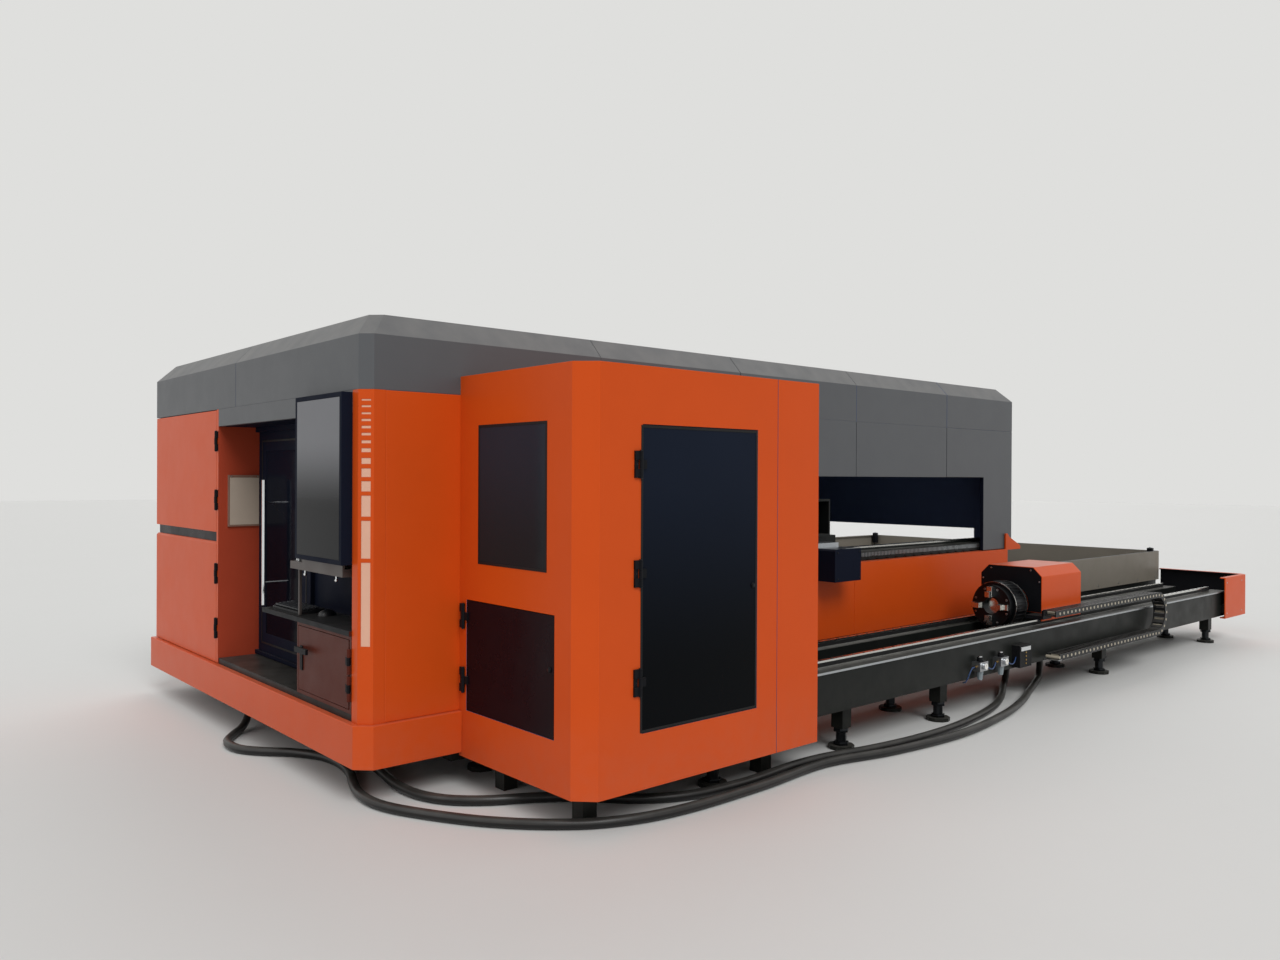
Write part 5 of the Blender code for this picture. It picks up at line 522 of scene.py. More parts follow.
class Shape:
    """Mesh of one piece, put together from closed solids in the machine's frame."""

    def __init__(self, name: str, *coats: Coat) -> None:
        """Start an empty piece.

        Args:
            name: the piece's name.
            coats: its finishes, in the order of their numbers.
        """
        self.name = name
        self.coats = coats
        self.body = bmesh.new()

    def keep(self, part: bmesh.types.BMesh, coat: int, smooth: bool = False) -> None:
        """Add one solid to the piece with the finish of a number.

        Args:
            part: the solid, which is freed.
            coat: number of the finish.
            smooth: whether it is shaded smooth.
        """
        bmesh.ops.recalc_face_normals(part, faces=part.faces)
        for face in part.faces:
            face.material_index = coat
            face.smooth = smooth
        mesh = to_mesh(part, "part")
        self.body.from_mesh(mesh)
        bpy.data.meshes.remove(mesh)

    def box(self, x: Span, y: Span, z: Span, coat: int = 0, edge: float = 0.0) -> None:
        """Add a box between three spans, its edges softened by a width.

        Args:
            x: its span along X.
            y: its span along Y.
            z: its span along Z.
            coat: number of the finish.
            edge: width of the softened edges.
        """
        part = bmesh.new()
        bmesh.ops.create_cube(part, size=1)
        size = Vector((x[1] - x[0], y[1] - y[0], z[1] - z[0]))
        middle = Vector((sum(x) / 2, sum(y) / 2, sum(z) / 2))
        bmesh.ops.scale(part, vec=size, verts=part.verts)
        bmesh.ops.translate(part, vec=middle, verts=part.verts)
        if edge:
            soften(part, part.edges[:], edge)
        self.keep(part, coat)

    def rod(self, centre: Place, radius: float, span: Span, axis: str = "Z", coat: int = 0,
            sides: int = 16, end_radius: float | None = None, edge: float = 0.0) -> None:
        """Add a cylinder or cone along an axis, round a centre in the plane across it.

        Args:
            centre: its place in the plane across the axis.
            radius: the radius.
            span: its span along the axis.
            axis: the axis that it lies along.
            coat: number of the finish.
            sides: how many sides its round has.
            end_radius: the radius at its upper end, if another.
            edge: width of the softened edges.
        """
        part = bmesh.new()
        bmesh.ops.create_cone(part, cap_ends=True, segments=sides, radius1=radius,
                              radius2=radius if end_radius is None else end_radius,
                              depth=span[1] - span[0])
        if edge:
            rims = [e for e in part.edges if len({round(v.co.z, 6) for v in e.verts}) == 1]
            soften(part, rims, edge, 2)
        first, second = (centre[1], centre[0]) if axis == "Y" else centre
        bmesh.ops.translate(part, vec=(first, second, sum(span) / 2), verts=part.verts)
        bmesh.ops.transform(part, matrix=LAY[axis], verts=part.verts)
        self.keep(part, coat, smooth=True)

    def border(self, first: Span, second: Span, width: float, span: Span, axis: str,
               coat: int = 0, edge: float = 0.0) -> None:
        """Add four bars round the inside of a rectangle across an axis.

        Args:
            first: the rectangle's span along the earlier of the two other axes.
            second: its span along the later one.
            width: how wide a bar is.
            span: the bars' span along the axis.
            axis: the axis that the rectangle lies across.
            coat: number of the finish.
            edge: width of the softened edges.
        """
        inner = (first[0] + width, first[1] - width)
        bars = ((first, (second[0], second[0] + width)), (first, (second[1] - width, second[1])),
                ((first[0], inner[0]), (second[0] + width, second[1] - width)),
                ((inner[1], first[1]), (second[0] + width, second[1] - width)))
        order = {"X": lambda a, b: (span, a, b), "Y": lambda a, b: (a, span, b),
                 "Z": lambda a, b: (a, b, span)}[axis]
        for one, other in bars:
            self.box(*order(one, other), coat, edge)

    def ball(self, centre: Point, radius: float, coat: int = 0, steps: int = 8) -> None:
        """Add a ball.

        Args:
            centre: its centre.
            radius: the radius.
            coat: number of the finish.
            steps: how many rings it has from pole to pole.
        """
        part = bmesh.new()
        bmesh.ops.create_uvsphere(part, u_segments=steps * 2, v_segments=steps, radius=1)
        bmesh.ops.scale(part, vec=(radius, radius, radius), verts=part.verts)
        bmesh.ops.translate(part, vec=centre, verts=part.verts)
        self.keep(part, coat, smooth=True)

    def wire(self, points: Sequence[Point], radius: float, coat: int = 0,
             sides: int = 8) -> None:
        """Add a round wire along points, turned smoothly from one to the next.

        Args:
            points: the points on its centre line.
            radius: the radius.
            coat: number of the finish.
            sides: how many sides its round has.
        """
        part = bmesh.new()
        places = [Vector(p) for p in points]
        rings = []
        across = Vector((0, 0, 1))
        for index, place in enumerate(places):
            before = places[max(index - 1, 0)]
            after = places[min(index + 1, len(places) - 1)]
            along = (after - before).normalized()
            if abs(along.dot(across)) > 0.97:
                across = Vector((1, 0, 0)) if abs(along.x) < 0.9 else Vector((0, 1, 0))
            side = along.cross(across).normalized()
            across = side.cross(along).normalized()
            ring = []
            for step in range(sides):
                angle = 2 * math.pi * step / sides
                ring.append(part.verts.new(
                    place + side * radius * math.cos(angle) + across * radius * math.sin(angle)))
            rings.append(ring)
        for first, second in zip(rings, rings[1:]):
            for step in range(sides):
                after = (step + 1) % sides
                part.faces.new((first[step], first[after], second[after], second[step]))
        part.faces.new(rings[0])
        part.faces.new(rings[-1])
        self.keep(part, coat, smooth=True)

    def finish(self, body: str, slot: str, replaces: Sequence[str] = ()) -> Object:
        """Turn the piece into an object in the row frame that rides on a body.

        Args:
            body: the CAD body it moves with.
            slot: the record's material slot, handed on to settle.
            replaces: the CAD nodes it stands for.

        Returns:
            The object.
        """
        mesh = to_mesh(self.body, self.name)
        mesh.transform(Matrix.Translation(SHIFT))
        return settle(mesh, self.name, self.coats, body, slot, replaces)


def settle(mesh: Mesh, name: str, coats: Sequence[Coat], body: str, slot: str,
           replaces: Sequence[str] = ()) -> Object:
    """Make a mesh in the row frame a piece on a body.

    Args:
        mesh: the finished mesh.
        name: the piece's name.
        coats: its finishes, in the order of their numbers.
        body: the CAD body it moves with.
        slot: the record's material slot; it is not used.
        replaces: the CAD nodes it stands for.

    Returns:
        The object.
    """
    piece = link_object(name, mesh)
    for coat in coats[len(mesh.materials):]:
        mesh.materials.append(coat.material())
    rounded = [face.use_smooth for face in mesh.polygons]
    mesh.set_sharp_from_angle(angle=SMOOTH_ANGLE)
    mesh.polygons.foreach_set("use_smooth", rounded)
    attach(piece, body)
    if replaces:
        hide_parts(*replaces)
    LOG.info("%s rides on %s", name, body)
    return piece


@dataclass(frozen=True)
class Zone:
    """A block of the machine's frame in which faces take another finish."""

    x: Span
    y: Span
    z: Span
    coat: int

    def holds(self, place: Vector) -> bool:
        """Tell whether a point of the machine's frame is in the block."""
        sides = (self.x, self.y, self.z)
        return all(low <= value <= high for value, (low, high) in zip(place, sides))


@dataclass
class Casing:
    """A copy of a CAD node with softened edges and a finish for each zone."""

    node: str
    coats: tuple[Coat, ...]
    edge: float = 0.003
    zones: tuple[Zone, ...] = ()
    smooth: bool = False
    lining: int = 0
    heart: Point | None = None

    def build(self, frame: dict) -> Object:
        """Make the copy, which stands for the node; faces that look to the heart are lined.


        Returns:
            The object.
        """
        source = frame["nodes"][self.node]
        shape = bmesh.new()
        shape.from_mesh(source.data)
        bmesh.ops.remove_doubles(shape, verts=shape.verts, dist=WELD)
        bmesh.ops.dissolve_limit(shape, angle_limit=FLAT_ANGLE, verts=shape.verts,
                                 edges=shape.edges)
        if self.edge:
            sharp = [e for e in shape.edges
                     if len(e.link_faces) == 2 and e.calc_face_angle(0.0) > SHARP_ANGLE]
            soften(shape, sharp, self.edge, 2, clamp=True)
        low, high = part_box(self.node)
        middle = Vector(self.heart) if self.heart else (low + high) / 2 - SHIFT
        for face in shape.faces:
            place = face.calc_center_median() - SHIFT
            face.smooth = self.smooth
            inwards = face.normal.dot(middle - place) > 0.001
            face.material_index = self.lining if inwards else 0
            for zone in self.zones:
                if zone.holds(place):
                    face.material_index = zone.coat
        mesh = to_mesh(shape, self.node + "_casing")
        imported = mesh.attributes.get("custom_normal")
        if imported:
            mesh.attributes.remove(imported)
        return settle(mesh, mesh.name, self.coats, source["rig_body"], self.node, (self.node,))


def dress(frame: dict, *casings: Casing) -> None:
    """Build some casings in their order."""
    for casing in casings:
        casing.build(frame)


TURN_X = (0.0, math.pi / 2, 0.0)
TURN_Y = (math.pi / 2, 0.0, 0.0)


def start_tree(name: str, inputs: Sequence[tuple[str, str]]) -> tuple[Tree, Sequence[Socket]]:
    """Start a Geometry Nodes tree.

    Args:
        name: the tree's name.
        inputs: names and socket types of its inputs after the geometry.

    Returns:
        The tree and the sockets of its inputs.
    """
    tree = bpy.data.node_groups.new(name, "GeometryNodeTree")
    face = tree.interface
    face.new_socket("Geometry", in_out="OUTPUT", socket_type="NodeSocketGeometry")
    face.new_socket("Geometry", in_out="INPUT", socket_type="NodeSocketGeometry")
    for label, kind in inputs:
        face.new_socket(label, in_out="INPUT", socket_type=kind)
    return tree, add_node(tree, "NodeGroupInput").outputs


class Repeat:
    """Geometry Nodes tree that sets one small solid at equal steps along a row of rows."""

    class Solid(Enum):
        """What is repeated."""

        ROUND = "GeometryNodeMeshCylinder"
        BLOCK = "GeometryNodeMeshCube"
        SHAPE = "the mesh that the tree is given"

    INPUTS = (
        ("Start", "NodeSocketVector"), ("Step", "NodeSocketVector"), ("Count", "NodeSocketInt"),
        ("Row Step", "NodeSocketVector"), ("Rows", "NodeSocketInt"),
        ("Size", "NodeSocketVector"), ("Turn", "NodeSocketVector"), ("Sides", "NodeSocketInt"),
        ("Finish", "NodeSocketMaterial"),
    )

    @classmethod
    def tree(cls, solid: "Repeat.Solid") -> Tree:
        """Return the tree that repeats a kind of solid, made the first time.

        Args:
            solid: what is repeated.

        Returns:
            The tree.
        """
        name = f"repeat_{solid.name.lower()}"
        found = bpy.data.node_groups.get(name)
        if found:
            return found
        tree, given = start_tree(name, cls.INPUTS)
        row = add_node(tree, "GeometryNodeMeshLine", links={
            "Count": given["Count"], "Start Location": given["Start"], "Offset": given["Step"]})
        rows = add_node(tree, "GeometryNodeMeshLine", links={
            "Count": given["Rows"], "Offset": given["Row Step"]})
        grid = add_node(tree, "GeometryNodeInstanceOnPoints", links={
            "Points": rows.outputs["Mesh"], "Instance": row.outputs["Mesh"]})
        points = add_node(tree, "GeometryNodeRealizeInstances", links={0: grid.outputs[0]})
        shape = given["Geometry"]
        if solid is cls.Solid.ROUND:
            parts = add_node(tree, "ShaderNodeSeparateXYZ", links={0: given["Size"]}).outputs
            shape = add_node(tree, solid.value, links={
                "Vertices": given["Sides"], "Radius": parts["X"],
                "Depth": parts["Z"]}).outputs["Mesh"]
        elif solid is cls.Solid.BLOCK:
            shape = add_node(tree, solid.value, links={"Size": given["Size"]}).outputs["Mesh"]
        placed = add_node(tree, "GeometryNodeInstanceOnPoints", links={
            "Points": points.outputs[0], "Instance": shape, "Rotation": given["Turn"]})
        real = add_node(tree, "GeometryNodeRealizeInstances", links={0: placed.outputs[0]})
        done = add_node(tree, "GeometryNodeSetMaterial", links={
            "Geometry": real.outputs[0], "Material": given["Finish"]})
        add_node(tree, "NodeGroupOutput", links={0: done.outputs[0]})
        return tree


def bake_tree(tree: Tree, values: Mapping[str, object],
              carrier_mesh: Mesh | None = None) -> Mesh:
    """Evaluate a Geometry Nodes tree into a plain mesh.

    Args:
        tree: the tree.
        values: its inputs by name.
        carrier_mesh: the mesh it starts from, if it needs one.

    Returns:
        The mesh, in the machine's frame.
    """
    carrier = link_object("carrier", carrier_mesh or bpy.data.meshes.new("carrier"))
    modifier = carrier.modifiers.new("tree", "NODES")
    modifier.node_group = tree
    for item in tree.interface.items_tree:
        if item.in_out == "INPUT" and item.name in values:
            modifier[item.identifier] = values[item.name]
    graph = bpy.context.evaluated_depsgraph_get()
    mesh = bpy.data.meshes.new_from_object(carrier.evaluated_get(graph))
    carrier.modifiers.clear()
    bpy.data.objects.remove(carrier, do_unlink=True)
    return mesh


@dataclass
class Row:
    """Small solids in rows: bolts, keys, teeth or bars."""

    name: str
    body: str
    slot: str
    coat: Coat
    start: Point
    step: Point
    count: int
    size: Point
    turn: Point = (0.0, 0.0, 0.0)
    row_step: Point = (0.0, 0.0, 0.0)
    rows: int = 1
    sides: int = 6
    solid: Repeat.Solid = Repeat.Solid.ROUND
    shape: Mesh | None = None
    replaces: tuple[str, ...] = ()

    def build(self) -> Object:
        """Make the rows as one piece.

        Returns:
            The piece.
        """
        mesh = bake_tree(Repeat.tree(self.solid), {
            "Start": self.start, "Step": self.step, "Count": self.count,
            "Row Step": self.row_step, "Rows": self.rows, "Size": self.size,
            "Turn": self.turn, "Sides": self.sides, "Finish": self.coat.material()}, self.shape)
        mesh.transform(Matrix.Translation(SHIFT))
        return settle(mesh, self.name, (self.coat,), self.body, self.slot, self.replaces)


class LinkTree:
    """Geometry Nodes tree that lays chain links along a path in a plane across Y."""

    INPUTS = (
        ("Pitch", "NodeSocketFloat"), ("Plate Size", "NodeSocketVector"),
        ("Plate Reach", "NodeSocketVector"), ("Bar Size", "NodeSocketVector"),
        ("Bar Reach", "NodeSocketVector"), ("Pin Radius", "NodeSocketFloat"),
        ("Pin Length", "NodeSocketFloat"), ("Pin Place", "NodeSocketVector"),
        ("Finish", "NodeSocketMaterial"), ("Pin Finish", "NodeSocketMaterial"),
    )

    @staticmethod
    def pair(tree: Tree, size: Socket, reach: Socket) -> list[Socket]:
        """Return two blocks of a size, a reach to either side of the middle.

        Args:
            tree: the node tree.
            size: size of a block.
            reach: where the first one is.

        Returns:
            The two blocks.
        """
        block = add_node(tree, "GeometryNodeMeshCube", links={"Size": size}).outputs["Mesh"]
        back = add_node(tree, "ShaderNodeVectorMath", {"operation": "SCALE"}, {
            0: reach, "Scale": -1.0}).outputs[0]
        return [add_node(tree, "GeometryNodeTransform", links={
            "Geometry": block, "Translation": place}).outputs[0] for place in (reach, back)]

    @classmethod
    def build(cls) -> Tree:
        """Return the tree.

        Returns:
            The tree.
        """
        tree, given = start_tree("chain_links", cls.INPUTS)
        line = add_node(tree, "GeometryNodeMeshToCurve", links={0: given["Geometry"]})
        even = add_node(tree, "GeometryNodeResampleCurve", {"mode": "LENGTH"}, {
            "Curve": line.outputs[0], "Length": given["Pitch"]})
        along = add_node(tree, "GeometryNodeInputTangent").outputs[0]
        turn = add_node(tree, "FunctionNodeAlignRotationToVector",
                        {"axis": "X", "pivot_axis": "Y"}, {"Vector": along}).outputs[0]
        parts = cls.pair(tree, given["Plate Size"], given["Plate Reach"])
        parts += cls.pair(tree, given["Bar Size"], given["Bar Reach"])
        pin = add_node(tree, "GeometryNodeMeshCylinder", links={
            "Vertices": 10, "Radius": given["Pin Radius"], "Depth": given["Pin Length"]})
        pin = add_node(tree, "GeometryNodeTransform", links={
            "Geometry": pin.outputs["Mesh"], "Translation": given["Pin Place"],
            "Rotation": TURN_Y})
        pin = add_node(tree, "GeometryNodeSetMaterial", links={
            "Geometry": pin.outputs[0], "Material": given["Pin Finish"]})
        plates = add_node(tree, "GeometryNodeJoinGeometry")
        for part in parts:
            tree.links.new(part, plates.inputs[0])
        dark = add_node(tree, "GeometryNodeSetMaterial", links={
            "Geometry": plates.outputs[0], "Material": given["Finish"]})
        link = add_node(tree, "GeometryNodeJoinGeometry")
        for part in (dark, pin):
            tree.links.new(part.outputs[0], link.inputs[0])
        laid = add_node(tree, "GeometryNodeInstanceOnPoints", links={
            "Points": even.outputs[0], "Instance": link.outputs[0], "Rotation": turn})
        real = add_node(tree, "GeometryNodeRealizeInstances", links={0: laid.outputs[0]})
        add_node(tree, "NodeGroupOutput", links={0: real.outputs[0]})
        return tree


@dataclass
class Enclosure:
    """The orange and grey shell round the sheet bed."""

    bend: float = 0.004
    canopy_bend: float = 0.006
    screw: Point = (0.007, 0.007, 0.003)
    screw_lift: float = 0.0015
    edge_margin: float = 0.03
    heart: Point = (3.0, 1.66, 1.2)

    def build(self, frame: dict) -> None:
        """Dress the skirt, the column, the panels, the canopy and the rear wall.
        """
        outer = ("skirt", "corner_column", "side_panel_front")
        dress(frame, *(Casing(node, (Coat.ORANGE,), self.bend) for node in outer))
        for nodes, inside, bend in (
                (("side_panel_bay", "side_panel_header", "side_panel_rear"), Coat.NAVY, self.bend),
                (("far_panel", "rear_portal"), Coat.LINING, self.bend),
                (("canopy_front", "canopy_middle", "canopy_rear"), Coat.LINING,
                 self.canopy_bend)):
            dress(frame, *(Casing(node, (Coat.GREY, inside), bend, lining=1, heart=self.heart)
                           for node in nodes))
        dress(frame, Casing("light_strip", (Coat.LENS,), 0.0))
        self.build_screws()

    def build_screws(self) -> None:
        """Set button-head screws along the far panel and round the rear gate."""
        margin = self.edge_margin
        x, y, z = spans("far_panel")
        Row("far_panel_screws", "machine", "far_panel", Coat.ZINC,
            start=(x[0] + 0.14, y[1] + self.screw_lift, z[0] + margin), step=(0.44, 0, 0),
            count=14, size=self.screw, turn=TURN_Y,
            row_step=(0, 0, z[1] - z[0] - margin * 2), rows=2,
            sides=10).build()
        x, y, z = spans("rear_portal")
        Row("rear_wall_screws", "machine", "rear_portal", Coat.ZINC,
            start=(x[1] + self.screw_lift, y[0] + 0.05, z[0] + 0.06), step=(0, 0, 0.28),
            count=6, size=self.screw, turn=TURN_X, row_step=(0, y[1] - y[0] - 0.1, 0), rows=2,
            sides=10).build()


@dataclass
class Hinge:
    """Fixed leaf of a butt hinge with its pin caps and screws, beside the CAD knuckles."""

    name: str
    body: str
    slot: str
    pin: Place
    face: float
    out: str
    heights: tuple[float, ...]
    side: int = -1
    half: float = 0.06
    plate_half: float = 0.0195
    screw_step: float = 0.045
    cap_radius: float = 0.0075
    leaf: float = 0.034
    knuckle: float = 0.0105
    thickness: float = 0.0055

    def build(self) -> None:
        """Make the leaves' middle plates, pin caps and screws at every height."""
        shape = Shape(self.name, Coat.BLACK, Coat.DARK_STEEL)
        along = self.pin[0] if self.out == "Y" else self.pin[1]
        ends = ordered(along + self.side * self.knuckle, along + self.side * self.leaf)
        front = self.face - self.thickness
        depth = (front, self.face - GAP)
        for height in self.heights:
            plate = (height - self.plate_half, height + self.plate_half)
            across = (ends, depth) if self.out == "Y" else (depth, ends)
            shape.box(*across, plate, 0, 0.001)
            for level in (height - self.screw_step, height, height + self.screw_step):
                shape.rod((sum(ends) / 2, level), 0.0042, (front - 0.0015, front + 0.001),
                          self.out, 1, 10)
            for cap in ((height - self.half - 0.004, height - self.half - GAP),
                        (height + self.half + GAP, height + self.half + 0.004)):
                shape.rod(self.pin, self.cap_radius, cap, "Z", 1, 12, edge=0.001)
        shape.finish(self.body, self.slot)


@dataclass
class OperatorFront:
    """Cupboard doors, alcove, sliding door, screen, desk and console."""

    hinge_heights: tuple[float, ...] = (0.605, 0.942, 1.396, 1.759)
    hinge_half: float = 0.062
    hinge_pin: Place = (-0.010, 2.015)
    groove: Span = (1.137, 1.1955)
    knob_places: tuple[float, ...] = (0.27, 0.645)
    hinge_block: tuple[Span, Span] = ((-0.05, -0.0005), (1.98, 2.06))
    # The jamb's faces take the orange darkened as painted shade
    jamb: Zone = Zone((0.012, 0.262), (1.9995, 2.0015), (0.39, 1.955), 2)
    door_pane: Zone = Zone((0.237, 0.2425), (1.2, 1.92), (0.5, 1.78), 1)
    shelf: Zone = Zone((-0.03, 0.23), (0.17, 0.82), (1.06, 1.1245), 1)
    post: Zone = Zone((0.01, 0.035), (0.77, 0.80), (0.81, 1.07), 1)
    desk_top: Zone = Zone((-0.02, 0.3), (0.0, 1.3), (0.789, 0.82), 1)
    lock_plate: Zone = Zone((-0.02, -0.0005), (0.6, 0.8), (0.5, 0.7), 1)
    console_hinges: Zone = Zone((-0.05, -0.0005), (0.1, 0.2), (0.4, 0.8), 1)
    first_key: Point = (0.046, 0.825, 0.8375)
    key: Point = (0.015, 0.0165, 0.008)
    key_step: Point = (0.0, 0.0205, 0.0)
    key_row_step: Point = (0.0215, 0.0, 0.0017)

    def hinge_zones(self) -> tuple[Zone, ...]:
        """Return the blocks that hold the black hinge leaves.

        Returns:
            The blocks.
        """
        return tuple(Zone(*self.hinge_block,
                          (height - self.hinge_half, height + self.hinge_half), 1)
                     for height in self.hinge_heights)

    def build(self, frame: dict) -> None:
        """Dress the front.
        """
        zones = self.hinge_zones()
        painted = (Coat.ORANGE, Coat.BLACK)
        dress(
            frame,
            Casing("front_frame", (*painted, Coat.JAMB), 0.002, (*zones, self.jamb)),
            Casing("front_door_upper", painted, 0.002, zones),
            Casing("front_door_lower", painted, 0.002, zones),
            Casing("alcove_wall", (Coat.NAVY,), 0.002),
            Casing("access_door", (Coat.NAVY, Coat.DOOR_PANE), 0.002, (self.door_pane,)),
            Casing("pull_bar", (Coat.CHROME,), 0.0, smooth=True),
            Casing("alcove_header", (Coat.GREY,), 0.002),
            Casing("screen_housing", (Coat.NAVY, Coat.SHELF), 0.003, (self.shelf, self.post)),
            Casing("screen_glass", (Coat.SCREEN,), 0.0),
            Casing("console", (Coat.MAROON, Coat.BLACK), 0.002, (self.desk_top,)),
            Casing("console_door", (Coat.MAROON, Coat.BLACK), 0.002,
                   (self.lock_plate, self.console_hinges)),
            Casing("console_lever", (Coat.BLACK,), 0.003),
            Casing("mouse", (Coat.PLASTIC,), 0.0, smooth=True),
            Casing("keyboard", (Coat.PLASTIC,), 0.001),
        )
        Row("keyboard_keys", "machine", "keyboard", Coat.KEYCAP,
            start=self.first_key, step=self.key_step, count=17, size=self.key,
            row_step=self.key_row_step, rows=5,
            solid=Repeat.Solid.BLOCK).build()
        self.build_groove()
        self.build_wallet(frame)
        self.build_shelf_items()
        self.build_window_seal()

    def build_groove(self) -> None:
        """Lay a dark strip at the bottom of the groove between the two doors: painted shade in the
        recess.
        """
        strip = Shape("door_groove_strip", Coat.SIDE_DOOR)
        strip.box((0.0185, 0.0218), (2.045, 3.305), self.groove)
        strip.finish("machine", "front_frame")
        caps = Shape("front_hinge_caps", Coat.DARK_STEEL)
        for height in self.hinge_heights:
            for cap in ((height - 0.0645, height - 0.0602), (height + 0.0602, height + 0.0645)):
                caps.rod(self.hinge_pin, 0.0075, cap, "Z", 0, 12, edge=0.001)
        caps.finish("machine", "front_frame")

    def build_wallet(self, frame: dict) -> None:
        """Dress the wallet: welded clear edges round a plain sheet of paper.
        """
        dress(frame, Casing("document_holder", (Coat.WALLET,), 0.001))
        x, y, z = spans("document_holder")
        face = (y[0] - 0.0012, y[0] - GAP)
        shape = Shape("wallet_sheet", Coat.WALLET, Coat.PAPER, Coat.ZINC)
        shape.border(x, z, 0.009, face, "Y", 0, 0.0004)
        shape.box((x[0] + 0.011, x[1] - 0.011), face, (z[0] + 0.011, z[1] - 0.016), 1)
        for place in (x[0] + 0.02, x[1] - 0.02):
            shape.rod((place, z[1] - 0.008), 0.004, (face[0] - 0.0014, face[0] + 0.0002),
                      "Y", 2, 10)
        shape.finish("machine", "document_holder")

    def build_shelf_items(self) -> None:
        """Make the push buttons, the stick and the holders on the shelf, and two knobs."""
        top = spans("screen_housing")[2][0] + 0.289 + GAP
        panel = Shape("shelf_switches", Coat.BLACK, Coat.ZINC, Coat.RED, Coat.GREEN, Coat.CHROME)
        panel.box((0.0, 0.05), (0.672, 0.745), (top, top + 0.024), 0, 0.003)
        for y, coat in ((0.728, 2), (0.703, 3)):
            panel.rod((0.025, y), 0.010, (top + 0.022, top + 0.032), "Z", 1, 14)
            panel.rod((0.025, y), 0.008, (top + 0.030, top + 0.040), "Z", coat, 14)
        panel.rod((0.025, 0.682), 0.005, (top + 0.022, top + 0.062), "Z", 4, 12)
        panel.ball((0.025, 0.682, top + 0.064), 0.009, 1)
        for y in (0.79, 0.765):
            panel.rod((0.012, y), 0.009, (top, top + 0.004), "Z", 4, 14)
            panel.rod((0.012, y), 0.006, (top + 0.003, top + 0.03), "Z", 4, 14, 0.009)
        panel.wire(((0.012, 0.765, top + 0.026), (0.02, 0.752, top + 0.034),
                    (0.026, 0.735, top + 0.037), (0.03, 0.72, top + 0.045)), 0.0028, 1)
        panel.finish("machine", "screen_housing")
        knobs = Shape("shelf_knobs", Coat.CHROME)
        for y in self.knob_places:
            knobs.rod((-0.008, y), 0.004, (top - 0.058, top - 0.041), "Z", 0, 10)
            knobs.ball((-0.008, y, top - 0.062), 0.008)
        knobs.finish("machine", "screen_housing")

    def build_window_seal(self) -> None:
        """Lay the rubber seal round the sliding door's window."""
        x, y, z = spans("access_door")
        seal = Shape("access_window_seal", Coat.SEAL)
        seal.border((y[0] + 0.052, y[1] - 0.052), (z[0] + 0.052, z[1] - 0.052), 0.012,
                    (x[0] - 0.0022, x[0] - GAP), "X", 0, 0.0006)
        seal.finish("access", "access_door")


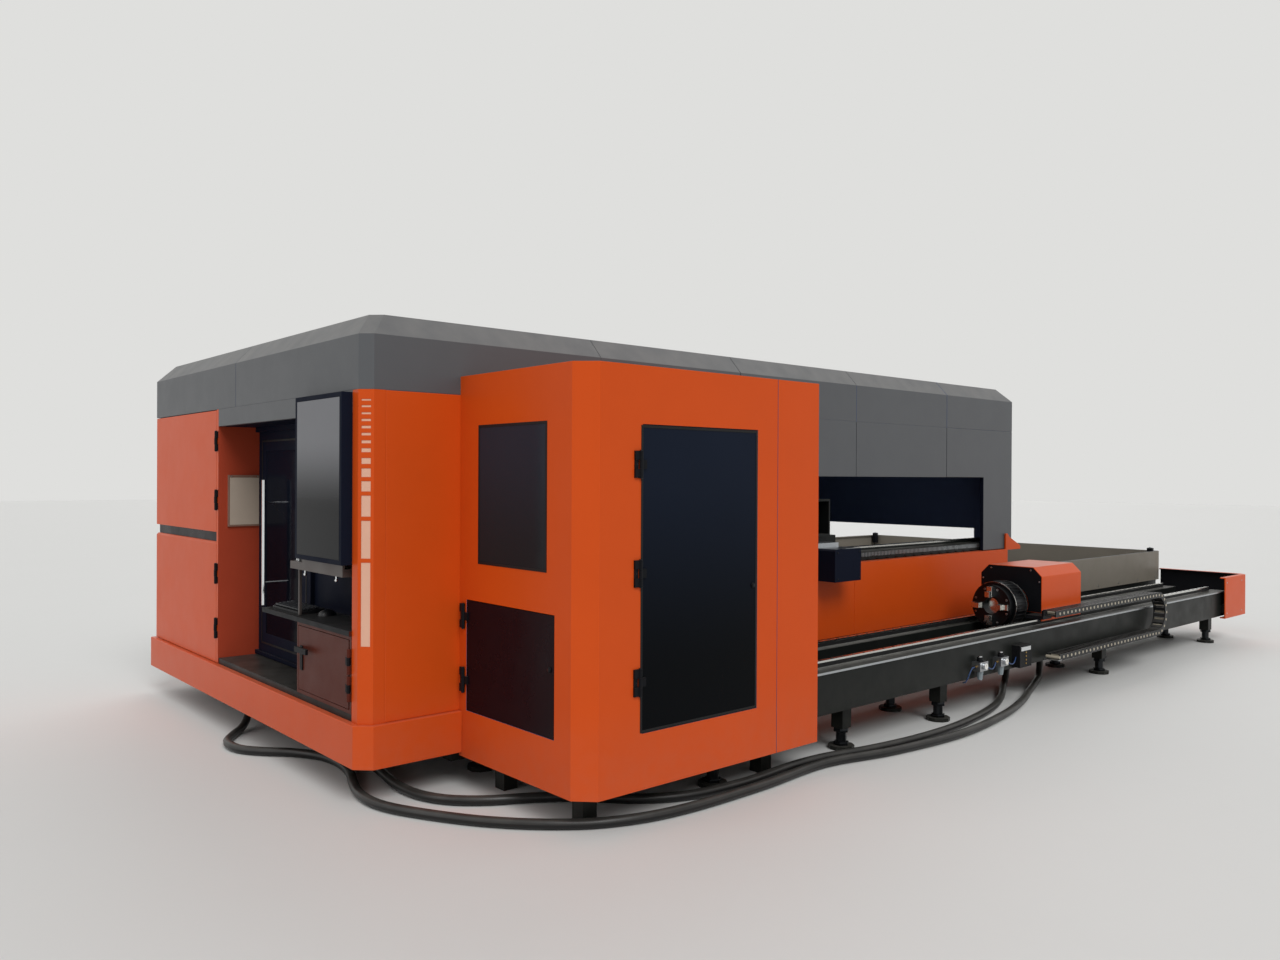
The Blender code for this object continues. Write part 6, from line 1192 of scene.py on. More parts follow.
@dataclass
class TubeCabinet:
    """Cabinet over the tube bed's front end."""

    bend: float = 0.004
    side_heights: tuple[float, ...] = (0.545, 0.86)
    glass_heights: tuple[float, ...] = (0.641, 1.123, 1.606)
    hinge_reach: float = 0.07
    side_block: tuple[Span, Span] = ((0.4, 0.5148), (-0.12, 0.0))
    glass_block: tuple[Span, Span] = ((0.7, 0.9), (-1.05, -1.0002))
    near_side: float = -1.0
    glass_width: float = 0.7655
    seal: float = 0.012

    def build(self, frame: dict) -> None:
        """Dress the cabinet, its doors and the front chuck.
        """
        reach = self.hinge_reach
        side = tuple(Zone(*self.side_block, (height - reach, height + reach), 2)
                     for height in self.side_heights)
        glass = tuple(Zone(*self.glass_block, (height - reach, height + reach), 2)
                      for height in self.glass_heights)
        dress(
            frame,
            Casing("cabinet_shell", (Coat.ORANGE, Coat.LINING, Coat.BLACK), self.bend,
                   side + glass, lining=1),
            Casing("cabinet_base", (Coat.FRAME,), 0.002),
            Casing("cabinet_window", (Coat.SMOKED,), 0.0),
            Casing("cabinet_side_door", (Coat.SIDE_DOOR, Coat.SIDE_DOOR, Coat.BLACK), 0.002,
                   side),
            Casing("cabinet_glass_door", (Coat.GLASS, Coat.GLASS, Coat.BLACK), 0.0, glass),
            Casing("front_chuck_block", (Coat.FRAME,), 0.004),
            Casing("front_chuck_ring", (Coat.GROUND,), 0.0, smooth=True),
        )
        Hinge("side_door_leaves", "machine", "cabinet_shell", (0.505, -0.049), 0.515, "X",
              self.side_heights, side=1).build()
        Hinge("glass_door_leaves", "machine", "cabinet_shell", (0.828, -1.010), self.near_side, "Y",
              self.glass_heights).build()
        self.build_seals()

    def build_seals(self) -> None:
        """Lay the seals of the window and the glass door, and set the door's lock."""
        x, y, z = spans("cabinet_window")
        seal = Shape("cabinet_window_seal", Coat.SEAL)
        seal.border(y, z, self.seal, (x[0] - 0.002, x[0] - GAP), "X", 0, 0.0006)
        seal.finish("machine", "cabinet_window")
        x, _, z = spans("cabinet_glass_door")
        face = self.near_side
        door = Shape("glass_door_seal", Coat.SEAL, Coat.DARK_STEEL, Coat.BLACK)
        door.border((x[1] - self.glass_width, x[1] - 0.001), (z[0] + 0.001, z[1] - 0.001), self.seal,
                    (face - 0.0022, face - GAP), "Y", 0, 0.0006)
        self.lock(door, (x[1] - 0.03, 1.02), "Y", (face - 0.006, face - GAP),
                  (face - 0.008, face - 0.0055), (2, 1))
        door.finish("cabinet_glass_leaf", "cabinet_glass_door")
        lock = Shape("side_door_lock", Coat.DARK_STEEL, Coat.BLACK)
        self.lock(lock, (spans("cabinet_side_door")[1][0] + 0.03, 0.70), "X",
                  (0.509, 0.515 - GAP), (0.507, 0.5095), (1, 0))
        lock.finish("cabinet_side_leaf", "cabinet_side_door")

    def lock(self, shape: Shape, place: Place, axis: str, body: Span, core: Span,
             coats: tuple[int, int]) -> None:
        """Add a cam lock: a round body and the core in it."""
        shape.rod(place, 0.013, body, axis, coats[0], 20, edge=0.001)
        shape.rod(place, 0.008, core, axis, coats[1], 16, edge=0.0005)


@dataclass
class SheetBed:
    """Welded bed, rails, gantry, head and pallet."""

    tooth_pitch: float = 0.018
    slat_pitch: float = 0.098815
    slat_count: int = 26
    slat_thickness: float = 0.008
    slat_tooth: float = 0.04
    slat_notch: float = 0.028
    pallet_frame: float = 0.07
    cover_top: float = 1.07
    # Each rail: its node, its middle, the face of its rack, and from its plate's outer edge
    # to the bolts
    rails: tuple[tuple[str, float, float, float], ...] = (
        ("bed_rail_near", 0.205, 0.0365, 0.1568), ("bed_rail_far", 3.115, 3.2835, -0.1568))
    rail_half: float = 0.02
    rail_run: Span = (0.0, 6.0)
    rail_top: Span = (1.035, 1.045)
    tooth: Point = (0.006, 0.0024, 0.030)
    tooth_level: float = 0.9905
    bolt: Point = (0.008, 0.008, 0.003)
    bolt_pitch: float = 0.12
    track_edges: Place = (-0.0157, 0.0152)
    track_thickness: float = 0.0005
    track_depth: Span = (0.016, 0.005)
    ridges: Zone = Zone((3.28, 3.3), (0.2, 3.2), (1.15, 1.39), 1)
    lid: Zone = Zone((3.2, 3.6), (-0.21, 0.12), (1.0695, 1.2), 1)
    collar: Zone = Zone((3.1, 3.3), (1.5, 1.8), (1.016, 1.059), 1)
    nozzle: Zone = Zone((3.1, 3.3), (1.5, 1.8), (0.9, 1.0159), 2)

    def build(self, frame: dict) -> None:
        """Dress the sheet side of the machine.
        """
        dress(
            frame,
            Casing("base_frame", (Coat.FRAME,), 0.0),
            Casing("bed_fascia", (Coat.ORANGE,), 0.004),
            *(Casing(node, (Coat.FRAME, Coat.GROUND), 0.0, (
                Zone(self.rail_run, (middle - self.rail_half, middle + self.rail_half),
                     self.rail_top, 1),))
              for node, middle, _, _ in self.rails),
            Casing("gantry_beam", (Coat.FRAME, Coat.GROUND), 0.004, (self.ridges,)),
            Casing("gantry_cover", (Coat.NAVY, Coat.ZINC), 0.003, (self.lid,)),
            Casing("cutting_carriage", (Coat.BLACK,), 0.004),
            Casing("cutting_head", (Coat.ALUMINIUM, Coat.ZINC, Coat.BRASS), 0.003,
                   (self.collar, self.nozzle)),
        )
        self.build_rails()
        self.build_pallet()
        self.build_head()
        self.build_cover_trim()

    def build_rails(self) -> None:
        """Cut the fine rack teeth, set the rail bolts and grind the tracks of both sides."""
        for node, centre, face, bolts in self.rails:
            x, y, z = spans(node)
            middle = y[0 if bolts > 0 else 1] + bolts
            Row(f"{node}_teeth", "machine", node, Coat.ZINC,
                start=(x[0] + 0.02, face, self.tooth_level),
                step=(self.tooth_pitch, 0.0, 0.0), count=290, size=self.tooth,
                solid=Repeat.Solid.BLOCK).build()
            Row(f"{node}_bolts", "machine", node, Coat.DARK_STEEL,
                start=(x[0] + self.bolt_pitch / 2, middle, z[1] + GAP),
                step=(self.bolt_pitch, 0.0, 0.0), count=43, size=self.bolt, sides=10).build()
            # Ground running tracks on both flanks of the 30 mm rail
            track = Shape(f"{node}_tracks", Coat.GROUND)
            for edge in self.track_edges:
                flank = centre + edge
                track.box((x[0] + 0.002, x[1] - 0.002), (flank, flank + self.track_thickness),
                          (z[1] - self.track_depth[0], z[1] - self.track_depth[1]))
            track.finish("machine", node)

    def slat(self, y: Span, z: Span) -> Mesh:
        """Return one slat: a plate whose upper edge is cut into points.

        Args:
            y: its span along Y.
            z: its span along Z.

        Returns:
            The slat's mesh.
        """
        count = round((y[1] - y[0]) / self.slat_tooth)
        step = (y[1] - y[0]) / count
        outline = [(y[0], z[0]), (y[1], z[0])]
        for index in range(count):
            right = y[1] - step * index
            outline.append((right, z[1] - self.slat_notch))
            outline.append((right - step / 2, z[1]))
        outline.append((y[0], z[1] - self.slat_notch))
        part = bmesh.new()
        low = [part.verts.new((0.0, a, b)) for a, b in outline]
        high = [part.verts.new((self.slat_thickness, a, b)) for a, b in outline]
        part.faces.new(low)
        part.faces.new(high)
        for index in range(len(low)):
            after = (index + 1) % len(low)
            part.faces.new((low[index], low[after], high[after], high[index]))
        bmesh.ops.recalc_face_normals(part, faces=part.faces)
        return to_mesh(part, "slat")

    def build_pallet(self) -> None:
        """Make the pallet's frame with its skids, and the row of toothed slats."""
        x, y, z = spans("pallet")
        width = self.pallet_frame
        frame = Shape("pallet_frame", Coat.FRAME, Coat.ZINC)
        frame.border(x, y, width, z, "Z", 0, 0.003)
        for place in (y[0] + width / 2, y[1] - width / 2):
            for x_place in (x[0] + 0.3, (x[0] + x[1]) / 2, x[1] - 0.3):
                frame.rod((x_place, place), 0.014, (z[1], z[1] + 0.009), "Z", 1, 6)
        frame.finish("pallet_body", "pallet", ("pallet",))
        inner = (y[0] + width + GAP, y[1] - width - GAP)
        Row("pallet_slats", "pallet_body", "pallet", Coat.SLAT,
            start=(x[0] + width + self.slat_pitch - self.slat_thickness, 0.0, 0.0),
            step=(self.slat_pitch, 0.0, 0.0), count=self.slat_count, size=(1, 1, 1),
            solid=Repeat.Solid.SHAPE, shape=self.slat(inner, (z[0] + 0.02, z[1]))).build()

    def build_head(self) -> None:
        """Add the head's glass covers, connectors and clamp rings."""
        x, y, z = spans("cutting_head")
        middle = (x[0] + x[1]) / 2, (y[0] + y[1]) / 2
        shape = Shape("cutting_head_fittings", Coat.BLACK, Coat.ZINC, Coat.BRASS)
        for height in (1.13, 1.22, 1.34):
            shape.box((x[0] - 0.004, x[0] - GAP), (y[0] + 0.012, y[1] - 0.012),
                      (height, height + 0.045), 0, 0.001)
            for side in (y[0] + 0.02, y[1] - 0.02):
                shape.rod((side, height + 0.0225), 0.004, (x[0] - 0.007, x[0] - 0.0035),
                          "X", 1, 8)
        shape.rod(middle, 0.024, (z[1] + GAP, z[1] + 0.03), "Z", 1, 20, edge=0.002)
        shape.rod(middle, 0.015, (z[1] + 0.03, z[1] + 0.075), "Z", 0, 16, 0.008)
        shape.finish("head", "cutting_head")

    def build_cover_trim(self) -> None:
        """Add the screws and the bright edge of the gantry's end box."""
        x, y, _ = spans("gantry_cover")
        trim = Shape("gantry_cover_trim", Coat.ZINC, Coat.BLACK)
        trim.box((x[0] + 0.12, x[1] - 0.004), (y[0] + 0.004, y[0] + 0.012),
                 (self.cover_top + GAP, self.cover_top + 0.0022))
        for place in (x[0] + 0.03, x[1] - 0.02):
            for height in (0.87, 1.045):
                trim.rod((place, height), 0.006, (y[0] - 0.002, y[0] - GAP), "Y", 1, 10)
        trim.finish("gantry", "gantry_cover")


@dataclass
class ExchangeTable:
    """Table behind the enclosure that the pallet runs out on."""

    roller_radius: float = 0.02
    stop_place: float = 8.78
    rail_lines: Place = (0.455, 2.865)
    screw: Point = (0.007, 0.007, 0.003)
    end_face: Zone = Zone((8.83, 8.9), (-0.2, 3.5), (0.5, 0.7985), 3)
    end_edge: Zone = Zone((8.83, 8.9), (-0.2, 3.5), (0.7985, 0.81), 4)
    near_rail: Zone = Zone((6.0, 8.9), (0.36, 0.44), (0.6395, 0.6405), 1)
    far_rail: Zone = Zone((6.0, 8.9), (2.88, 2.96), (0.6395, 0.6405), 1)
    feet: Zone = Zone((6.0, 8.9), (-0.2, 3.5), (0.0225, 0.1195), 2)
    panel_edge: Zone = Zone((6.0, 8.9), (-0.13, 3.45), (0.7985, 0.81), 1)

    def build(self, frame: dict) -> None:
        """Dress the table.
        """
        dress(
            frame,
            Casing("table_frame", (Coat.FRAME, Coat.GROUND, Coat.DARK_STEEL, Coat.TABLE,
                                   Coat.BLACK), 0.002,
                   (self.end_face, self.end_edge, self.near_rail, self.far_rail, self.feet)),
            *(Casing(node, (Coat.TABLE, Coat.BLACK), 0.003, (self.panel_edge,))
              for node in ("table_panel_near", "table_panel_far")),
        )
        self.build_fittings()

    def build_fittings(self) -> None:
        """Add the guide rollers beside the rails, the stops and the panels' screws."""
        shape = Shape("table_rollers", Coat.ZINC, Coat.BLACK)
        for rail_y in self.rail_lines:
            for number in range(6):
                place = 6.2 + number * 0.5
                shape.rod((place, rail_y), self.roller_radius, (0.60, 0.632), edge=0.002)
                shape.rod((place, rail_y), 0.008, (0.57, 0.6), "Z", 1, 10)
                shape.box((place - 0.02, place + 0.02), (rail_y - 0.022, rail_y + 0.022),
                          (0.560, 0.570), 1, 0.001)
        shape.finish("machine", "table_frame")
        stop = Shape("table_stops", Coat.BLACK, Coat.ZINC)
        for y in ((-0.0875, -0.035), (3.355, 3.4075)):
            stop.box((self.stop_place, self.stop_place + 0.05), y, (0.7, 0.83), 0, 0.003)
            stop.rod((self.stop_place + 0.025, sum(y) / 2), 0.012, (0.8302, 0.838), "Z", 1, 12)
        stop.finish("machine", "table_frame")
        for name, y in (("near", -0.1215), ("far", 3.4085)):
            Row(f"table_screws_{name}", "machine", f"table_panel_{name}", Coat.ZINC,
                start=(6.09, y, 0.53), step=(0.45, 0.0, 0.0), count=7, size=self.screw,
                turn=TURN_Y, sides=10).build()


@dataclass
class AirUnit:
    """Regulators and filter unit on the tube bed's side, with their tubes."""

    face: float = -0.9
    depth: float = 0.06
    regulators: tuple[float, ...] = (3.845, 4.11)
    tube_radius: float = 0.004
    port: float = 0.064
    level: float = 0.33
    knob: Span = (0.3603, 0.388)
    knob_cap: Span = (0.388, 0.394)
    gauge_level: float = 0.332
    sag: float = 0.035
    sway: float = 0.012
    tube_steps: int = 8
    outlets: tuple[float, ...] = (0.285, 0.31, 0.335, 0.36)

    def build(self) -> None:
        """Make knobs, gauges, fittings and the tubes between them."""
        shape = Shape("air_fittings", Coat.BLACK, Coat.CHROME, Coat.DIAL, Coat.BRASS, Coat.TUBE)
        middle = self.face - self.depth / 2
        front = self.face - self.depth
        for x in self.regulators:
            gauge = (x, self.gauge_level)
            shape.rod((x, middle), 0.021, self.knob, "Z", 0, 18, 0.019, 0.002)
            shape.rod((x, middle), 0.014, self.knob_cap, "Z", 1, 16)
            shape.rod(gauge, 0.021, (front - 0.016, front - GAP), "Y", 1, 24, edge=0.001)
            shape.rod(gauge, 0.0185, (front - 0.0172, front - 0.0158), "Y", 2, 24)
            shape.box((x - 0.001, x + 0.001), (front - 0.0180, front - 0.0171),
                      (self.gauge_level, 0.345), 0)
            for side in (-1, 1):
                near = x + side * (0.05 + GAP)
                shape.rod((middle, self.level), 0.008, ordered(near, near + side * 0.014),
                          "X", 3, 12)
        first, second = self.regulators
        for start, end in ((first + self.port, second - self.port),
                           (second + self.port, 4.3147)):
            steps = self.tube_steps
            bows = [math.sin(math.pi * number / steps) for number in range(steps + 1)]
            shape.wire([(start + (end - start) * number / steps, middle - self.sway * bow,
                         self.level - self.sag * bow) for number, bow in enumerate(bows)],
                       self.tube_radius, 4)
        left = first - self.port
        shape.wire([(left, middle, self.level), (left - 0.03, middle, 0.328),
                    (left - 0.06, middle, 0.30), (left - 0.07, middle + 0.01, 0.26),
                    (left - 0.07, middle + 0.026, 0.235), (left - 0.06, middle + 0.05, 0.228)],
                   self.tube_radius, 4)
        for height in self.outlets:
            shape.rod((4.395, height), 0.006, (front - 0.004, front - GAP), "Y", 3, 10)
        shape.box((4.33, 4.46), (front - 0.003, front - GAP), (0.372, 0.40), 1, 0.001)
        shape.finish("machine", "tube_bed")


@dataclass
class TubeBed:
    """Bed, rails and air fittings of the tube side."""

    foot_x: tuple[float, ...] = (1.5, 2.55, 3.56, 5.9, 8.2)
    foot_y: tuple[float, ...] = (-0.8, -0.44)
    rails: tuple[tuple[str, float], ...] = (("outer", -0.815), ("inner", -0.405))
    bolt: Point = (0.007, 0.007, 0.002)
    bolt_pitch: float = 0.1
    rail_half: float = 0.015
    groove_run: Span = (1.31, 8.19)
    groove_height: Span = (0.4965, 0.519)
    groove_depth: float = 0.0012
    edge_strip: Zone = Zone((1.2, 8.5), (-0.915, -0.8995), (0.4745, 0.49), 1)
    unit_block: Zone = Zone((4.31, 4.48), (-0.965, -0.9003), (0.25, 0.42), 4)
    feet: Zone = Zone((1.2, 8.5), (-0.95, -0.3), (0.0225, 0.1195), 5)
    valve_depth: Span = (-0.965, -0.9003)
    valve_half: float = 0.051
    valve_height: Span = (0.2995, 0.365)
    bowl_half: float = 0.03
    bowl_height: Span = (0.235, 0.2994)

    def build(self, frame: dict) -> None:
        """Dress the bed.
        """
        air = AirUnit()
        zones = [self.edge_strip]
        for x in air.regulators:
            zones.append(Zone((x - self.valve_half, x + self.valve_half), self.valve_depth,
                              self.valve_height, 2))
            zones.append(Zone((x - self.bowl_half, x + self.bowl_half), self.valve_depth,
                              self.bowl_height, 3))
        zones += [self.unit_block, self.feet]
        coats = (Coat.FRAME, Coat.ZINC, Coat.ALUMINIUM, Coat.BOWL, Coat.BLACK, Coat.DARK_STEEL)
        dress(frame, Casing("tube_bed", coats, 0.0, tuple(zones)),
              *(Casing(node, (Coat.GROUND, Coat.DARK_STEEL), 0.0)
                for node in ("tube_rail_outer", "tube_rail_inner")))
        for name, y in self.rails:
            Row(f"tube_rail_bolts_{name}", "machine", f"tube_rail_{name}", Coat.DARK_STEEL,
                start=(1.34, y, 0.5302), step=(self.bolt_pitch, 0.0, 0.0), count=68,
                size=self.bolt, sides=8).build()
            # Thin matt black strips on both flanks of the rail: painted shade of its grooves
            groove = Shape(f"tube_rail_groove_{name}", Coat.SEAL)
            for side in (-1, 1):
                near = y + side * (self.rail_half + GAP)
                groove.box(self.groove_run, ordered(near, near + side * self.groove_depth),
                           self.groove_height)
            groove.finish("machine", f"tube_rail_{name}")
        air.build()
        self.build_nuts()

    def build_nuts(self) -> None:
        """Put a lock nut under each leg and one on each pad."""
        nuts = Shape("levelling_nuts", Coat.DARK_STEEL)
        for x in self.foot_x:
            for y in self.foot_y:
                for span in ((0.097, 0.1195), (0.0225, 0.04)):
                    nuts.rod((x, y), 0.046, span, "Z", 0, 6, edge=0.002)
        nuts.finish("machine", "tube_bed")


@dataclass
class TravellingHead:
    """Head that carries the rear chuck along the tube bed."""

    axis: Place = (-0.61, 0.63)
    bolt_circle: float = 0.128
    grip_count: int = 36
    grip_circle: float = 0.1702
    grip_radius: float = 0.0032
    grip_run: Span = (4.63, 4.74)
    band_radius: float = 0.1712
    bands: tuple[Span, ...] = ((4.603, 4.609), (4.757, 4.764))
    screw: Point = (0.006, 0.006, 0.0024)
    plate_screws: tuple[Place, ...] = (
        (-0.83, 0.56), (-0.83, 0.80), (-0.765, 0.88), (-0.455, 0.88), (-0.39, 0.80),
        (-0.39, 0.56))
    front_plate: Zone = Zone((4.84, 4.8425), (-0.9, -0.3), (0.5, 0.95), 2)

    def build(self, frame: dict) -> None:
        """Dress the head, the chuck and its jaws.
        """
        dress(
            frame,
            Casing("headstock_base", (Coat.BLACK,), 0.002),
            Casing("headstock_cover", (Coat.ORANGE, Coat.LINING, Coat.BLACK), 0.004,
                   (self.front_plate,), lining=1),
            Casing("rear_chuck", (Coat.DARK_STEEL,), 0.0, smooth=True),
            *(Casing(f"chuck_jaw_{number}", (Coat.GROUND,), 0.002) for number in range(1, 5)),
        )
        self.build_chuck_details()
        self.build_screws()

    def ring(self, radius: float, count: int, turn: float = 0.0) -> list[Place]:
        """Return places round the spindle's axis, across it.

        Args:
            radius: how far from the axis they are.
            count: how many there are.
            turn: how far the first is turned, in steps.

        Returns:
            The places.
        """
        angles = [2 * math.pi * (number + turn) / count for number in range(count)]
        return [(self.axis[0] + radius * math.cos(angle), self.axis[1] + radius * math.sin(angle))
                for angle in angles]

    def build_chuck_details(self) -> None:
        """Add face screws, machined bands and grip ribs, which turn with the chuck."""
        shape = Shape("rear_chuck_details", Coat.ZINC, Coat.GROUND, Coat.BLACK)
        for place in self.ring(self.bolt_circle, 8, 0.5):
            shape.rod(place, 0.008, (4.5575, 4.5598), "X", 0, 12, edge=0.0006)
            shape.rod(place, 0.004, (4.5570, 4.5576), "X", 2, 6)
        for band in self.bands:
            shape.rod(self.axis, self.band_radius, band, "X", 1, 64)
        for place in self.ring(self.grip_circle, self.grip_count):
            shape.rod(place, self.grip_radius, self.grip_run, "X", 2, 8)
        shape.finish("spindle", "rear_chuck")

    def build_screws(self) -> None:
        """Set the cover's screws along its foot and round its front plate."""
        Row("head_cover_screws", "headstock", "headstock_cover", Coat.ZINC,
            start=(4.89, -0.8512, 0.545), step=(0.13, 0.0, 0.0), count=5,
            size=self.screw, turn=TURN_Y, sides=10).build()
        plate = Shape("head_plate_screws", Coat.ZINC)
        for place in self.plate_screws:
            plate.rod(place, 0.007, (4.8395, 4.8418), "X", 0, 10, edge=0.0006)
        plate.finish("headstock", "headstock_cover")


@dataclass
class EnergyChain:
    """Plastic chain that carries the head's cables."""

    start: float = 4.69
    turn: float = 6.49
    end: float = 4.78
    levels: Span = (0.29, 0.60)
    middle_y: float = -0.98
    pitch: float = 0.06
    width: float = 0.1
    height: float = 0.045
    plate: float = 0.008
    plate_share: float = 0.94
    plate_inset: float = 0.0025
    bar_share: float = 0.42
    bar_thickness: float = 0.006
    bar_play: float = 0.004
    pin_radius: float = 0.0105
    bracket_drop: Span = (0.0205, 0.0165)
    arc_steps: int = 32

    def path(self) -> list[Point]:
        """Return points along the chain's centre line.

        Returns:
            The points, in the machine's frame.
        """
        low, high = self.levels
        radius, middle = (high - low) / 2, (high + low) / 2
        points = [(self.start + self.pitch / 2, self.middle_y, high),
                  (self.turn, self.middle_y, high)]
        for number in range(1, self.arc_steps):
            angle = math.pi / 2 - math.pi * number / self.arc_steps
            points.append((self.turn + radius * math.cos(angle), self.middle_y,
                           middle + radius * math.sin(angle)))
        return [*points, (self.turn, self.middle_y, low), (self.end, self.middle_y, low)]

    def build(self, frame: dict) -> None:
        """Lay the links, which stand for the CAD chain, and one bracket under the end of its lower
        run.
        """
        part = bmesh.new()
        points = [part.verts.new(place) for place in self.path()]
        for before, after in zip(points, points[1:]):
            part.edges.new((before, after))
        line = to_mesh(part, "chain_line")
        plate = self.plate
        mesh = bake_tree(LinkTree.build(), {
            "Pitch": self.pitch,
            "Plate Size": (self.pitch * self.plate_share, plate, self.height),
            "Plate Reach": (0.0, self.width / 2 - plate / 2 - self.plate_inset, 0.0),
            "Bar Size": (self.pitch * self.bar_share, self.width - plate * 2 - self.bar_play,
                         self.bar_thickness),
            "Bar Reach": (0.0, 0.0, self.height / 2 - self.bar_play),
            "Pin Radius": self.pin_radius, "Pin Length": self.width - GAP,
            "Pin Place": (self.pitch / 2, 0.0, 0.0), "Finish": Coat.NYLON.material(),
            "Pin Finish": Coat.PIN.material()}, line)
        mesh.transform(Matrix.Translation(SHIFT))
        settle(mesh, "chain_links", (Coat.NYLON, Coat.PIN), "machine", "drag_chain",
               ("drag_chain",))
        ends = Shape("chain_brackets", Coat.ZINC)
        side = (self.middle_y - self.width / 2, self.middle_y + self.width / 2)
        ends.box((self.end - self.pitch, self.end), side,
                 (self.levels[0] - self.bracket_drop[0], self.levels[0] - self.bracket_drop[1]))
        ends.finish("machine", "drag_chain")


@dataclass
class RearGuard:
    """Orange guard round the tube bed's rear corner."""

    screw: Point = (0.007, 0.007, 0.0024)
    first_screw: Point = (8.31, -0.9512, 0.28)
    step: Point = (0.0, 0.0, 0.29)
    row_step: Point = (0.4, 0.0, 0.0)

    def build(self, frame: dict) -> None:
        """Dress the guard, dark inside.
        """
        dress(frame, Casing("rear_guard", (Coat.ORANGE, Coat.BLACK), 0.004, lining=1))
        Row("guard_screws", "machine", "rear_guard", Coat.ZINC,
            start=self.first_screw, step=self.step, count=2, size=self.screw, turn=TURN_Y,
            row_step=self.row_step, rows=2, sides=10).build()


@dataclass
class FloorHose:
    """One hose on the floor, along a smooth curve through its route."""

    name: str
    route: tuple[Point, ...]
    radius: float = 0.025
    step: float = 0.05
    fine_steps: int = 24
    lift: float = 0.0003
    slim: float = 0.96

    def path(self) -> list[Vector]:
        """Return close points along the hose's line, in the machine's frame.

        Returns:
            The points.
        """
        points = [Vector(p) for p in self.route]
        fine = []
        for index in range(1, len(points) - 2):
            before, start, end, after = points[index - 1:index + 3]
            for number in range(self.fine_steps):
                t = number / self.fine_steps
                place = (2 * start + (end - before) * t
                         + (2 * before - 5 * start + 4 * end - after) * t ** 2
                         + (3 * start - before - 3 * end + after) * t ** 3) / 2
                place.z = max(place.z, self.radius + self.lift)
                fine.append(place)
        fine.append(points[-2])
        kept = [points[0], fine[0]]
        for place in fine[1:]:
            if (place - kept[-1]).length >= self.step:
                kept.append(place)
        return [*kept, points[-1]]

    def build(self) -> Object:
        """Make the hose as a tube that stands for its CAD node.

        Returns:
            The hose.
        """
        places = self.path()
        curve = bpy.data.curves.new(self.name + "_tube", "CURVE")
        curve.dimensions = "3D"
        curve.bevel_depth = self.radius * self.slim
        curve.bevel_resolution = 4
        curve.use_fill_caps = True
        spline = curve.splines.new("POLY")
        spline.points.add(len(places) - 1)
        for point, place in zip(spline.points, places):
            point.co = (*(place + SHIFT), 1.0)
        spline.use_smooth = True
        curve.materials.append(Coat.RUBBER.material())
        piece = link_object(self.name + "_tube", curve)
        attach(piece, "machine")
        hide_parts(self.name)
        length = sum((b - a).length for a, b in zip(places, places[1:]))
        LOG.info("%s is %.2f m long", self.name, length)
        return piece


# Height of a hose's middle line where it lies on the floor
LIE = 0.0253
OUTER_ROUTE: tuple[Point, ...] = (
    (0.17, 1.90, 0.2497), (0.17, 1.90, 0.225), (0.154, 1.878, 0.125), (0.11, 1.82, 0.052),
    (0.05, 1.74, LIE), (-0.04, 1.62, LIE), (-0.11, 1.49, LIE), (-0.11, 1.32, LIE),
    (-0.03, 1.18, LIE), (0.09, 1.05, LIE), (0.18, 0.88, LIE), (0.20, 0.69, LIE),
    (0.17, 0.50, LIE), (0.11, 0.33, LIE), (0.06, 0.15, LIE), (0.06, -0.05, LIE),
    (0.14, -0.26, LIE), (0.31, -0.55, LIE), (0.52, -0.78, LIE), (0.75, -0.93, LIE),
    (1.08, -1.01, LIE), (1.63, -1.015, LIE), (2.17, -0.98, LIE), (2.66, -1.08, LIE),
    (3.29, -1.13, LIE), (3.90, -1.06, LIE), (4.35, -0.95, LIE), (4.72, -0.82, LIE),
    (5.164, -0.659, LIE), (5.257, -0.622, 0.052), (5.325, -0.595, 0.125),
    (5.35, -0.585, 0.225), (5.35, -0.585, 0.2397),
)
INNER_ROUTE: tuple[Point, ...] = (
    (0.32, 0.75, 0.2497), (0.32, 0.75, 0.225), (0.32, 0.723, 0.125), (0.32, 0.65, 0.052),
    (0.32, 0.55, LIE), (0.29, 0.36, LIE), (0.26, 0.15, LIE), (0.27, -0.04, LIE),
    (0.34, -0.20, LIE), (0.48, -0.33, LIE), (0.66, -0.43, LIE), (0.84, -0.57, LIE),
    (1.02, -0.76, LIE), (1.26, -0.89, LIE), (1.60, -0.925, LIE), (1.97, -0.90, LIE),
    (2.25, -0.91, LIE), (2.60, -0.98, LIE), (3.00, -1.02, LIE), (3.45, -1.01, LIE),
    (3.95, -0.93, LIE), (4.35, -0.80, LIE), (4.754, -0.602, LIE), (4.847, -0.566, 0.052),
    (4.915, -0.540, 0.125), (4.94, -0.53, 0.225), (4.94, -0.53, 0.2397),
)


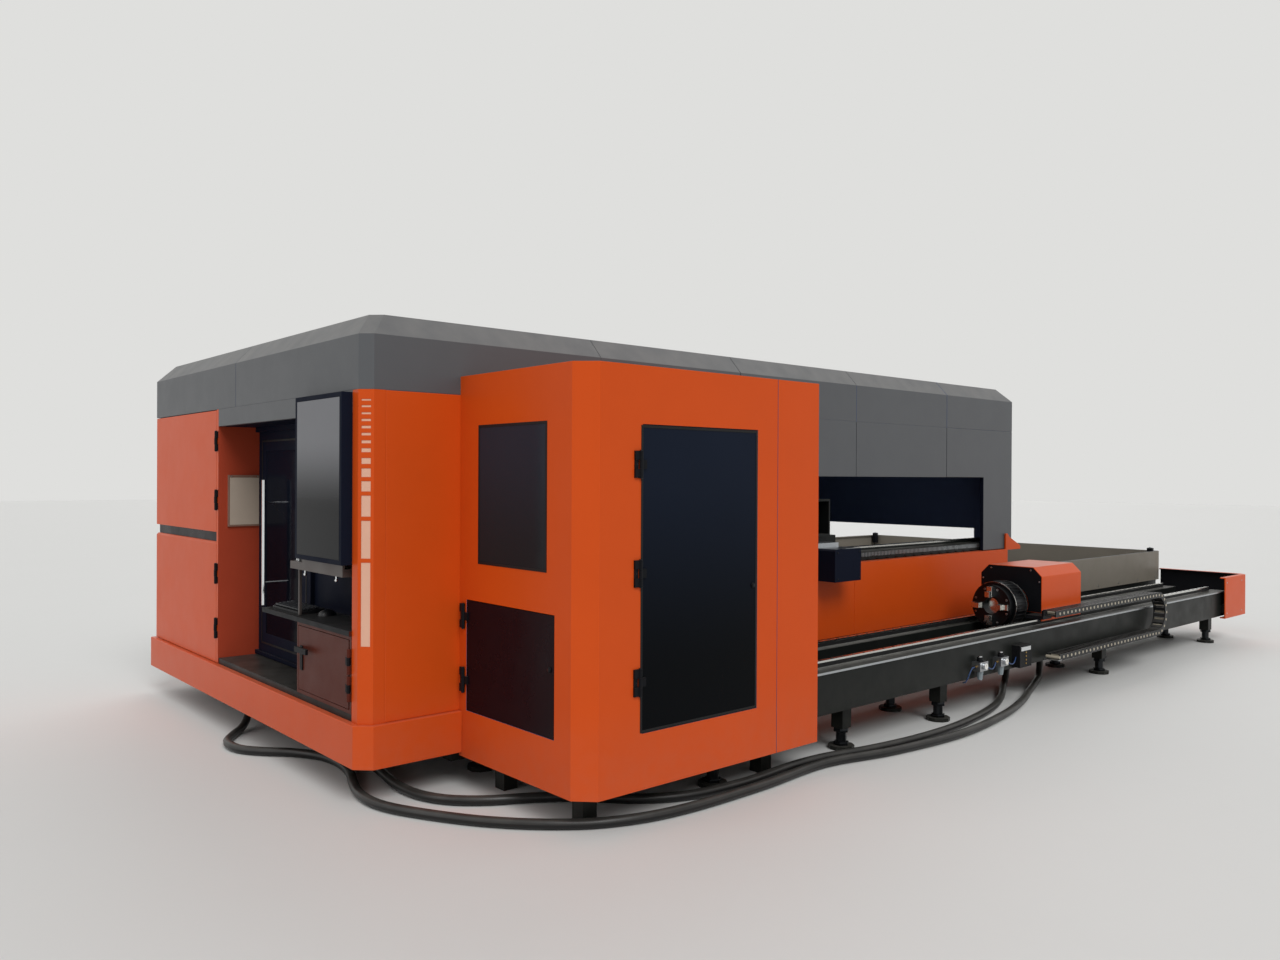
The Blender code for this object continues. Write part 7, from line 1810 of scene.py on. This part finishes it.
@dataclass
class Studio:
    """Camera, floor, lamps and world."""

    eye: Point = (-2.021, -4.247, 1.55)
    yaw: float = 48.73
    tilt: float = -0.176
    roll: float = 0.276
    focal: float = 27.48
    sensor: float = 36.0
    view_end: float = 200.0
    floor_half: float = 60.0
    floor_drop: float = 0.0005
    ambient: float = 0.42
    lamps: tuple[tuple[Point, float, float], ...] = (
        ((-0.22, -0.67, 0.71), 1.5, 32.0),
        ((-0.85, 0.10, 0.52), 0.5, 50.0),
        ((0.60, 0.55, 0.60), 0.5, 50.0),
    )

    def camera(self) -> None:
        """Place the camera where the photograph was taken from."""
        data = bpy.data.cameras.new("camera")
        data.lens = self.focal
        data.sensor_width = self.sensor
        data.clip_end = self.view_end
        camera = link_object("camera", data)
        yaw, tilt, roll = (math.radians(v) for v in (self.yaw, self.tilt, self.roll))
        ahead = Vector((math.cos(yaw) * math.cos(tilt), math.sin(yaw) * math.cos(tilt),
                        math.sin(tilt)))
        right = ahead.cross(Vector((0, 0, 1))).normalized()
        above = right.cross(ahead)
        turned = right * math.cos(roll) + above * math.sin(roll)
        top = above * math.cos(roll) - right * math.sin(roll)
        axes = Matrix((turned, top, -ahead)).transposed()
        camera.matrix_world = Matrix.Translation(Vector(self.eye) + SHIFT) @ axes.to_4x4()
        bpy.context.scene.camera = camera

    def floor(self) -> None:
        """Lay the plain pale floor."""
        part = bmesh.new()
        bmesh.ops.create_grid(part, x_segments=1, y_segments=1, size=self.floor_half)
        mesh = to_mesh(part, "floor")
        mesh.transform(Matrix.Translation((0, 0, -self.floor_drop)))
        floor = link_object("floor", mesh)
        mesh.materials.append(Coat.FLOOR.material())

    def light(self) -> None:
        """Hang the soft lamps: each a wide, even source, given by where it stands."""
        for number, (toward, strength, spread) in enumerate(self.lamps):
            data = bpy.data.lights.new(f"lamp_{number}", "SUN")
            data.energy = strength
            data.angle = math.radians(spread)
            lamp = link_object(f"lamp_{number}", data)
            lamp.rotation_mode = "QUATERNION"
            lamp.rotation_quaternion = Vector(toward).to_track_quat("Z", "Y")

    def world(self) -> None:
        """Set an even sky that light, camera, gloss and glass rays each see at their level."""
        world = bpy.data.worlds.new("studio")
        bpy.context.scene.world = world
        world.use_nodes = True
        tree = world.node_tree
        tree.nodes.clear()
        rays = add_node(tree, "ShaderNodeLightPath").outputs
        seen = maths(tree, "MAXIMUM", rays["Is Camera Ray"], rays["Is Glossy Ray"])
        seen = maths(tree, "MAXIMUM", seen, rays["Is Transmission Ray"])
        lit = add_node(tree, "ShaderNodeBackground", links={
            "Color": linear("#ffffff"), "Strength": self.ambient})
        plain = add_node(tree, "ShaderNodeBackground", links={
            "Color": linear("#dfdfdd"), "Strength": 1.0})
        both = add_node(tree, "ShaderNodeMixShader", links={
            0: seen, 1: lit.outputs[0], 2: plain.outputs[0]})
        add_node(tree, "ShaderNodeOutputWorld", links={"Surface": both.outputs[0]})

    def build(self) -> None:
        """Set up the whole studio."""
        bpy.context.scene.view_settings.view_transform = "Standard"
        self.camera()
        self.floor()
        self.light()
        self.world()


def main() -> None:
    """Build every sub-assembly round the frame."""
    logging.basicConfig(level=logging.INFO, format="%(name)s: %(message)s")
    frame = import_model()
    Studio().build()
    FloorHose("hose_outer", OUTER_ROUTE).build()
    FloorHose("hose_inner", INNER_ROUTE).build()
    for part in (Enclosure(), OperatorFront(), TubeCabinet(), SheetBed(), ExchangeTable(),
                 TubeBed(), TravellingHead(), EnergyChain(), RearGuard()):
        LOG.info("building %s", type(part).__name__)
        part.build(frame)


if __name__ == "__main__":
    main()
